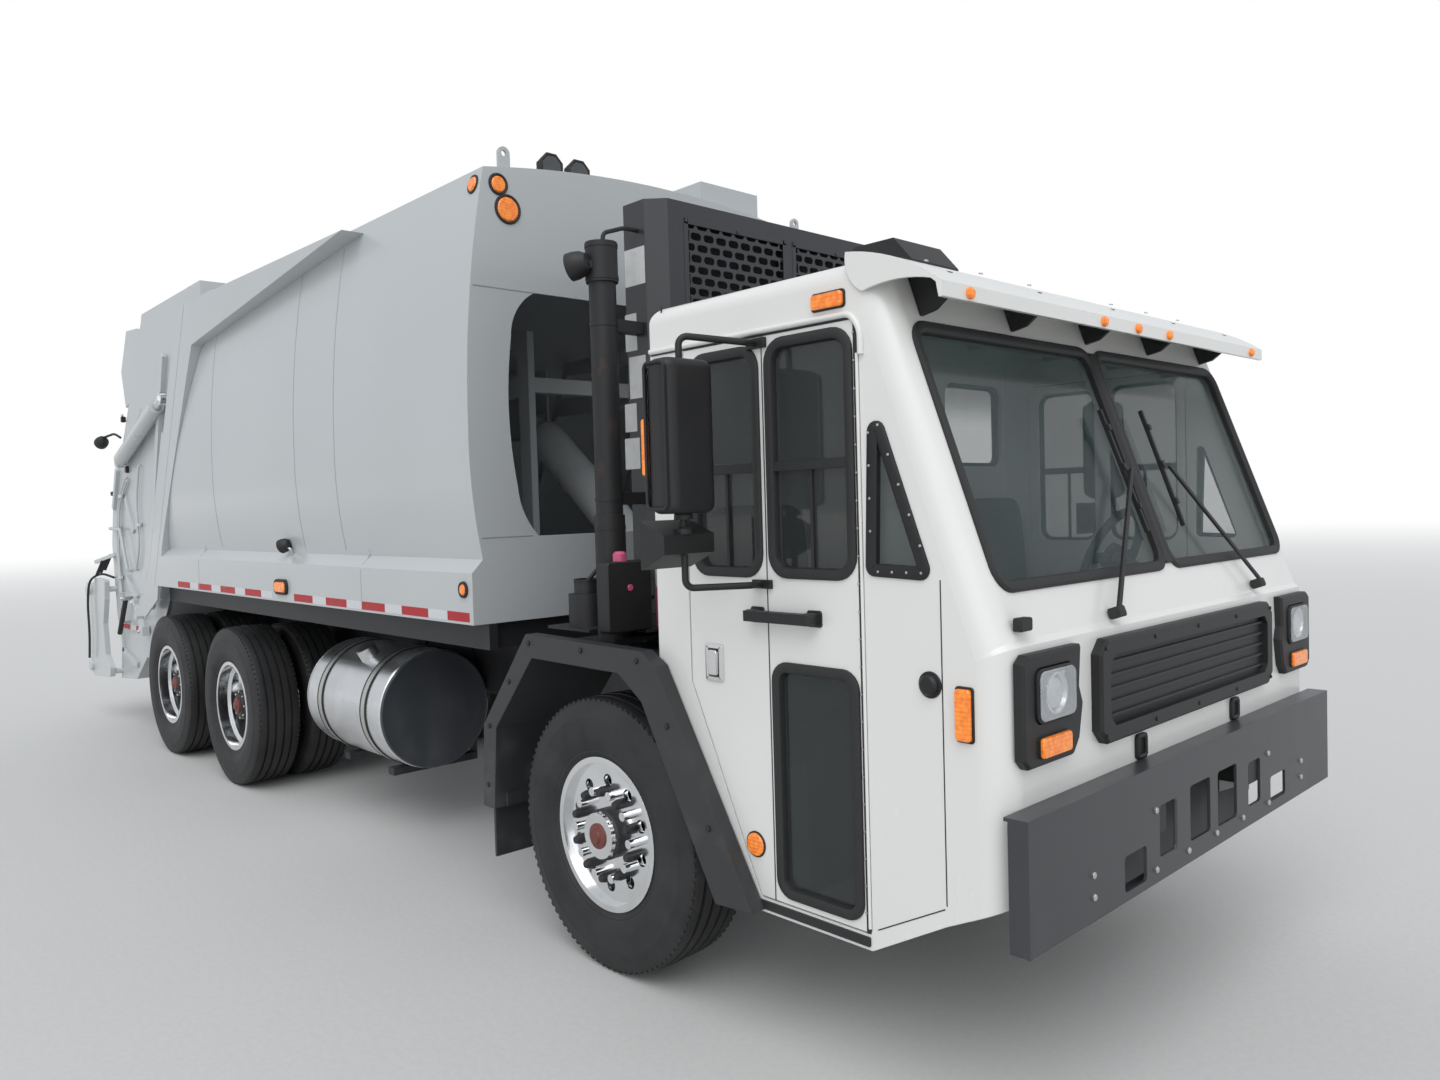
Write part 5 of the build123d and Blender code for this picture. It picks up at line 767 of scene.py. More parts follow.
for name, side in SIDES:
    skin = side_spot(side)
    form = bmesh.new()
    for start, end in (((1.506, 0.655), (1.506, 1.565)), ((1.262, 0.520), (1.500, 0.645))):
        bar(form, skin(*start, 0.0002), skin(*end, 0.0002), 0.0035, 0.0016, Vector((0, side, 0)))
    piece(f"cab_side_seams_{name}", solid(form), strip_rubber.material, "chassis")
    gutter = [skin(0.300, 2.338, 0.004), skin(1.215, 2.338, 0.004), skin(1.250, 2.290, 0.004),
              skin(1.250, 2.215, 0.004)]
    tube_line(f"cab_gutter_{name}", gutter, 0.010, cab_paint, "chassis", 0.04)
    form = bmesh.new()
    bar(form, skin(0.300, 2.326, 0.001), skin(1.230, 2.326, 0.001), 0.006, 0.006, Vector((0, side, 0)))
    bar(form, skin(0.700, 0.476, 0.002), skin(1.235, 0.476, 0.002), 0.028, 0.010, Vector((0, side, 0)))
    piece(f"door_seals_{name}", solid(form), strip_rubber.material, "chassis")
    form = bmesh.new()
    plaque(form, box_outline((1.555, 1.130), (1.601, 1.272), 0.008), skin, -0.002, 0.020, 0.005)
    plaque(form, box_outline((1.070, 2.366), (1.190, 2.410), 0.010), skin, -0.002, 0.018, 0.005)
    piece(f"cab_side_markers_{name}", solid(form), amber.material, "chassis")
    form = bmesh.new()
    plaque(form, box_outline((1.549, 1.124), (1.607, 1.278), 0.010), skin, -0.002, 0.006)
    plaque(form, box_outline((1.064, 2.360), (1.196, 2.416), 0.012), skin, -0.002, 0.005)
    plaque(form, circle((1.466, 1.271), 0.030), skin, -0.002, 0.020, 0.008)
    plaque(form, circle((1.466, 1.271), 0.038), skin, -0.002, 0.005)
    piece(f"cab_side_bezels_{name}", solid(form), black_plastic.material, "chassis")
    quarter = rounded([(1.282, 2.089), (1.262, 1.580), (1.471, 1.572)], 0.020)
    form = bmesh.new()
    moulding(form, quarter, ((-0.012, 0.000), (-0.011, 0.006), (-0.006, 0.009), (0.018, 0.009),
                             (0.026, 0.005),
                             (0.026, -0.014), (0.0, -0.014)), skin)
    piece(f"quarter_window_frame_{name}", solid(form), black_plastic.material, "chassis")
    screws = [skin(1.275, 1.70 + 0.095 * i, 0.009)
              for i in range(4)] + [skin(1.30 + 0.05 * i, 1.583, 0.009) for i in range(4)]
    screws += [skin(1.310 + 0.0345 * i, 2.005 - 0.0865 * i, 0.009) for i in range(5)]
    fasteners(f"quarter_window_screws_{name}", screws, (0, side, 0), 0.0042, 0.003, zinc, "chassis",
              10)

face = front_spot(1.700)
form = bmesh.new()
for half in (-0.380, 0.380):
    moulding(form, box_outline((half - 0.032, 0.958), (half + 0.032, 1.030), 0.012),
             ((-0.004, 0.0), (-0.004, 0.010), (0.004, 0.014), (0.012, 0.010), (0.012, 0.0)), face)
    plaque(form, box_outline((half - 0.026, 0.964), (half + 0.026, 1.024), 0.010), face, 0.0, 0.003)
plaque(form, box_outline((-1.080, 1.425), (-1.020, 1.462), 0.006), front_spot(1.684), -0.004, 0.022, 0.004)
piece("tow_eye_covers", solid(form), black_plastic.material, "chassis")


# Windows: laminated panes bedded in black rubber. The screen is two panes with a rubber-covered post,
# tinted green, with the visor's shade painted in as a darker band along its top; the rear wall has a pane on
# each side.
def pane_finish(name, low_tint, high_tint, clear, visor_shade_band=None):
    """Tinted glass that shows what is behind it, with faint wipe marks in its gloss, and painted shade over a
    band of heights when one is given.
    """
    finish = Finish(name, Coat_Weight=0.3, Coat_Roughness=0.03)
    smear = finish.noise(3.0, 5, (1, 1, 0.4))
    finish.set("Base Color", finish.tint(smear.span(0.3, 0.7), low_tint, high_tint))
    finish.set("Roughness", smear * 0.05 + 0.02)
    veil = smear * 0.08 + (clear - 0.04)
    # Painted shade from the visor: across the band's heights the pane turns more opaque, so its dark tint
    # covers what lies behind.
    if visor_shade_band:
        veil = veil + finish.along("Z").span(*visor_shade_band) * 0.30
    finish.set("Alpha", veil)
    return finish.material


# The last pair bounds the painted visor shade across the top of the screen.
screen_glass = pane_finish("screen_glass", (0.050, 0.085, 0.085), (0.070, 0.11, 0.11), 0.26, (2.12, 2.30))
door_pane = pane_finish("door_glass", (0.030, 0.036, 0.036), (0.045, 0.052, 0.052), 0.62)
dress(screen_glass, "cab_glass")
dress(door_pane, "door_glass_left", "door_glass_right")
gasket_section = ((-0.016, 0.000), (-0.015, 0.007), (-0.008, 0.012), (0.006, 0.012), (0.014, 0.008),
                  (0.018, 0.002),
                  (0.018, -0.016), (-0.002, -0.016))
form = bmesh.new()
for side in (-1, 1):
    low, high = sorted((side * 0.022, side * 1.070))
    moulding(form, box_outline((low, 1.539), (high, 2.293), 0.060), gasket_section, screen_spot)
bar(form, screen_spot(0, 1.545, 0.004), screen_spot(0, 2.290, 0.004), 0.050, 0.014,
    screen_spot(0, 2, 1) - screen_spot(0, 2))
piece("windscreen_rubber", solid(form), strip_rubber.material, "chassis")
form = bmesh.new()
for side in (-1, 1):
    low, high = sorted((side * 0.602, side * 1.088))
    moulding(form, box_outline((low, 1.9405), (high, 2.3355), 0.060), gasket_section,
             lambda half, height, lift: at(0.295 - lift, half, height))
piece("rear_window_rubber", solid(form), strip_rubber.material, "chassis")


# Doors: two leaves on one hinge, each with a slim sliding window in a thick rubber frame. A black grab bar
# spans the leaves, and a chromed paddle latch sits behind it; a round reflector marks the lower corner.
mirror_metal = metal("latch_chrome", (0.80, 0.80, 0.80), 0.16)
frame_section = ((-0.004, 0.000), (-0.003, 0.007), (0.004, 0.011), (0.018, 0.011), (0.028, 0.007),
                 (0.031, 0.0),
                 (0.031, -0.016), (0.0, -0.016))
for name, side in SIDES:
    skin = side_spot(side)
    body = f"cab_door_{name}"
    form = bmesh.new()
    for low, high, radius in (((0.862, 1.554), (1.214, 2.305), 0.075),
                              ((0.862, 0.526), (1.212, 1.281), 0.060),
                              ((0.500, 1.552), (0.828, 2.297), 0.075)):
        moulding(form, box_outline(low, high, radius), frame_section, skin)
    for start, end in ((0.884, 1.192), (0.522, 0.806)):
        bar(form, skin(start, 1.905, -0.002), skin(end, 1.905, -0.002), 0.030, 0.014, Vector((0, side, 0)))
        bar(form, skin((start + end) / 2, 1.575, -0.008), skin((start + end) / 2, 1.905, -0.008), 0.012,
            0.008,
            Vector((0, side, 0)))
    piece(f"door_window_rubber_{name}", solid(form), strip_rubber.material, body)
    form = bmesh.new()
    bar(form, skin(0.845, 0.500, -0.004), skin(0.845, 2.318, -0.004), 0.005, 0.006, Vector((0, side, 0)))
    bar(form, skin(1.2285, 0.500, 0.0005), skin(1.2285, 2.318, 0.0005), 0.016, 0.002, Vector((0, side, 0)))
    piece(f"door_leaf_seal_{name}", solid(form), strip_rubber.material, body)
    pins = [skin(1.2205, 0.56 + 0.082 * i, 0.001) for i in range(22)]
    fasteners(f"door_hinge_screws_{name}", pins, (0, side, 0), 0.004, 0.002, zinc, body, 10)
    form = bmesh.new()
    for station in (0.800, 1.045):
        plaque(form, box_outline((station - 0.019, 1.411), (station + 0.019, 1.449), 0.006), skin, -0.001,
               0.044, 0.004)
        plaque(form, box_outline((station - 0.030, 1.404), (station + 0.030, 1.456), 0.010), skin, -0.001,
               0.006)
    bar(form, skin(0.780, 1.430, 0.040), skin(1.067, 1.430, 0.040), 0.034, 0.032, Vector((0, side, 0)))
    piece(f"door_grab_bar_{name}", solid(form), black_plastic.material, body)
    form = bmesh.new()
    moulding(form, box_outline((0.548, 1.190), (0.634, 1.320), 0.012),
             ((0.0, 0.0), (0.001, 0.008), (0.008, 0.0105), (0.016, 0.0105), (0.018, 0.006), (0.018, 0.0)),
             skin)
    plaque(form, box_outline((0.570, 1.212), (0.612, 1.298), 0.008), skin, 0.0, 0.019, 0.004)
    piece(f"door_latch_{name}", solid(form), mirror_metal, body)
    form = bmesh.new()
    plaque(form, box_outline((0.560, 1.202), (0.622, 1.308), 0.006), skin, -0.001, 0.0075)
    plaque(form, circle((0.763, 0.668), 0.043), skin, -0.002, 0.005)
    piece(f"door_latch_recess_{name}", solid(form), black_plastic.material, body)
    # The reflector takes the amber lens finish, so it glows faintly: a painted glow, with no lamp behind it.
    form = bmesh.new()
    plaque(form, circle((0.763, 0.668), 0.038), skin, -0.001, 0.010, 0.004)
    piece(f"door_reflector_{name}", solid(form), amber.material, body)


# Inside the cab: a moulded dashboard with the steering column and wheel, and seat boxes beside the engine
# cover. Textured grey plastic, darker where hands rub it.
dash_grey = Finish("dashboard_plastic")
rubbed = dash_grey.noise(3.0, 4)
dash_grey.set("Base Color", dash_grey.tint(rubbed.span(0.3, 0.7), (0.050, 0.050, 0.052),
                                           (0.085, 0.085, 0.088)))
dash_grey.set("Roughness", rubbed * 0.2 + 0.5)
dash_grey.bump(dash_grey.node("ShaderNodeTexVoronoi", {"Vector": dash_grey.place, "Scale": 380.0}), 0.0006,
               0.4, 0.004)
dress(dash_grey.material, "dashboard", "seat_boxes")


# Seats: foam cushions and backs in woven grey cloth, crowned between sewn edges, with a welt round the
# sides and a channel across the lumbar. Each stands on its own box beside the engine cover.
cloth = Finish("seat_cloth", Roughness=0.92, Sheen_Weight=0.25)
warp = cloth.node("ShaderNodeTexWave", {"Vector": cloth.place, "Scale": 180.0}, bands_direction="Y")
weft = cloth.node("ShaderNodeTexWave", {"Vector": cloth.place, "Scale": 180.0}, bands_direction="DIAGONAL")
faded = cloth.noise(5.0, 4)
weave = warp * 0.5 + weft * 0.5
cloth.set("Base Color", cloth.tint(weave * 0.5 + faded * 0.5, (0.045, 0.047, 0.052), (0.120, 0.122, 0.130)))
cloth.bump(weave, 0.0008, 0.6)


def cushion(name, middle, size, lean, crown):
    """Crowned pad: a box of many facets, swollen between its edges, pulled in at corners and seams."""
    form = bmesh.new()
    bmesh.ops.create_cube(form, size=1)
    bmesh.ops.subdivide_edges(form, edges=form.edges, cuts=11, use_grid_fill=True)
    tilt = Matrix.Rotation(lean, 3, "Y")
    for vert in form.verts:
        u, v, w = (2 * part for part in vert.co)
        waist = 1 - 0.10 * (abs(u) ** 6) * (abs(v) ** 6)
        push = Vector((u * size[0] / 2 * waist, v * size[1] / 2 * waist, w * size[2] / 2))
        face_pull = (1 - abs(u) ** 3) * (1 - abs(v) ** 3)
        push.z += math.copysign(crown * face_pull, w) * (abs(w) > 0.99)
        push.x += math.copysign(crown * 0.4 * (1 - abs(v) ** 3) * (1 - w ** 2), u) * (abs(u) > 0.99)
        push.y += math.copysign(crown * 0.4 * (1 - abs(u) ** 3) * (1 - w ** 2), v) * (abs(v) > 0.99)
        channel = max(math.exp(-((v - s) / 0.06) ** 2) for s in (-0.42, 0.42)) * (w > 0.9) * (abs(u) < 0.93)
        push.z -= 0.006 * channel
        vert.co = middle + tilt @ push
    mesh = solid(form)
    made = piece(name, mesh, cloth.material, "chassis")
    smooth = made.modifiers.new("soft_edges", "SUBSURF")
    smooth.levels = smooth.render_levels = 1
    return made


seat_pads = []
for name, side in SIDES:
    half = side * 0.790
    seat_pads.append(cushion(f"seat_cushion_{name}", at(0.700, half, 1.152), Vector((0.44, 0.45, 0.105)),
                             0.0, 0.012))
    seat_pads.append(cushion(f"seat_back_{name}", at(0.462, half, 1.480), Vector((0.60, 0.44, 0.090)),
                             1.482, 0.012))
for pad in seat_pads:
    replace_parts(pad, "seats")


# Sun visor: a rolled aluminium sheet with closed ends, sprayed like the cab, on five black steel brackets
# and with five small amber marker lamps let into its lip.
dress(cab_paint, "sun_visor")
bracket = ((1.350, 2.326), (1.402, 2.337), (1.473, 2.389), (1.455, 2.437), (1.407, 2.452), (1.312, 2.478),
           (1.301, 2.470))
form = bmesh.new()
for half in (-1.000, -0.500, 0.0, 0.500, 1.000):
    rows = [[form.verts.new(at(station, half + out, height)) for station, height in bracket]
            for out in (-0.0075, 0.0075)]
    form.faces.new(rows[0])
    form.faces.new(rows[1])
    for i in range(len(bracket)):
        j = (i + 1) % len(bracket)
        form.faces.new((rows[0][i], rows[0][j], rows[1][j], rows[1][i]))
piece("visor_brackets", solid(form), black_plastic.material, "chassis", smooth=False)
fasteners("visor_lamps", [at(1.541, half, 2.356) for half in (-1.04, -0.25, 0, 0.25, 1.04)], (1, 0, 0.1),
          0.017, 0.013, amber.material, "chassis", 24, 0.62)
fasteners("visor_screws", [at(1.300, half, 2.509) for half in (-0.9, -0.6, -0.3, 0.3, 0.6, 0.9)],
          (0.25, 0, 1),
          0.007, 0.005, zinc, "chassis", 12)


# Grille: one moulded black surround screwed to the cab's face, its middle left bare.
dress(black_plastic.material, "grille", "headlamps", "roof_box", "mirror_left", "mirror_right")
grille_screws = [at(1.7342, half, height) for half in (-0.66, -0.33, 0, 0.33, 0.66)
                 for height in (1.075, 1.337)]
fasteners("grille_screws", grille_screws, (1, 0, 0), 0.007, 0.004, black_plastic.material, "chassis",
          12)


# Headlamps: a projector behind a clear lens in a black bezel, over a fluted amber turn signal.
lens_glass = Finish("headlamp_lens", Coat_Weight=0.5, Coat_Roughness=0.02)
haze = lens_glass.noise(9.0, 3)
lens_glass.set("Base Color", lens_glass.tint(haze.span(0.3, 0.7), (0.66, 0.70, 0.72), (0.78, 0.81, 0.83)))
lens_glass.set("Roughness", haze * 0.05 + 0.03)
lens_glass.set("Alpha", haze * 0.1 + 0.28)
reflector = metal("lamp_reflector", (0.86, 0.87, 0.88), 0.08)


def dome(form, centre, radius, depth, steps=40, rings=7):
    """Round lens or bowl that looks forward; a negative depth makes it hollow."""
    rows = []
    for ring in range(rings + 1):
        turn = math.pi / 2 * ring / rings
        reach, out = radius * math.cos(turn), depth * math.sin(turn)
        count = 1 if ring == rings else steps
        rows.append([form.verts.new(centre + Vector((out, reach * math.cos(math.tau * i / steps),
                                                     reach * math.sin(math.tau * i / steps))))
                     for i in range(count)])
    base = form.verts.new(centre - Vector((0.002, 0, 0)))
    for i in range(steps):
        form.faces.new((base, rows[0][(i + 1) % steps], rows[0][i]))
        for first, last in zip(rows, rows[1:]):
            corners = [first[i], first[(i + 1) % steps], last[(i + 1) % len(last)], last[i % len(last)]]
            form.faces.new(list(dict.fromkeys(corners)))


for name, side in SIDES:
    half = side * 0.958
    form = bmesh.new()
    moulding(form, box_outline((half - 0.100, 1.176), (half + 0.100, 1.324), 0.028),
             ((0.0, 0.0), (0.0, 0.006), (0.006, 0.009), (0.016, 0.006), (0.024, -0.010), (0.0, -0.012)),
             front_spot(1.7303))
    plaque(form, box_outline((half - 0.099, 1.177), (half + 0.099, 1.323), 0.028), front_spot(1.7123),
           -0.001, 0.004)
    moulding(form, circle((half, 1.250), 0.070, 40),
             ((0.0, 0.0), (0.0, 0.012), (0.008, 0.014), (0.012, 0.0)),
             front_spot(1.7155))
    piece(f"headlamp_bezel_{name}", solid(form), black_plastic.material, "chassis")
    form = bmesh.new()
    for spot, radius in (((half, 1.250), 0.044), ((half + side * 0.076, 1.296), 0.016),
                         ((half - side * 0.076, 1.296), 0.016),
                         ((half + side * 0.076, 1.205), 0.016), ((half - side * 0.076, 1.205), 0.016)):
        dome(form, at(1.7295 if radius > 0.02 else 1.7165, *spot), radius, 0.012 if radius > 0.02
             else 0.008, 28, 5)
    moulding(form, circle((half, 1.250), 0.058, 40),
             ((0.0, 0.0), (0.0, 0.012), (0.006, 0.013), (0.012, 0.002)),
             front_spot(1.7275))
    piece(f"headlamp_optics_{name}", solid(form), reflector, "chassis")
    form = bmesh.new()
    plaque(form, box_outline((half - 0.094, 1.182), (half + 0.094, 1.318), 0.024), front_spot(1.7415), 0.0,
           0.006, 0.003)
    piece(f"headlamp_lens_{name}", solid(form), lens_glass.material, "chassis")
    low, high = sorted((side * 0.966 - 0.079, side * 0.966 + 0.079))
    form = bmesh.new()
    plaque(form, box_outline((low, 1.083), (high, 1.137), 0.010), front_spot(1.736), 0.0, 0.010, 0.004)
    piece(f"turn_signal_{name}", solid(form), amber.material, "chassis")


# Tow crossmember: a dark plate welded between the frame horns, seen through the bumper's slots.
form = bmesh.new()
plaque(form, rounded([(-0.600, 0.440), (0.640, 0.440), (0.720, 0.580), (0.800, 0.580), (0.800, 0.930),
                      (-0.600, 0.930)],
                     0.020), front_spot(1.596), 0.0, 0.006, 0.002)
piece("tow_crossmember", solid(form), frame_paint, "chassis", smooth=False)


# Wipers: a pressed arm from each pivot at the waist, with a hooked blade whose rubber lies along the pane.
wiper_ends = (((-0.526, 1.431), (-0.072, 1.871), (-0.131, 2.071), (-0.110, 1.650)),
              ((0.631, 1.435), (0.222, 1.877), (0.191, 2.081), (0.189, 1.660)))
form = bmesh.new()
off = screen_spot(0, 2, 1) - screen_spot(0, 2)
for pivot, head, high, low in wiper_ends:
    middle = [(high[i] + low[i]) / 2 for i in (0, 1)]
    bar(form, screen_spot(*pivot, 0.040), screen_spot(*head, 0.034), 0.016, 0.009, off)
    bar(form, screen_spot(*head, 0.034), screen_spot(*middle, 0.030), 0.012, 0.008, off)
    bar(form, screen_spot(pivot[0], pivot[1] - 0.012, 0.004),
        screen_spot(pivot[0], pivot[1] - 0.012, 0.052), 0.034, 0.034,
        Vector((0, 1, 0)))
    bar(form, screen_spot(*high, 0.024), screen_spot(*low, 0.024), 0.012, 0.008, off)
    bar(form, screen_spot(*high, 0.017), screen_spot(*low, 0.017), 0.005, 0.009, off)
    for share in (0.18, 0.5, 0.82):
        spot = [low[i] + (high[i] - low[i]) * share for i in (0, 1)]
        near = [low[i] + (high[i] - low[i]) * (share + 0.05) for i in (0, 1)]
        bar(form, screen_spot(*spot, 0.030), screen_spot(*near, 0.030), 0.018, 0.010, off)
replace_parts(piece("wiper_arms_and_blades", solid(form), strip_rubber.material, "chassis",
                  smooth=False),
            "wipers")


# Mirrors: black moulded heads on a bent tube clamped to the door, flat glass facing back in the tall head
# and convex glass in the small one, and an amber strip lamp on the outer edge.
mirror_glass = metal("mirror_glass", (0.82, 0.86, 0.88), 0.05, wear=0.05)
for name, side in SIDES:
    body = f"cab_door_{name}"
    form = bmesh.new()
    back_spot = lambda half, height, lift: at(0.665 - lift, half, height)
    middle = side * 1.400
    plaque(form, box_outline((middle - 0.088, 1.790), (middle + 0.088, 2.220), 0.030), back_spot, -0.002,
           0.003, 0.001)
    piece(f"mirror_glass_{name}", solid(form), mirror_glass, body)
    form = bmesh.new()
    moulding(form, box_outline((middle - 0.098, 1.780), (middle + 0.098, 2.230), 0.036),
             ((0.0, -0.002), (0.0, 0.004), (0.004, 0.007), (0.010, 0.004), (0.010, -0.002)), back_spot)
    for height in (1.745, 1.700):
        plaque(form, circle((0.720, middle), 0.030, 28),
               lambda x, y, lift, height=height: at(x, y, height + lift), 0.0, 0.022, 0.005)
    moulding(form, box_outline((0.672, 1.778), (0.770, 2.232), 0.020),
             ((-0.002, -0.004), (-0.002, 0.004), (0.003, 0.006), (0.008, 0.003), (0.008, -0.004)),
             lambda x, z, lift: at(x, middle + side * (0.105 + lift), z))
    piece(f"mirror_trim_{name}", solid(form), black_plastic.material, body)
    form = bmesh.new()
    plaque(form, box_outline((0.668, 1.885), (0.682, 2.060), 0.005),
           lambda x, z, lift: at(x - 0.010, middle + side * (0.098 + lift), z), -0.004, 0.012, 0.003)
    piece(f"mirror_lamp_{name}", solid(form), amber.material, body)
whip = [at(0.345, -1.145, 2.350), at(0.345, -1.145, 2.465), at(0.347, -1.146, 2.495)]
tube_line("aerial", whip, 0.003, black_plastic.material, "chassis")


# Fenders: thermoformed grey-black arches bolted to brackets on the frame, with a flared lip that follows
# the cab's cut-away corner, and a flap behind each wheel.
fender_plastic = Finish("fender_plastic")
scuff = fender_plastic.noise(6.0, 5)
fender_dust = scuff.span(0.45, 0.75) * (1 - fender_plastic.along("Z").span(0.4, 1.3))
fender_plastic.set("Base Color",
                   fender_plastic.tint(fender_dust * 0.5, (0.030, 0.032, 0.035), (0.11, 0.11, 0.105)))
fender_plastic.set("Roughness", scuff * 0.2 + 0.38)
fender_plastic.bump(fender_plastic.noise(300.0, 3), 0.0004, 0.5, 0.006)
dress(fender_plastic.material, "fenders")
for name, side in SIDES:
    lip = [(-0.815, 0.60), (-0.790, 0.86), (-0.62, 1.07), (-0.46, 1.245), (-0.10, 1.245), (0.24, 1.235),
           (0.40, 1.02),
           (0.60, 0.70)]
    fasteners(f"fender_bolts_{name}", [at(x, side * 1.2252, z) for x, z in lip], (0, side, 0), 0.011, 0.006,
              black_plastic.material, "chassis", 12)
    form = bmesh.new()
    for fold in ((-0.770, 0.858), (-0.480, 1.200)):
        bar(form, at(fold[0], side * 1.10, fold[1]), at(fold[0], side * 1.2255, fold[1]), 0.010, 0.008,
            Vector((0, 0, 1)))
    piece(f"fender_ribs_{name}", solid(form), fender_plastic.material, "chassis")


# Cooling module: a tall sprayed steel case behind the cab. Its front is two perforated sheets with rows of
# oblong holes, each held by a flat frame, and the finned core shows dark behind them.
module_paint = painted("module_paint", (0.030, 0.032, 0.036), gloss=0.38, dust=0.2, coat=0.15)
dress(module_paint, "cooling_module")


def perforated_tree(material):
    """Sets a cell of sheet with an oblong hole on every point, and joins the cells to one closed plate."""
    tree = bpy.data.node_groups.new("perforated_sheet", "GeometryNodeTree")
    tree.interface.new_socket("Geometry", in_out="INPUT", socket_type="NodeSocketGeometry")
    keys = {}
    for name, value in (("Pitch Along", 0.0735), ("Pitch Up", 0.0459), ("Hole Length", 0.060),
                        ("Hole Height", 0.031),
                        ("Sheet", 0.003)):
        keys[name] = input_socket(tree, name, "NodeSocketFloat", value)
    tree.interface.new_socket("Geometry", in_out="OUTPUT", socket_type="NodeSocketGeometry")
    add, link = tree.nodes.new, tree.links.new
    ends = add("NodeGroupInput")
    edge = add("GeometryNodeCurvePrimitiveQuadrilateral")
    hole = add("GeometryNodeCurvePrimitiveQuadrilateral")
    link(ends.outputs["Pitch Along"], edge.inputs["Width"])
    link(ends.outputs["Pitch Up"], edge.inputs["Height"])
    link(ends.outputs["Hole Length"], hole.inputs["Width"])
    link(ends.outputs["Hole Height"], hole.inputs["Height"])
    halves = add("GeometryNodeSubdivideCurve")
    link(edge.outputs[0], halves.inputs["Curve"])
    end_radius = add("ShaderNodeMath")
    end_radius.operation = "MULTIPLY"
    end_radius.inputs[1].default_value = 0.48
    link(ends.outputs["Hole Height"], end_radius.inputs[0])
    oblong = add("GeometryNodeFilletCurve")
    if "Mode" in oblong.inputs:
        oblong.inputs["Mode"].default_value = "Poly"
    else:
        oblong.mode = "POLY"
    oblong.inputs["Count"].default_value = 4
    link(hole.outputs[0], oblong.inputs["Curve"])
    link(end_radius.outputs[0], oblong.inputs["Radius"])
    both = add("GeometryNodeJoinGeometry")
    link(halves.outputs[0], both.inputs[0])
    link(oblong.outputs[0], both.inputs[0])
    cell = add("GeometryNodeFillCurve")
    link(both.outputs[0], cell.inputs["Curve"])
    stand = add("FunctionNodeEulerToRotation")
    stand.inputs[0].default_value = (math.pi / 2, 0, math.pi / 2)
    spread = add("GeometryNodeInstanceOnPoints")
    link(ends.outputs["Geometry"], spread.inputs["Points"])
    link(cell.outputs[0], spread.inputs["Instance"])
    link(stand.outputs[0], spread.inputs["Rotation"])
    real = add("GeometryNodeRealizeInstances")
    link(spread.outputs[0], real.inputs[0])
    flat = add("GeometryNodeMergeByDistance")
    flat.inputs["Distance"].default_value = 0.0004
    link(real.outputs[0], flat.inputs["Geometry"])
    thick = add("GeometryNodeExtrudeMesh")
    thick.inputs["Individual"].default_value = False
    link(flat.outputs[0], thick.inputs["Mesh"])
    link(ends.outputs["Sheet"], thick.inputs["Offset Scale"])
    back = add("GeometryNodeFlipFaces")
    link(flat.outputs[0], back.inputs["Mesh"])
    plate = add("GeometryNodeJoinGeometry")
    link(thick.outputs["Mesh"], plate.inputs[0])
    link(back.outputs[0], plate.inputs[0])
    closed = add("GeometryNodeMergeByDistance")
    closed.inputs["Distance"].default_value = 0.0002
    link(plate.outputs[0], closed.inputs["Geometry"])
    coat = add("GeometryNodeSetMaterial")
    coat.inputs["Material"].default_value = material
    out = add("NodeGroupOutput")
    link(closed.outputs[0], coat.inputs["Geometry"])
    link(coat.outputs[0], out.inputs[0])
    return tree, keys


core = Finish("radiator_core", Metallic=0.6)
fins = core.node("ShaderNodeTexWave", {"Vector": core.place, "Scale": 60.0, "Distortion": 0.0},
                 bands_direction="Z")
grime = core.noise(5.0, 5)
core.set("Base Color", core.tint(fins * 0.6 + grime * 0.4, (0.005, 0.005, 0.006), (0.035, 0.036, 0.038)))
core.set("Roughness", grime * 0.3 + 0.35)
core.bump(fins, 0.002, 0.7)
for name, side in SIDES:
    centres = []
    for row in range(28):
        for column in range(8):
            out = 0.024 + 0.0735 * (column + 0.5) + (0.03675 if row % 2 else 0.0)
            centres.append(tuple(at(-0.0855, side * out, 1.700 + 0.0459 * (row + 0.5))))
    points = bpy.data.meshes.new(f"module_mesh_{name}")
    points.from_pydata(centres, [], [])
    tree, keys = perforated_tree(module_paint)
    grow(f"module_mesh_{name}", points, tree, {keys["Sheet"]: 0.0025}, "chassis")
    low, high = sorted((side * 0.019, side * 0.646))
    form = bmesh.new()
    moulding(form, box_outline((low, 1.699), (high, 2.986), 0.004),
             ((0.0, -0.004), (0.0, 0.0025), (0.024, 0.0025), (0.024, -0.002)), front_spot(-0.0808))
    piece(f"module_mesh_frame_{name}", solid(form), module_paint, "chassis", smooth=False)
    low, high = sorted((side * 0.028, side * 0.636))
    form = bmesh.new()
    plaque(form, box_outline((low, 1.708), (high, 2.976), 0.004), front_spot(-0.1399), 0.0, 0.024, 0.003)
    piece(f"radiator_core_{name}", solid(form), core.material, "chassis")
screws = [at(-0.0780, side * half, height) for side in (-1, 1) for half in (0.031, 0.330, 0.634)
          for height in (1.712, 2.343, 2.974)]
fasteners("module_screws", screws, (1, 0, 0), 0.008, 0.004, module_paint, "chassis", 12)


def skin_of(node, start, way):
    """Place and outward direction where a ray first meets a CAD node, both in the frame."""
    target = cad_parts[node]
    turn = target.matrix_world.inverted()
    hit, spot, normal, _ = target.ray_cast(turn @ start, (turn.to_3x3() @ way).normalized())
    return (target.matrix_world @ spot,
            (target.matrix_world.to_3x3() @ normal).normalized()) if hit else (None, None)


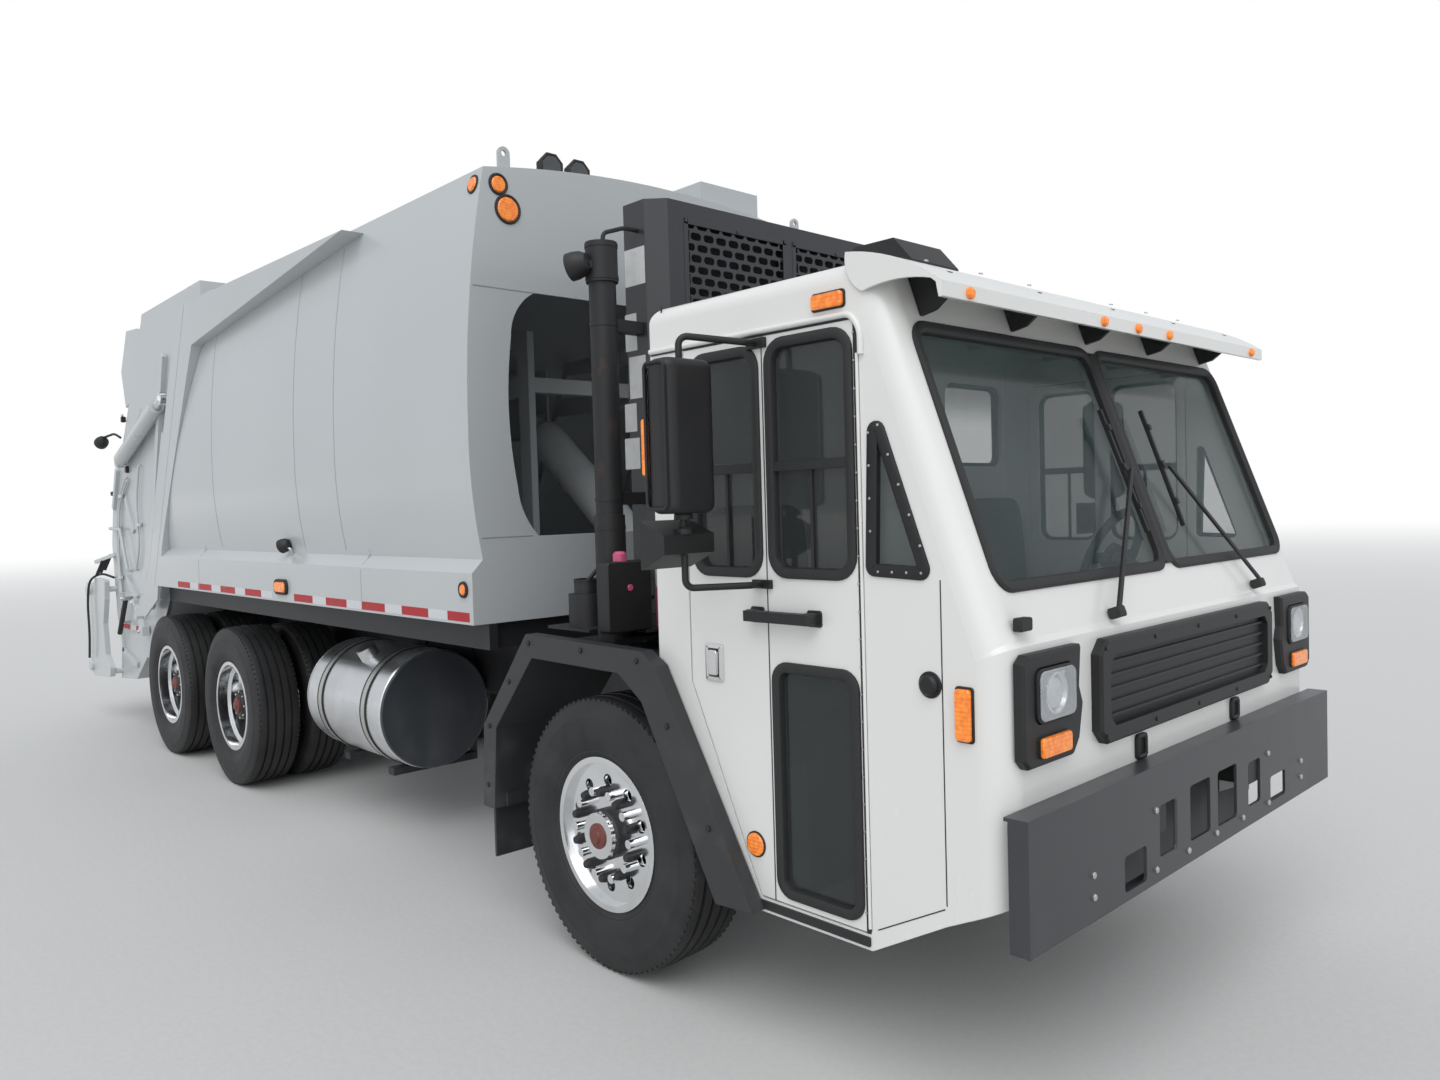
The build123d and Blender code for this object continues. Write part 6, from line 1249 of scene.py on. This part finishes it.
label_film = Finish("blank_label", Coat_Weight=0.3)
film_haze = label_film.noise(20.0, 4)
label_film.set("Base Color", label_film.tint(film_haze.span(0.4, 0.7), (0.60, 0.61, 0.61),
                                             (0.55, 0.55, 0.54)))
label_film.set("Roughness", film_haze * 0.2 + 0.25)
label_film.bump(film_haze, 0.0005, 0.3)
form = bmesh.new()
for rear, ahead, low, high in ((-0.284, -0.153, 2.709, 2.862), (-0.294, -0.218, 2.442, 2.596),
                               (-0.275, -0.166, 2.243, 2.417),
                               (-0.313, -0.235, 2.106, 2.224), (-0.320, -0.222, 1.949, 2.079)):
    face, out = skin_of("cooling_module", at((rear + ahead) / 2, -1.6, (low + high) / 2), Vector((0, 1, 0)))
    if face:
        plaque(form, box_outline((rear, low), (ahead, high), 0.004),
               lambda x, z, lift, face=face: at(x, face.y - lift, z), -0.0003, 0.0008, 0.0003)
piece("blank_labels", solid(form), label_film.material, "chassis", smooth=False)


# Exhaust: heat-blackened pipe with a muffler below and a wider head, banded and bracketed to the module. A
# small work lamp looks back from the side of its head.
heat_black = Finish("heat_black")
scale_marks = heat_black.noise(14.0, 6, (1, 1, 0.4))
rust = scale_marks.span(0.58, 0.78)
heat_black.set("Base Color", heat_black.tint(rust * 0.6, (0.014, 0.014, 0.015), (0.075, 0.040, 0.028)))
heat_black.set("Roughness", scale_marks * 0.25 + 0.42)
heat_black.bump(heat_black.noise(160.0, 4), 0.0008, 0.4, 0.003)
dress(heat_black.material, "exhaust_stack")
stack = at(-0.195, -0.990, 0)


def band(form, centre, radius, low, high, thick, steps=40):
    """Flat band round an upright pipe."""
    rings = []
    for reach, height in ((radius, low), (radius + thick, low), (radius + thick, high), (radius, high)):
        rings.append([form.verts.new(centre + Vector((reach * math.cos(math.tau * i / steps),
                                                      reach * math.sin(math.tau * i / steps), height)))
                      for i in range(steps)])
    for first, last in zip(rings, rings[1:] + rings[:1]):
        for i in range(steps):
            form.faces.new((first[i], first[(i + 1) % steps], last[(i + 1) % steps], last[i]))


form = bmesh.new()
for radius, heights in ((0.062, (1.285, 1.700)), (0.055, (1.815, 2.515)), (0.065, (2.700, 2.828))):
    for height in heights:
        band(form, stack, radius - 0.001, height, height + 0.016, 0.003)
piece("exhaust_bands", solid(form), heat_black.material, "chassis")
tube_line("exhaust_stay", [at(-0.195, -0.985, 2.840), at(-0.195, -0.977, 2.893), at(-0.195, -0.872, 2.929),
                           at(-0.195, -0.790, 2.929)], 0.009, heat_black.material, "chassis",
          0.02)


def ball_lamp(name, spot, facing, radius, body):
    """Small round work lamp: a black bowl with a flat lens, without its bracket."""
    turn = facing.normalized().to_track_quat("X", "Z").to_matrix()
    form = bmesh.new()
    rings = []
    for share, out in ((0.25, -1.0), (0.62, -0.86), (0.90, -0.45), (1.0, 0.1), (1.0, 0.55), (0.86, 0.58),
                       (0.84, 0.48)):
        rings.append([form.verts.new(spot + turn @ Vector((out * radius,
                                                           share * radius * math.cos(math.tau * i / 28),
                                                           share * radius * math.sin(math.tau * i / 28))))
                      for i in range(28)])
    for first, last in zip(rings, rings[1:]):
        for i in range(28):
            form.faces.new((first[i], first[(i + 1) % 28], last[(i + 1) % 28], last[i]))
    form.faces.new(rings[0])
    form.faces.new(rings[-1])
    piece(f"{name}_bowl", solid(form), black_plastic.material, body)
    form = bmesh.new()
    lens_ring = [form.verts.new(spot + turn @ Vector((0.50 * radius,
                                                      0.83 * radius * math.cos(math.tau * i / 28),
                                                      0.83 * radius * math.sin(math.tau * i / 28))))
                 for i in range(28)]
    rear_ring = [form.verts.new(vert.co - turn @ Vector((0.03 * radius, 0, 0))) for vert in lens_ring]
    form.faces.new(lens_ring)
    form.faces.new(rear_ring)
    for i in range(28):
        form.faces.new((lens_ring[i], lens_ring[(i + 1) % 28], rear_ring[(i + 1) % 28], rear_ring[i]))
    piece(f"{name}_lens", solid(form), lens_glass.material, body)


ball_lamp("stack_work_lamp", at(-0.225, -1.090, 2.754), Vector((-0.9, -0.5, -0.2)), 0.056, "chassis")
form = bmesh.new()
bar(form, at(-0.195, -1.040, 2.754), at(-0.205, -1.082, 2.754), 0.050, 0.030, Vector((0, 0, 1)))
piece("stack_work_lamp_foot", solid(form), black_plastic.material, "chassis")


# Service tray: painted steel shelf with the air dryer, the coolant bottle of milky plastic with pink
# coolant in it, and the capped couplers of the air lines.
dress(frame_paint, "service_tray")
bottle = Finish("coolant_bottle_plastic", Transmission_Weight=0.15)
height = bottle.along("Z")
froth = bottle.noise(9.0, 3)
bottle.set("Base Color", bottle.tint((height + froth * 0.01).span(1.462, 1.470), (0.74, 0.10, 0.24),
                                     (0.80, 0.78, 0.70)))
bottle.set("Roughness", froth * 0.1 + 0.28)
bottle.bump(froth, 0.002, 0.2, 0.01)
dress(bottle.material, "coolant_bottle")
form = bmesh.new()
band(form, at(-0.0875, -0.640, 0), 0.001, 1.543, 1.575, 0.017, 24)
band(form, at(-0.420, -0.950, 0), 0.050, 1.478, 1.492, 0.006, 32)
piece("tray_caps", solid(form), black_plastic.material, "chassis")
form = bmesh.new()
plaque(form, box_outline((-1.108, 1.2965), (-0.888, 1.577), 0.012), front_spot(-0.128), 0.0, 0.062, 0.006)
piece("service_box", solid(form), black_plastic.material, "chassis")
pink = painted("coolant_pink", (0.62, 0.09, 0.20), gloss=0.25, dust=0.1)
form = bmesh.new()
plaque(form, circle((-0.098, -1.021), 0.028, 32), lambda x, y, lift: at(x, y, 1.576 + lift), -0.002, 0.040,
       0.010)
plaque(form, circle((-0.998, 1.471), 0.014, 24), front_spot(-0.066), -0.001, 0.004, 0.002)
piece("service_filler", solid(form), pink, "chassis")
yellow = painted("coupler_yellow", (0.75, 0.42, 0.02), gloss=0.3, dust=0.2)
form = bmesh.new()
band(form, at(-0.300, -0.585, 0), 0.001, 1.2955, 1.345, 0.024, 24)
piece("air_coupler", solid(form), yellow, "chassis")
for n, (start, mid, end) in enumerate((((-0.36, -0.62, 1.33), (-0.45, -0.55, 1.50), (-0.75, -0.50, 1.25)),
                                       ((-0.30, -0.585, 1.345), (-0.30, -0.585, 1.46),
                                        (-0.78, -0.56, 1.20)),
                                       ((-0.42, -0.95, 1.48), (-0.40, -0.80, 1.62), (-0.80, -0.60, 1.30)))):
    tube_line(f"air_line_{n + 1}", [at(*start), at(*mid), at(*end)], 0.009, strip_rubber.material,
              "chassis",
              0.12)


# Body: rolled steel sides welded along upright seams, a flat bulkhead and folded sill boxes, all sprayed
# pale grey. Amber lamps in rubber grommets sit at its front corners, and red and white tape runs along the
# sills.
body_paint = painted("body_paint", (0.50, 0.525, 0.535), gloss=0.30, dust=0.12, coat=0.35)
dress(body_paint, "body_shell", "rear_bolster", "ejector_panel")
dress(frame_paint, "body_sills")


def weld_seam(form, spots, wide=0.012, proud=0.0018):
    """Low rounded bead along points on a skin; each point comes with its outward direction."""
    rows = []
    for i, (spot, out) in enumerate(spots):
        run = (spots[min(i + 1, len(spots) - 1)][0] - spots[max(i - 1, 0)][0]).normalized()
        aside = run.cross(out).normalized() * (wide / 2)
        rows.append([form.verts.new(spot + aside * share + out * lift)
                     for share, lift in ((-1, -0.002), (-0.5, proud), (0.5, proud), (1, -0.002))])
    for first, last in zip(rows, rows[1:]):
        for k in range(4):
            form.faces.new((first[k], first[(k + 1) % 4], last[(k + 1) % 4], last[k]))
    form.faces.new(rows[0])
    form.faces.new(rows[-1])


seam_paint = painted("seam_paint", (0.34, 0.36, 0.37), gloss=0.30, dust=0.2)
for name, side in SIDES:
    way = Vector((0, -side, 0))
    form = bmesh.new()
    for station in (-2.300, -2.850, -4.268):
        run = [skin_of("body_shell", at(station, side * 1.6, 1.60 + 1.62 * i / 30), way) for i in range(31)]
        weld_seam(form, [pair for pair in run if pair[0]])
    piece(f"body_side_seams_{name}", solid(form), seam_paint, "chassis")
    lamps = (("small", -1.018, 3.248, 0.038), ("large", -0.973, 3.144, 0.056))
    form, glow_form = bmesh.new(), bmesh.new()
    for _, half, height, radius in lamps:
        spot, _out = skin_of("body_shell", at(0.5, -side * half, height), Vector((-1, 0, 0)))
        face = front_spot(spot.x - DATUM)
        moulding(form, circle((-side * half, height), radius + 0.012, 32),
                 ((0.0, -0.002), (0.002, 0.006), (0.008, 0.008), (0.014, 0.004), (0.014, -0.002)), face)
        plaque(glow_form, circle((-side * half, height), radius, 32), face, -0.001, 0.010, 0.008)
    spot, out = skin_of("body_shell", at(-0.962, side * 1.6, 3.246), way)
    slope = lambda x, z, lift: at(x, spot.y, z) + out * lift + Vector((0, -out.z / out.y * (z - 3.246), 0))
    moulding(form, circle((-0.962, 3.246), 0.044, 32),
             ((0.0, -0.004), (0.002, 0.005), (0.008, 0.007), (0.013, 0.003), (0.013, -0.004)), slope)
    plaque(glow_form, circle((-0.962, 3.246), 0.034, 32), slope, -0.001, 0.012, 0.008)
    piece(f"body_lamp_grommets_{name}", solid(form), strip_rubber.material, "chassis")
    piece(f"body_lamp_lenses_{name}", solid(glow_form), amber.material, "chassis")


# Body front and roof: the bulkhead's plates are welded along three level seams, and a lamp case with two
# eight-sided work lamps stands on the roof's front edge.
form = bmesh.new()
for height in (2.785, 1.672):
    for side in (-1, 1):
        low = 0.85 if height > 2.7 else 0.86
        run = []
        for i in range(9):
            half = side * (low + (1.165 - low) * i / 8)
            run.append(skin_of("body_shell", at(0.5, half, height), Vector((-1, 0, 0))))
        weld_seam(form, [pair for pair in run if pair[0] and pair[1].x > 0.9], 0.010, 0.0015)
piece("bulkhead_seams", solid(form), seam_paint, "chassis")
smoked = Finish("smoked_lamp", Coat_Weight=0.6, Coat_Roughness=0.04)
lamp_haze = smoked.noise(30.0, 3)
smoked.set("Base Color", smoked.tint(lamp_haze, (0.030, 0.034, 0.038), (0.075, 0.080, 0.085)))
smoked.set("Roughness", lamp_haze * 0.12 + 0.14)
smoked.bump(smoked.node("ShaderNodeTexVoronoi", {"Vector": smoked.place, "Scale": 60.0}), 0.001, 0.5)
form, frame_form, case_form = bmesh.new(), bmesh.new(), bmesh.new()
for middle in (-0.485, -0.645):
    eight = [(middle + 0.060 * math.cos(math.tau * (i + 0.5) / 8),
              3.428 + 0.060 * math.sin(math.tau * (i + 0.5) / 8))
             for i in range(8)]
    plaque(form, eight, front_spot(-1.018), -0.001, 0.010, 0.006)
    moulding(frame_form, eight,
             ((-0.010, -0.001), (-0.009, 0.008), (-0.003, 0.012), (0.003, 0.010), (0.003, -0.001)),
             front_spot(-1.018))
    plaque(case_form, eight, front_spot(-1.060), 0.0, 0.043, 0.004)
piece("roof_lamp_lenses", solid(form), smoked.material, "chassis")
piece("roof_lamp_rims", solid(frame_form), black_plastic.material, "chassis")
piece("roof_lamp_cases", solid(case_form), black_plastic.material, "chassis")


# Sill boxes: folded plate with a reflective tape of red and white blocks, an amber side marker let in
# between, and one small black work lamp on a bracket. Rubber plugs close the jacking holes.
honeycomb_tapes = []
for colour_name, colour in (("white", (0.62, 0.64, 0.66)), ("red", (0.42, 0.004, 0.012))):
    tape = Finish(f"reflective_tape_{colour_name}", Coat_Weight=0.1, Coat_Roughness=0.2)
    scuffed = tape.noise(11.0, 5)
    honeycomb = tape.node("ShaderNodeTexVoronoi", {"Vector": tape.place, "Scale": 420.0},
                          feature="DISTANCE_TO_EDGE")
    tape.set("Base Color", tape.tint(scuffed.span(0.55, 0.85) * 0.12, colour, (0.40, 0.40, 0.40)))
    tape.set("Roughness", scuffed * 0.2 + 0.40)
    tape.bump(honeycomb, 0.0004, 0.4)
    honeycomb_tapes.append(tape.material)


def tape_strip(name, strips, low, high, face, body):
    """Tape of white and red blocks. A strip has two ends, and a first red block's start, pitch and length."""
    white, red = bmesh.new(), bmesh.new()
    for start, end, first, pitch, length in strips:
        edge = start
        while edge < end - 0.002:
            block = first + pitch * math.floor((edge - first) / pitch + 0.001)
            is_red = edge < block + length - 0.001
            stop = min(end, block + (length if is_red else pitch))
            plaque(red if is_red else white, box_outline((edge, low), (stop, high), 0.001), face, -0.0005,
                   0.0008, 0.0003)
            edge = stop
    for colour_name, form, material in zip(("white", "red"), (white, red), honeycomb_tapes):
        piece(f"{name}_{colour_name}", solid(form), material, body, smooth=False)


for name, side in SIDES:
    sill_face = lambda station, height, lift=0.0: at(station, side * (1.2212 + lift), height)
    tape_strip(f"sill_tape_{name}",
               ((-5.107, -3.262, -5.107, 0.4615, 0.280), (-2.921, -0.930, -2.921, 0.4485, 0.268)),
               1.300, 1.342, sill_face, "chassis")
    form = bmesh.new()
    moulding(form, box_outline((-3.180, 1.338), (-3.010, 1.414), 0.030),
             ((-0.008, -0.001), (-0.007, 0.016), (0.0, 0.020), (0.006, 0.016), (0.006, -0.001)), sill_face)
    moulding(form, circle((-0.971, 1.444), 0.030, 32),
             ((-0.008, -0.001), (-0.006, 0.010), (0.0, 0.012), (0.004, 0.008), (0.004, -0.001)), sill_face)
    piece(f"sill_lamp_grommets_{name}", solid(form), strip_rubber.material, "chassis")
    form = bmesh.new()
    plaque(form, box_outline((-3.175, 1.343), (-3.015, 1.409), 0.026), sill_face, -0.001, 0.024, 0.010)
    plaque(form, circle((-0.971, 1.444), 0.027, 32), sill_face, -0.001, 0.012, 0.006)
    piece(f"sill_lamp_lenses_{name}", solid(form), amber.material, "chassis")
    form = bmesh.new()
    for station in (-2.020, -4.620):
        run = [skin_of("body_shell", at(station, side * 1.6, 1.30 + 0.31 * i / 12), Vector((0, -side, 0)))
               for i in range(13)]
        weld_seam(form, [pair for pair in run if pair[0]], 0.008, 0.0014)
    piece(f"sill_seams_{name}", solid(form), seam_paint, "chassis")


ball_lamp("sill_work_lamp", at(-3.080, -1.205, 1.622), Vector((-0.8, -0.5, -0.3)), 0.042, "chassis")
tube_line("sill_work_lamp_bracket",
          [at(-3.040, -1.170, 1.560), at(-3.020, -1.190, 1.600), at(-3.060, -1.200, 1.612)],
          0.008, zinc, "chassis", 0.02)


# Ejector: a sheet steel wall that pushes the load out, driven by a telescopic cylinder that runs back from
# the bulkhead. The stages are hard chromed; the barrel is sprayed.
cylinder_paint = painted("cylinder_paint", (0.56, 0.585, 0.59), gloss=0.28, dust=0.15)
chrome = metal("hard_chrome", (0.78, 0.79, 0.80), 0.09, (1, 1, 1), 0.15)
dress(cylinder_paint, "ejector_barrel", "lift_barrels", "carriage_barrels", "container_arms")
dress(chrome, "ejector_stage_1", "ejector_stage_2", "ejector_stage_3", "lift_rods", "carriage_rods")


# Tailgate: welded plate painted like the body outside, scoured bare where refuse slides. Its fittings are a
# work lamp, hold-down screws, a lock bar, hoses in clips, lever grips and a strip of tape.
dress(body_paint, "tailgate_shell", "lifter")
scoured = Finish("scoured_steel", Metallic=0.75)
scrape = scoured.noise(3.5, 7, (0.3, 2.2, 0.3))
crust = scoured.noise(8.0, 6)
scoured.set("Base Color", scoured.tint(crust.span(0.45, 0.7), (0.30, 0.29, 0.28), (0.13, 0.085, 0.06)))
scoured.set("Roughness", scrape * 0.3 + 0.3)
scoured.bump(scrape, 0.002, 0.4, 0.003)
dress(scoured.material, "packing_blade", "carriage")
for name, side in SIDES:
    plate = lambda station, height, lift=0.0: at(station, side * (1.1003 + lift), height)
    tape_strip(f"tailgate_tape_{name}", ((-7.290, -6.641, -7.220, 0.455, 0.275),), 0.850, 0.892, plate,
               "tailgate")
    form = bmesh.new()
    for start, end in (((-5.362, 3.100), (-6.420, 1.240)), ((-6.300, 2.720), (-7.250, 2.030)),
                       ((-7.300, 1.180), (-5.880, 1.180))):
        weld_seam(form, [(plate(start[0] + (end[0] - start[0]) * i / 8,
                                start[1] + (end[1] - start[1]) * i / 8, 0.0),
                          Vector((0, side, 0))) for i in range(9)], 0.012, 0.002)
    piece(f"tailgate_weld_beads_{name}", solid(form), body_paint, "tailgate")
    # Stiffening ribs and the boxed column behind the joint
    form = bmesh.new()
    for start, end, width, deep in (((-5.560, 3.060), (-6.170, 1.300), 0.075, 0.040),
                                    ((-7.060, 2.250), (-7.230, 1.900), 0.050, 0.030),
                                    ((-6.871, 1.998), (-6.660, 1.700), 0.060, 0.018),
                                    ((-6.930, 1.300), (-6.640, 1.130), 0.070, 0.022),
                                    ((-7.200, 1.020), (-7.130, 0.640), 0.050, 0.022),
                                    ((-7.160, 0.660), (-6.720, 0.560), 0.050, 0.022)):
        bar(form, plate(*start, deep / 2 - 0.001), plate(*end, deep / 2 - 0.001), width, deep,
            Vector((0, side, 0)))
    piece(f"tailgate_ribs_{name}", solid(form), body_paint, "tailgate", smooth=False)
    # Hold-down: screw with its nut and eyes at the foot of the joint, and the black lock bar on its bracket
    form = bmesh.new()
    bar(form, plate(-6.530, 1.090, 0.050), plate(-6.370, 0.890, 0.050), 0.034, 0.034, Vector((0, side, 0)))
    bar(form, plate(-6.480, 1.030, 0.050), plate(-6.435, 0.972, 0.050), 0.066, 0.060, Vector((0, side, 0)))
    bar(form, plate(-6.545, 1.108, -0.001), plate(-6.545, 1.108, 0.080), 0.062, 0.062, Vector((1, 0, 0)))
    bar(form, plate(-6.362, 0.880, -0.001), plate(-6.362, 0.880, 0.080), 0.076, 0.076, Vector((1, 0, 0)))
    piece(f"hold_down_screw_{name}", solid(form), cylinder_paint, "tailgate",
          smooth=False)
    lock = [plate(-6.800, 1.120, 0.062), plate(-7.040, 0.815, 0.062)]
    tube_line(f"lock_bar_{name}", lock, 0.020, black_plastic.material, "tailgate")
    form = bmesh.new()
    bar(form, plate(-6.815, 1.130, -0.001), plate(-6.815, 1.130, 0.085), 0.030, 0.060, Vector((1, 0, 0)))
    bar(form, plate(-6.965, 0.915, -0.001), plate(-6.965, 0.915, 0.064), 0.022, 0.040, Vector((1, 0, 0)))
    piece(f"lock_bar_brackets_{name}", solid(form), zinc, "tailgate", smooth=False)
    spots = [plate(-6.545, 1.108, 0.079), plate(-6.362, 0.880, 0.079), plate(-6.815, 1.130, 0.084),
             plate(-6.777, 2.241, 0.0), plate(-7.255, 1.990, 0.0), plate(-6.860, 2.700, 0.0)]
    fasteners(f"tailgate_bolts_{name}", spots, (0, side, 0), 0.017, 0.014, zinc, "tailgate")
    # Hydraulic pipes run up the plate in clips, sprayed with it
    runs = (((-7.130, 1.160), (-7.170, 1.500), (-7.080, 1.950), (-6.800, 2.160)),
            ((-7.090, 1.160), (-7.130, 1.480), (-7.040, 1.930), (-6.760, 2.140)),
            ((-6.600, 1.380), (-6.480, 1.560), (-6.500, 1.960), (-6.380, 2.250)))
    for count, run in enumerate(runs):
        tube_line(f"tailgate_pipe_{count + 1}_{name}",
                  [plate(*run[0], -0.004)] + [plate(*spot, 0.020) for spot in run]
                  + [plate(*run[-1], -0.004)], 0.009, cylinder_paint, "tailgate", 0.10)
    form = bmesh.new()
    for spot in ((-7.128, 1.300), (-7.118, 1.720), (-6.480, 1.760), (-6.990, 2.010)):
        bar(form, plate(spot[0] - 0.036, spot[1], 0.018), plate(spot[0] + 0.060, spot[1], 0.018), 0.030,
            0.026,
            Vector((0, side, 0)))
    piece(f"pipe_clips_{name}", solid(form), cylinder_paint, "tailgate", smooth=False)
    form = bmesh.new()
    bar(form, plate(-6.780, 2.205, 0.004), plate(-6.780, 2.265, 0.004), 0.050, 0.034, Vector((0, side, 0)))
    bar(form, plate(-7.250, 2.020, 0.004), plate(-7.250, 2.060, 0.004), 0.040, 0.050, Vector((0, side, 0)))
    bar(form, plate(-6.840, 2.640, 0.004), plate(-6.840, 2.690, 0.004), 0.034, 0.034, Vector((0, side, 0)))
    piece(f"tailgate_fittings_{name}", solid(form), black_plastic.material, "tailgate")
    # Bosses, lug and hose of the container arm at the rear corner
    arm = lambda x, z, lift: at(x, side * (1.2020 + lift), z)
    form = bmesh.new()
    for x, z, radius in ((-7.860, 1.165, 0.045), (-7.850, 0.470, 0.050)):
        plaque(form, circle((x, z), radius, 32), arm, -0.002, 0.030, 0.006)
    piece(f"container_arm_bosses_{name}", solid(form), cylinder_paint, "tailgate")
    hose = [arm(-7.360, 1.290, -0.090), arm(-7.520, 1.330, -0.030), arm(-7.720, 1.270, 0.030),
            arm(-7.800, 1.060, 0.034),
            arm(-7.780, 0.760, 0.034), arm(-7.845, 0.540, 0.030)]
    tube_line(f"container_arm_hose_{name}", hose, 0.010, strip_rubber.material, "tailgate",
              0.10)
for count, out in enumerate((0.0, 0.040, 0.080)):
    grip = [at(-7.405 - out * 0.5, -1.118 - out * 0.7, 1.495 - out * 0.6),
            at(-7.465 - out * 0.5, -1.160 - out * 0.7, 1.360 - out * 0.6)]
    tube_line(f"lever_grip_{count + 1}", grip, 0.014, black_plastic.material, "tailgate")
form = bmesh.new()
bar(form, at(-7.330, -1.095, 1.500), at(-7.520, -1.220, 1.430), 0.030, 0.030, Vector((0, 0, 1)))
piece("lever_bracket", solid(form), cylinder_paint, "tailgate", smooth=False)
ball_lamp("tailgate_work_lamp", at(-7.320, -1.165, 2.500), Vector((-1, -0.15, -0.35)), 0.055, "tailgate")
tube_line("tailgate_work_lamp_bracket",
          [at(-6.990, -1.096, 2.520), at(-7.080, -1.120, 2.560), at(-7.280, -1.155, 2.540)],
          0.010, black_plastic.material, "tailgate", 0.04)
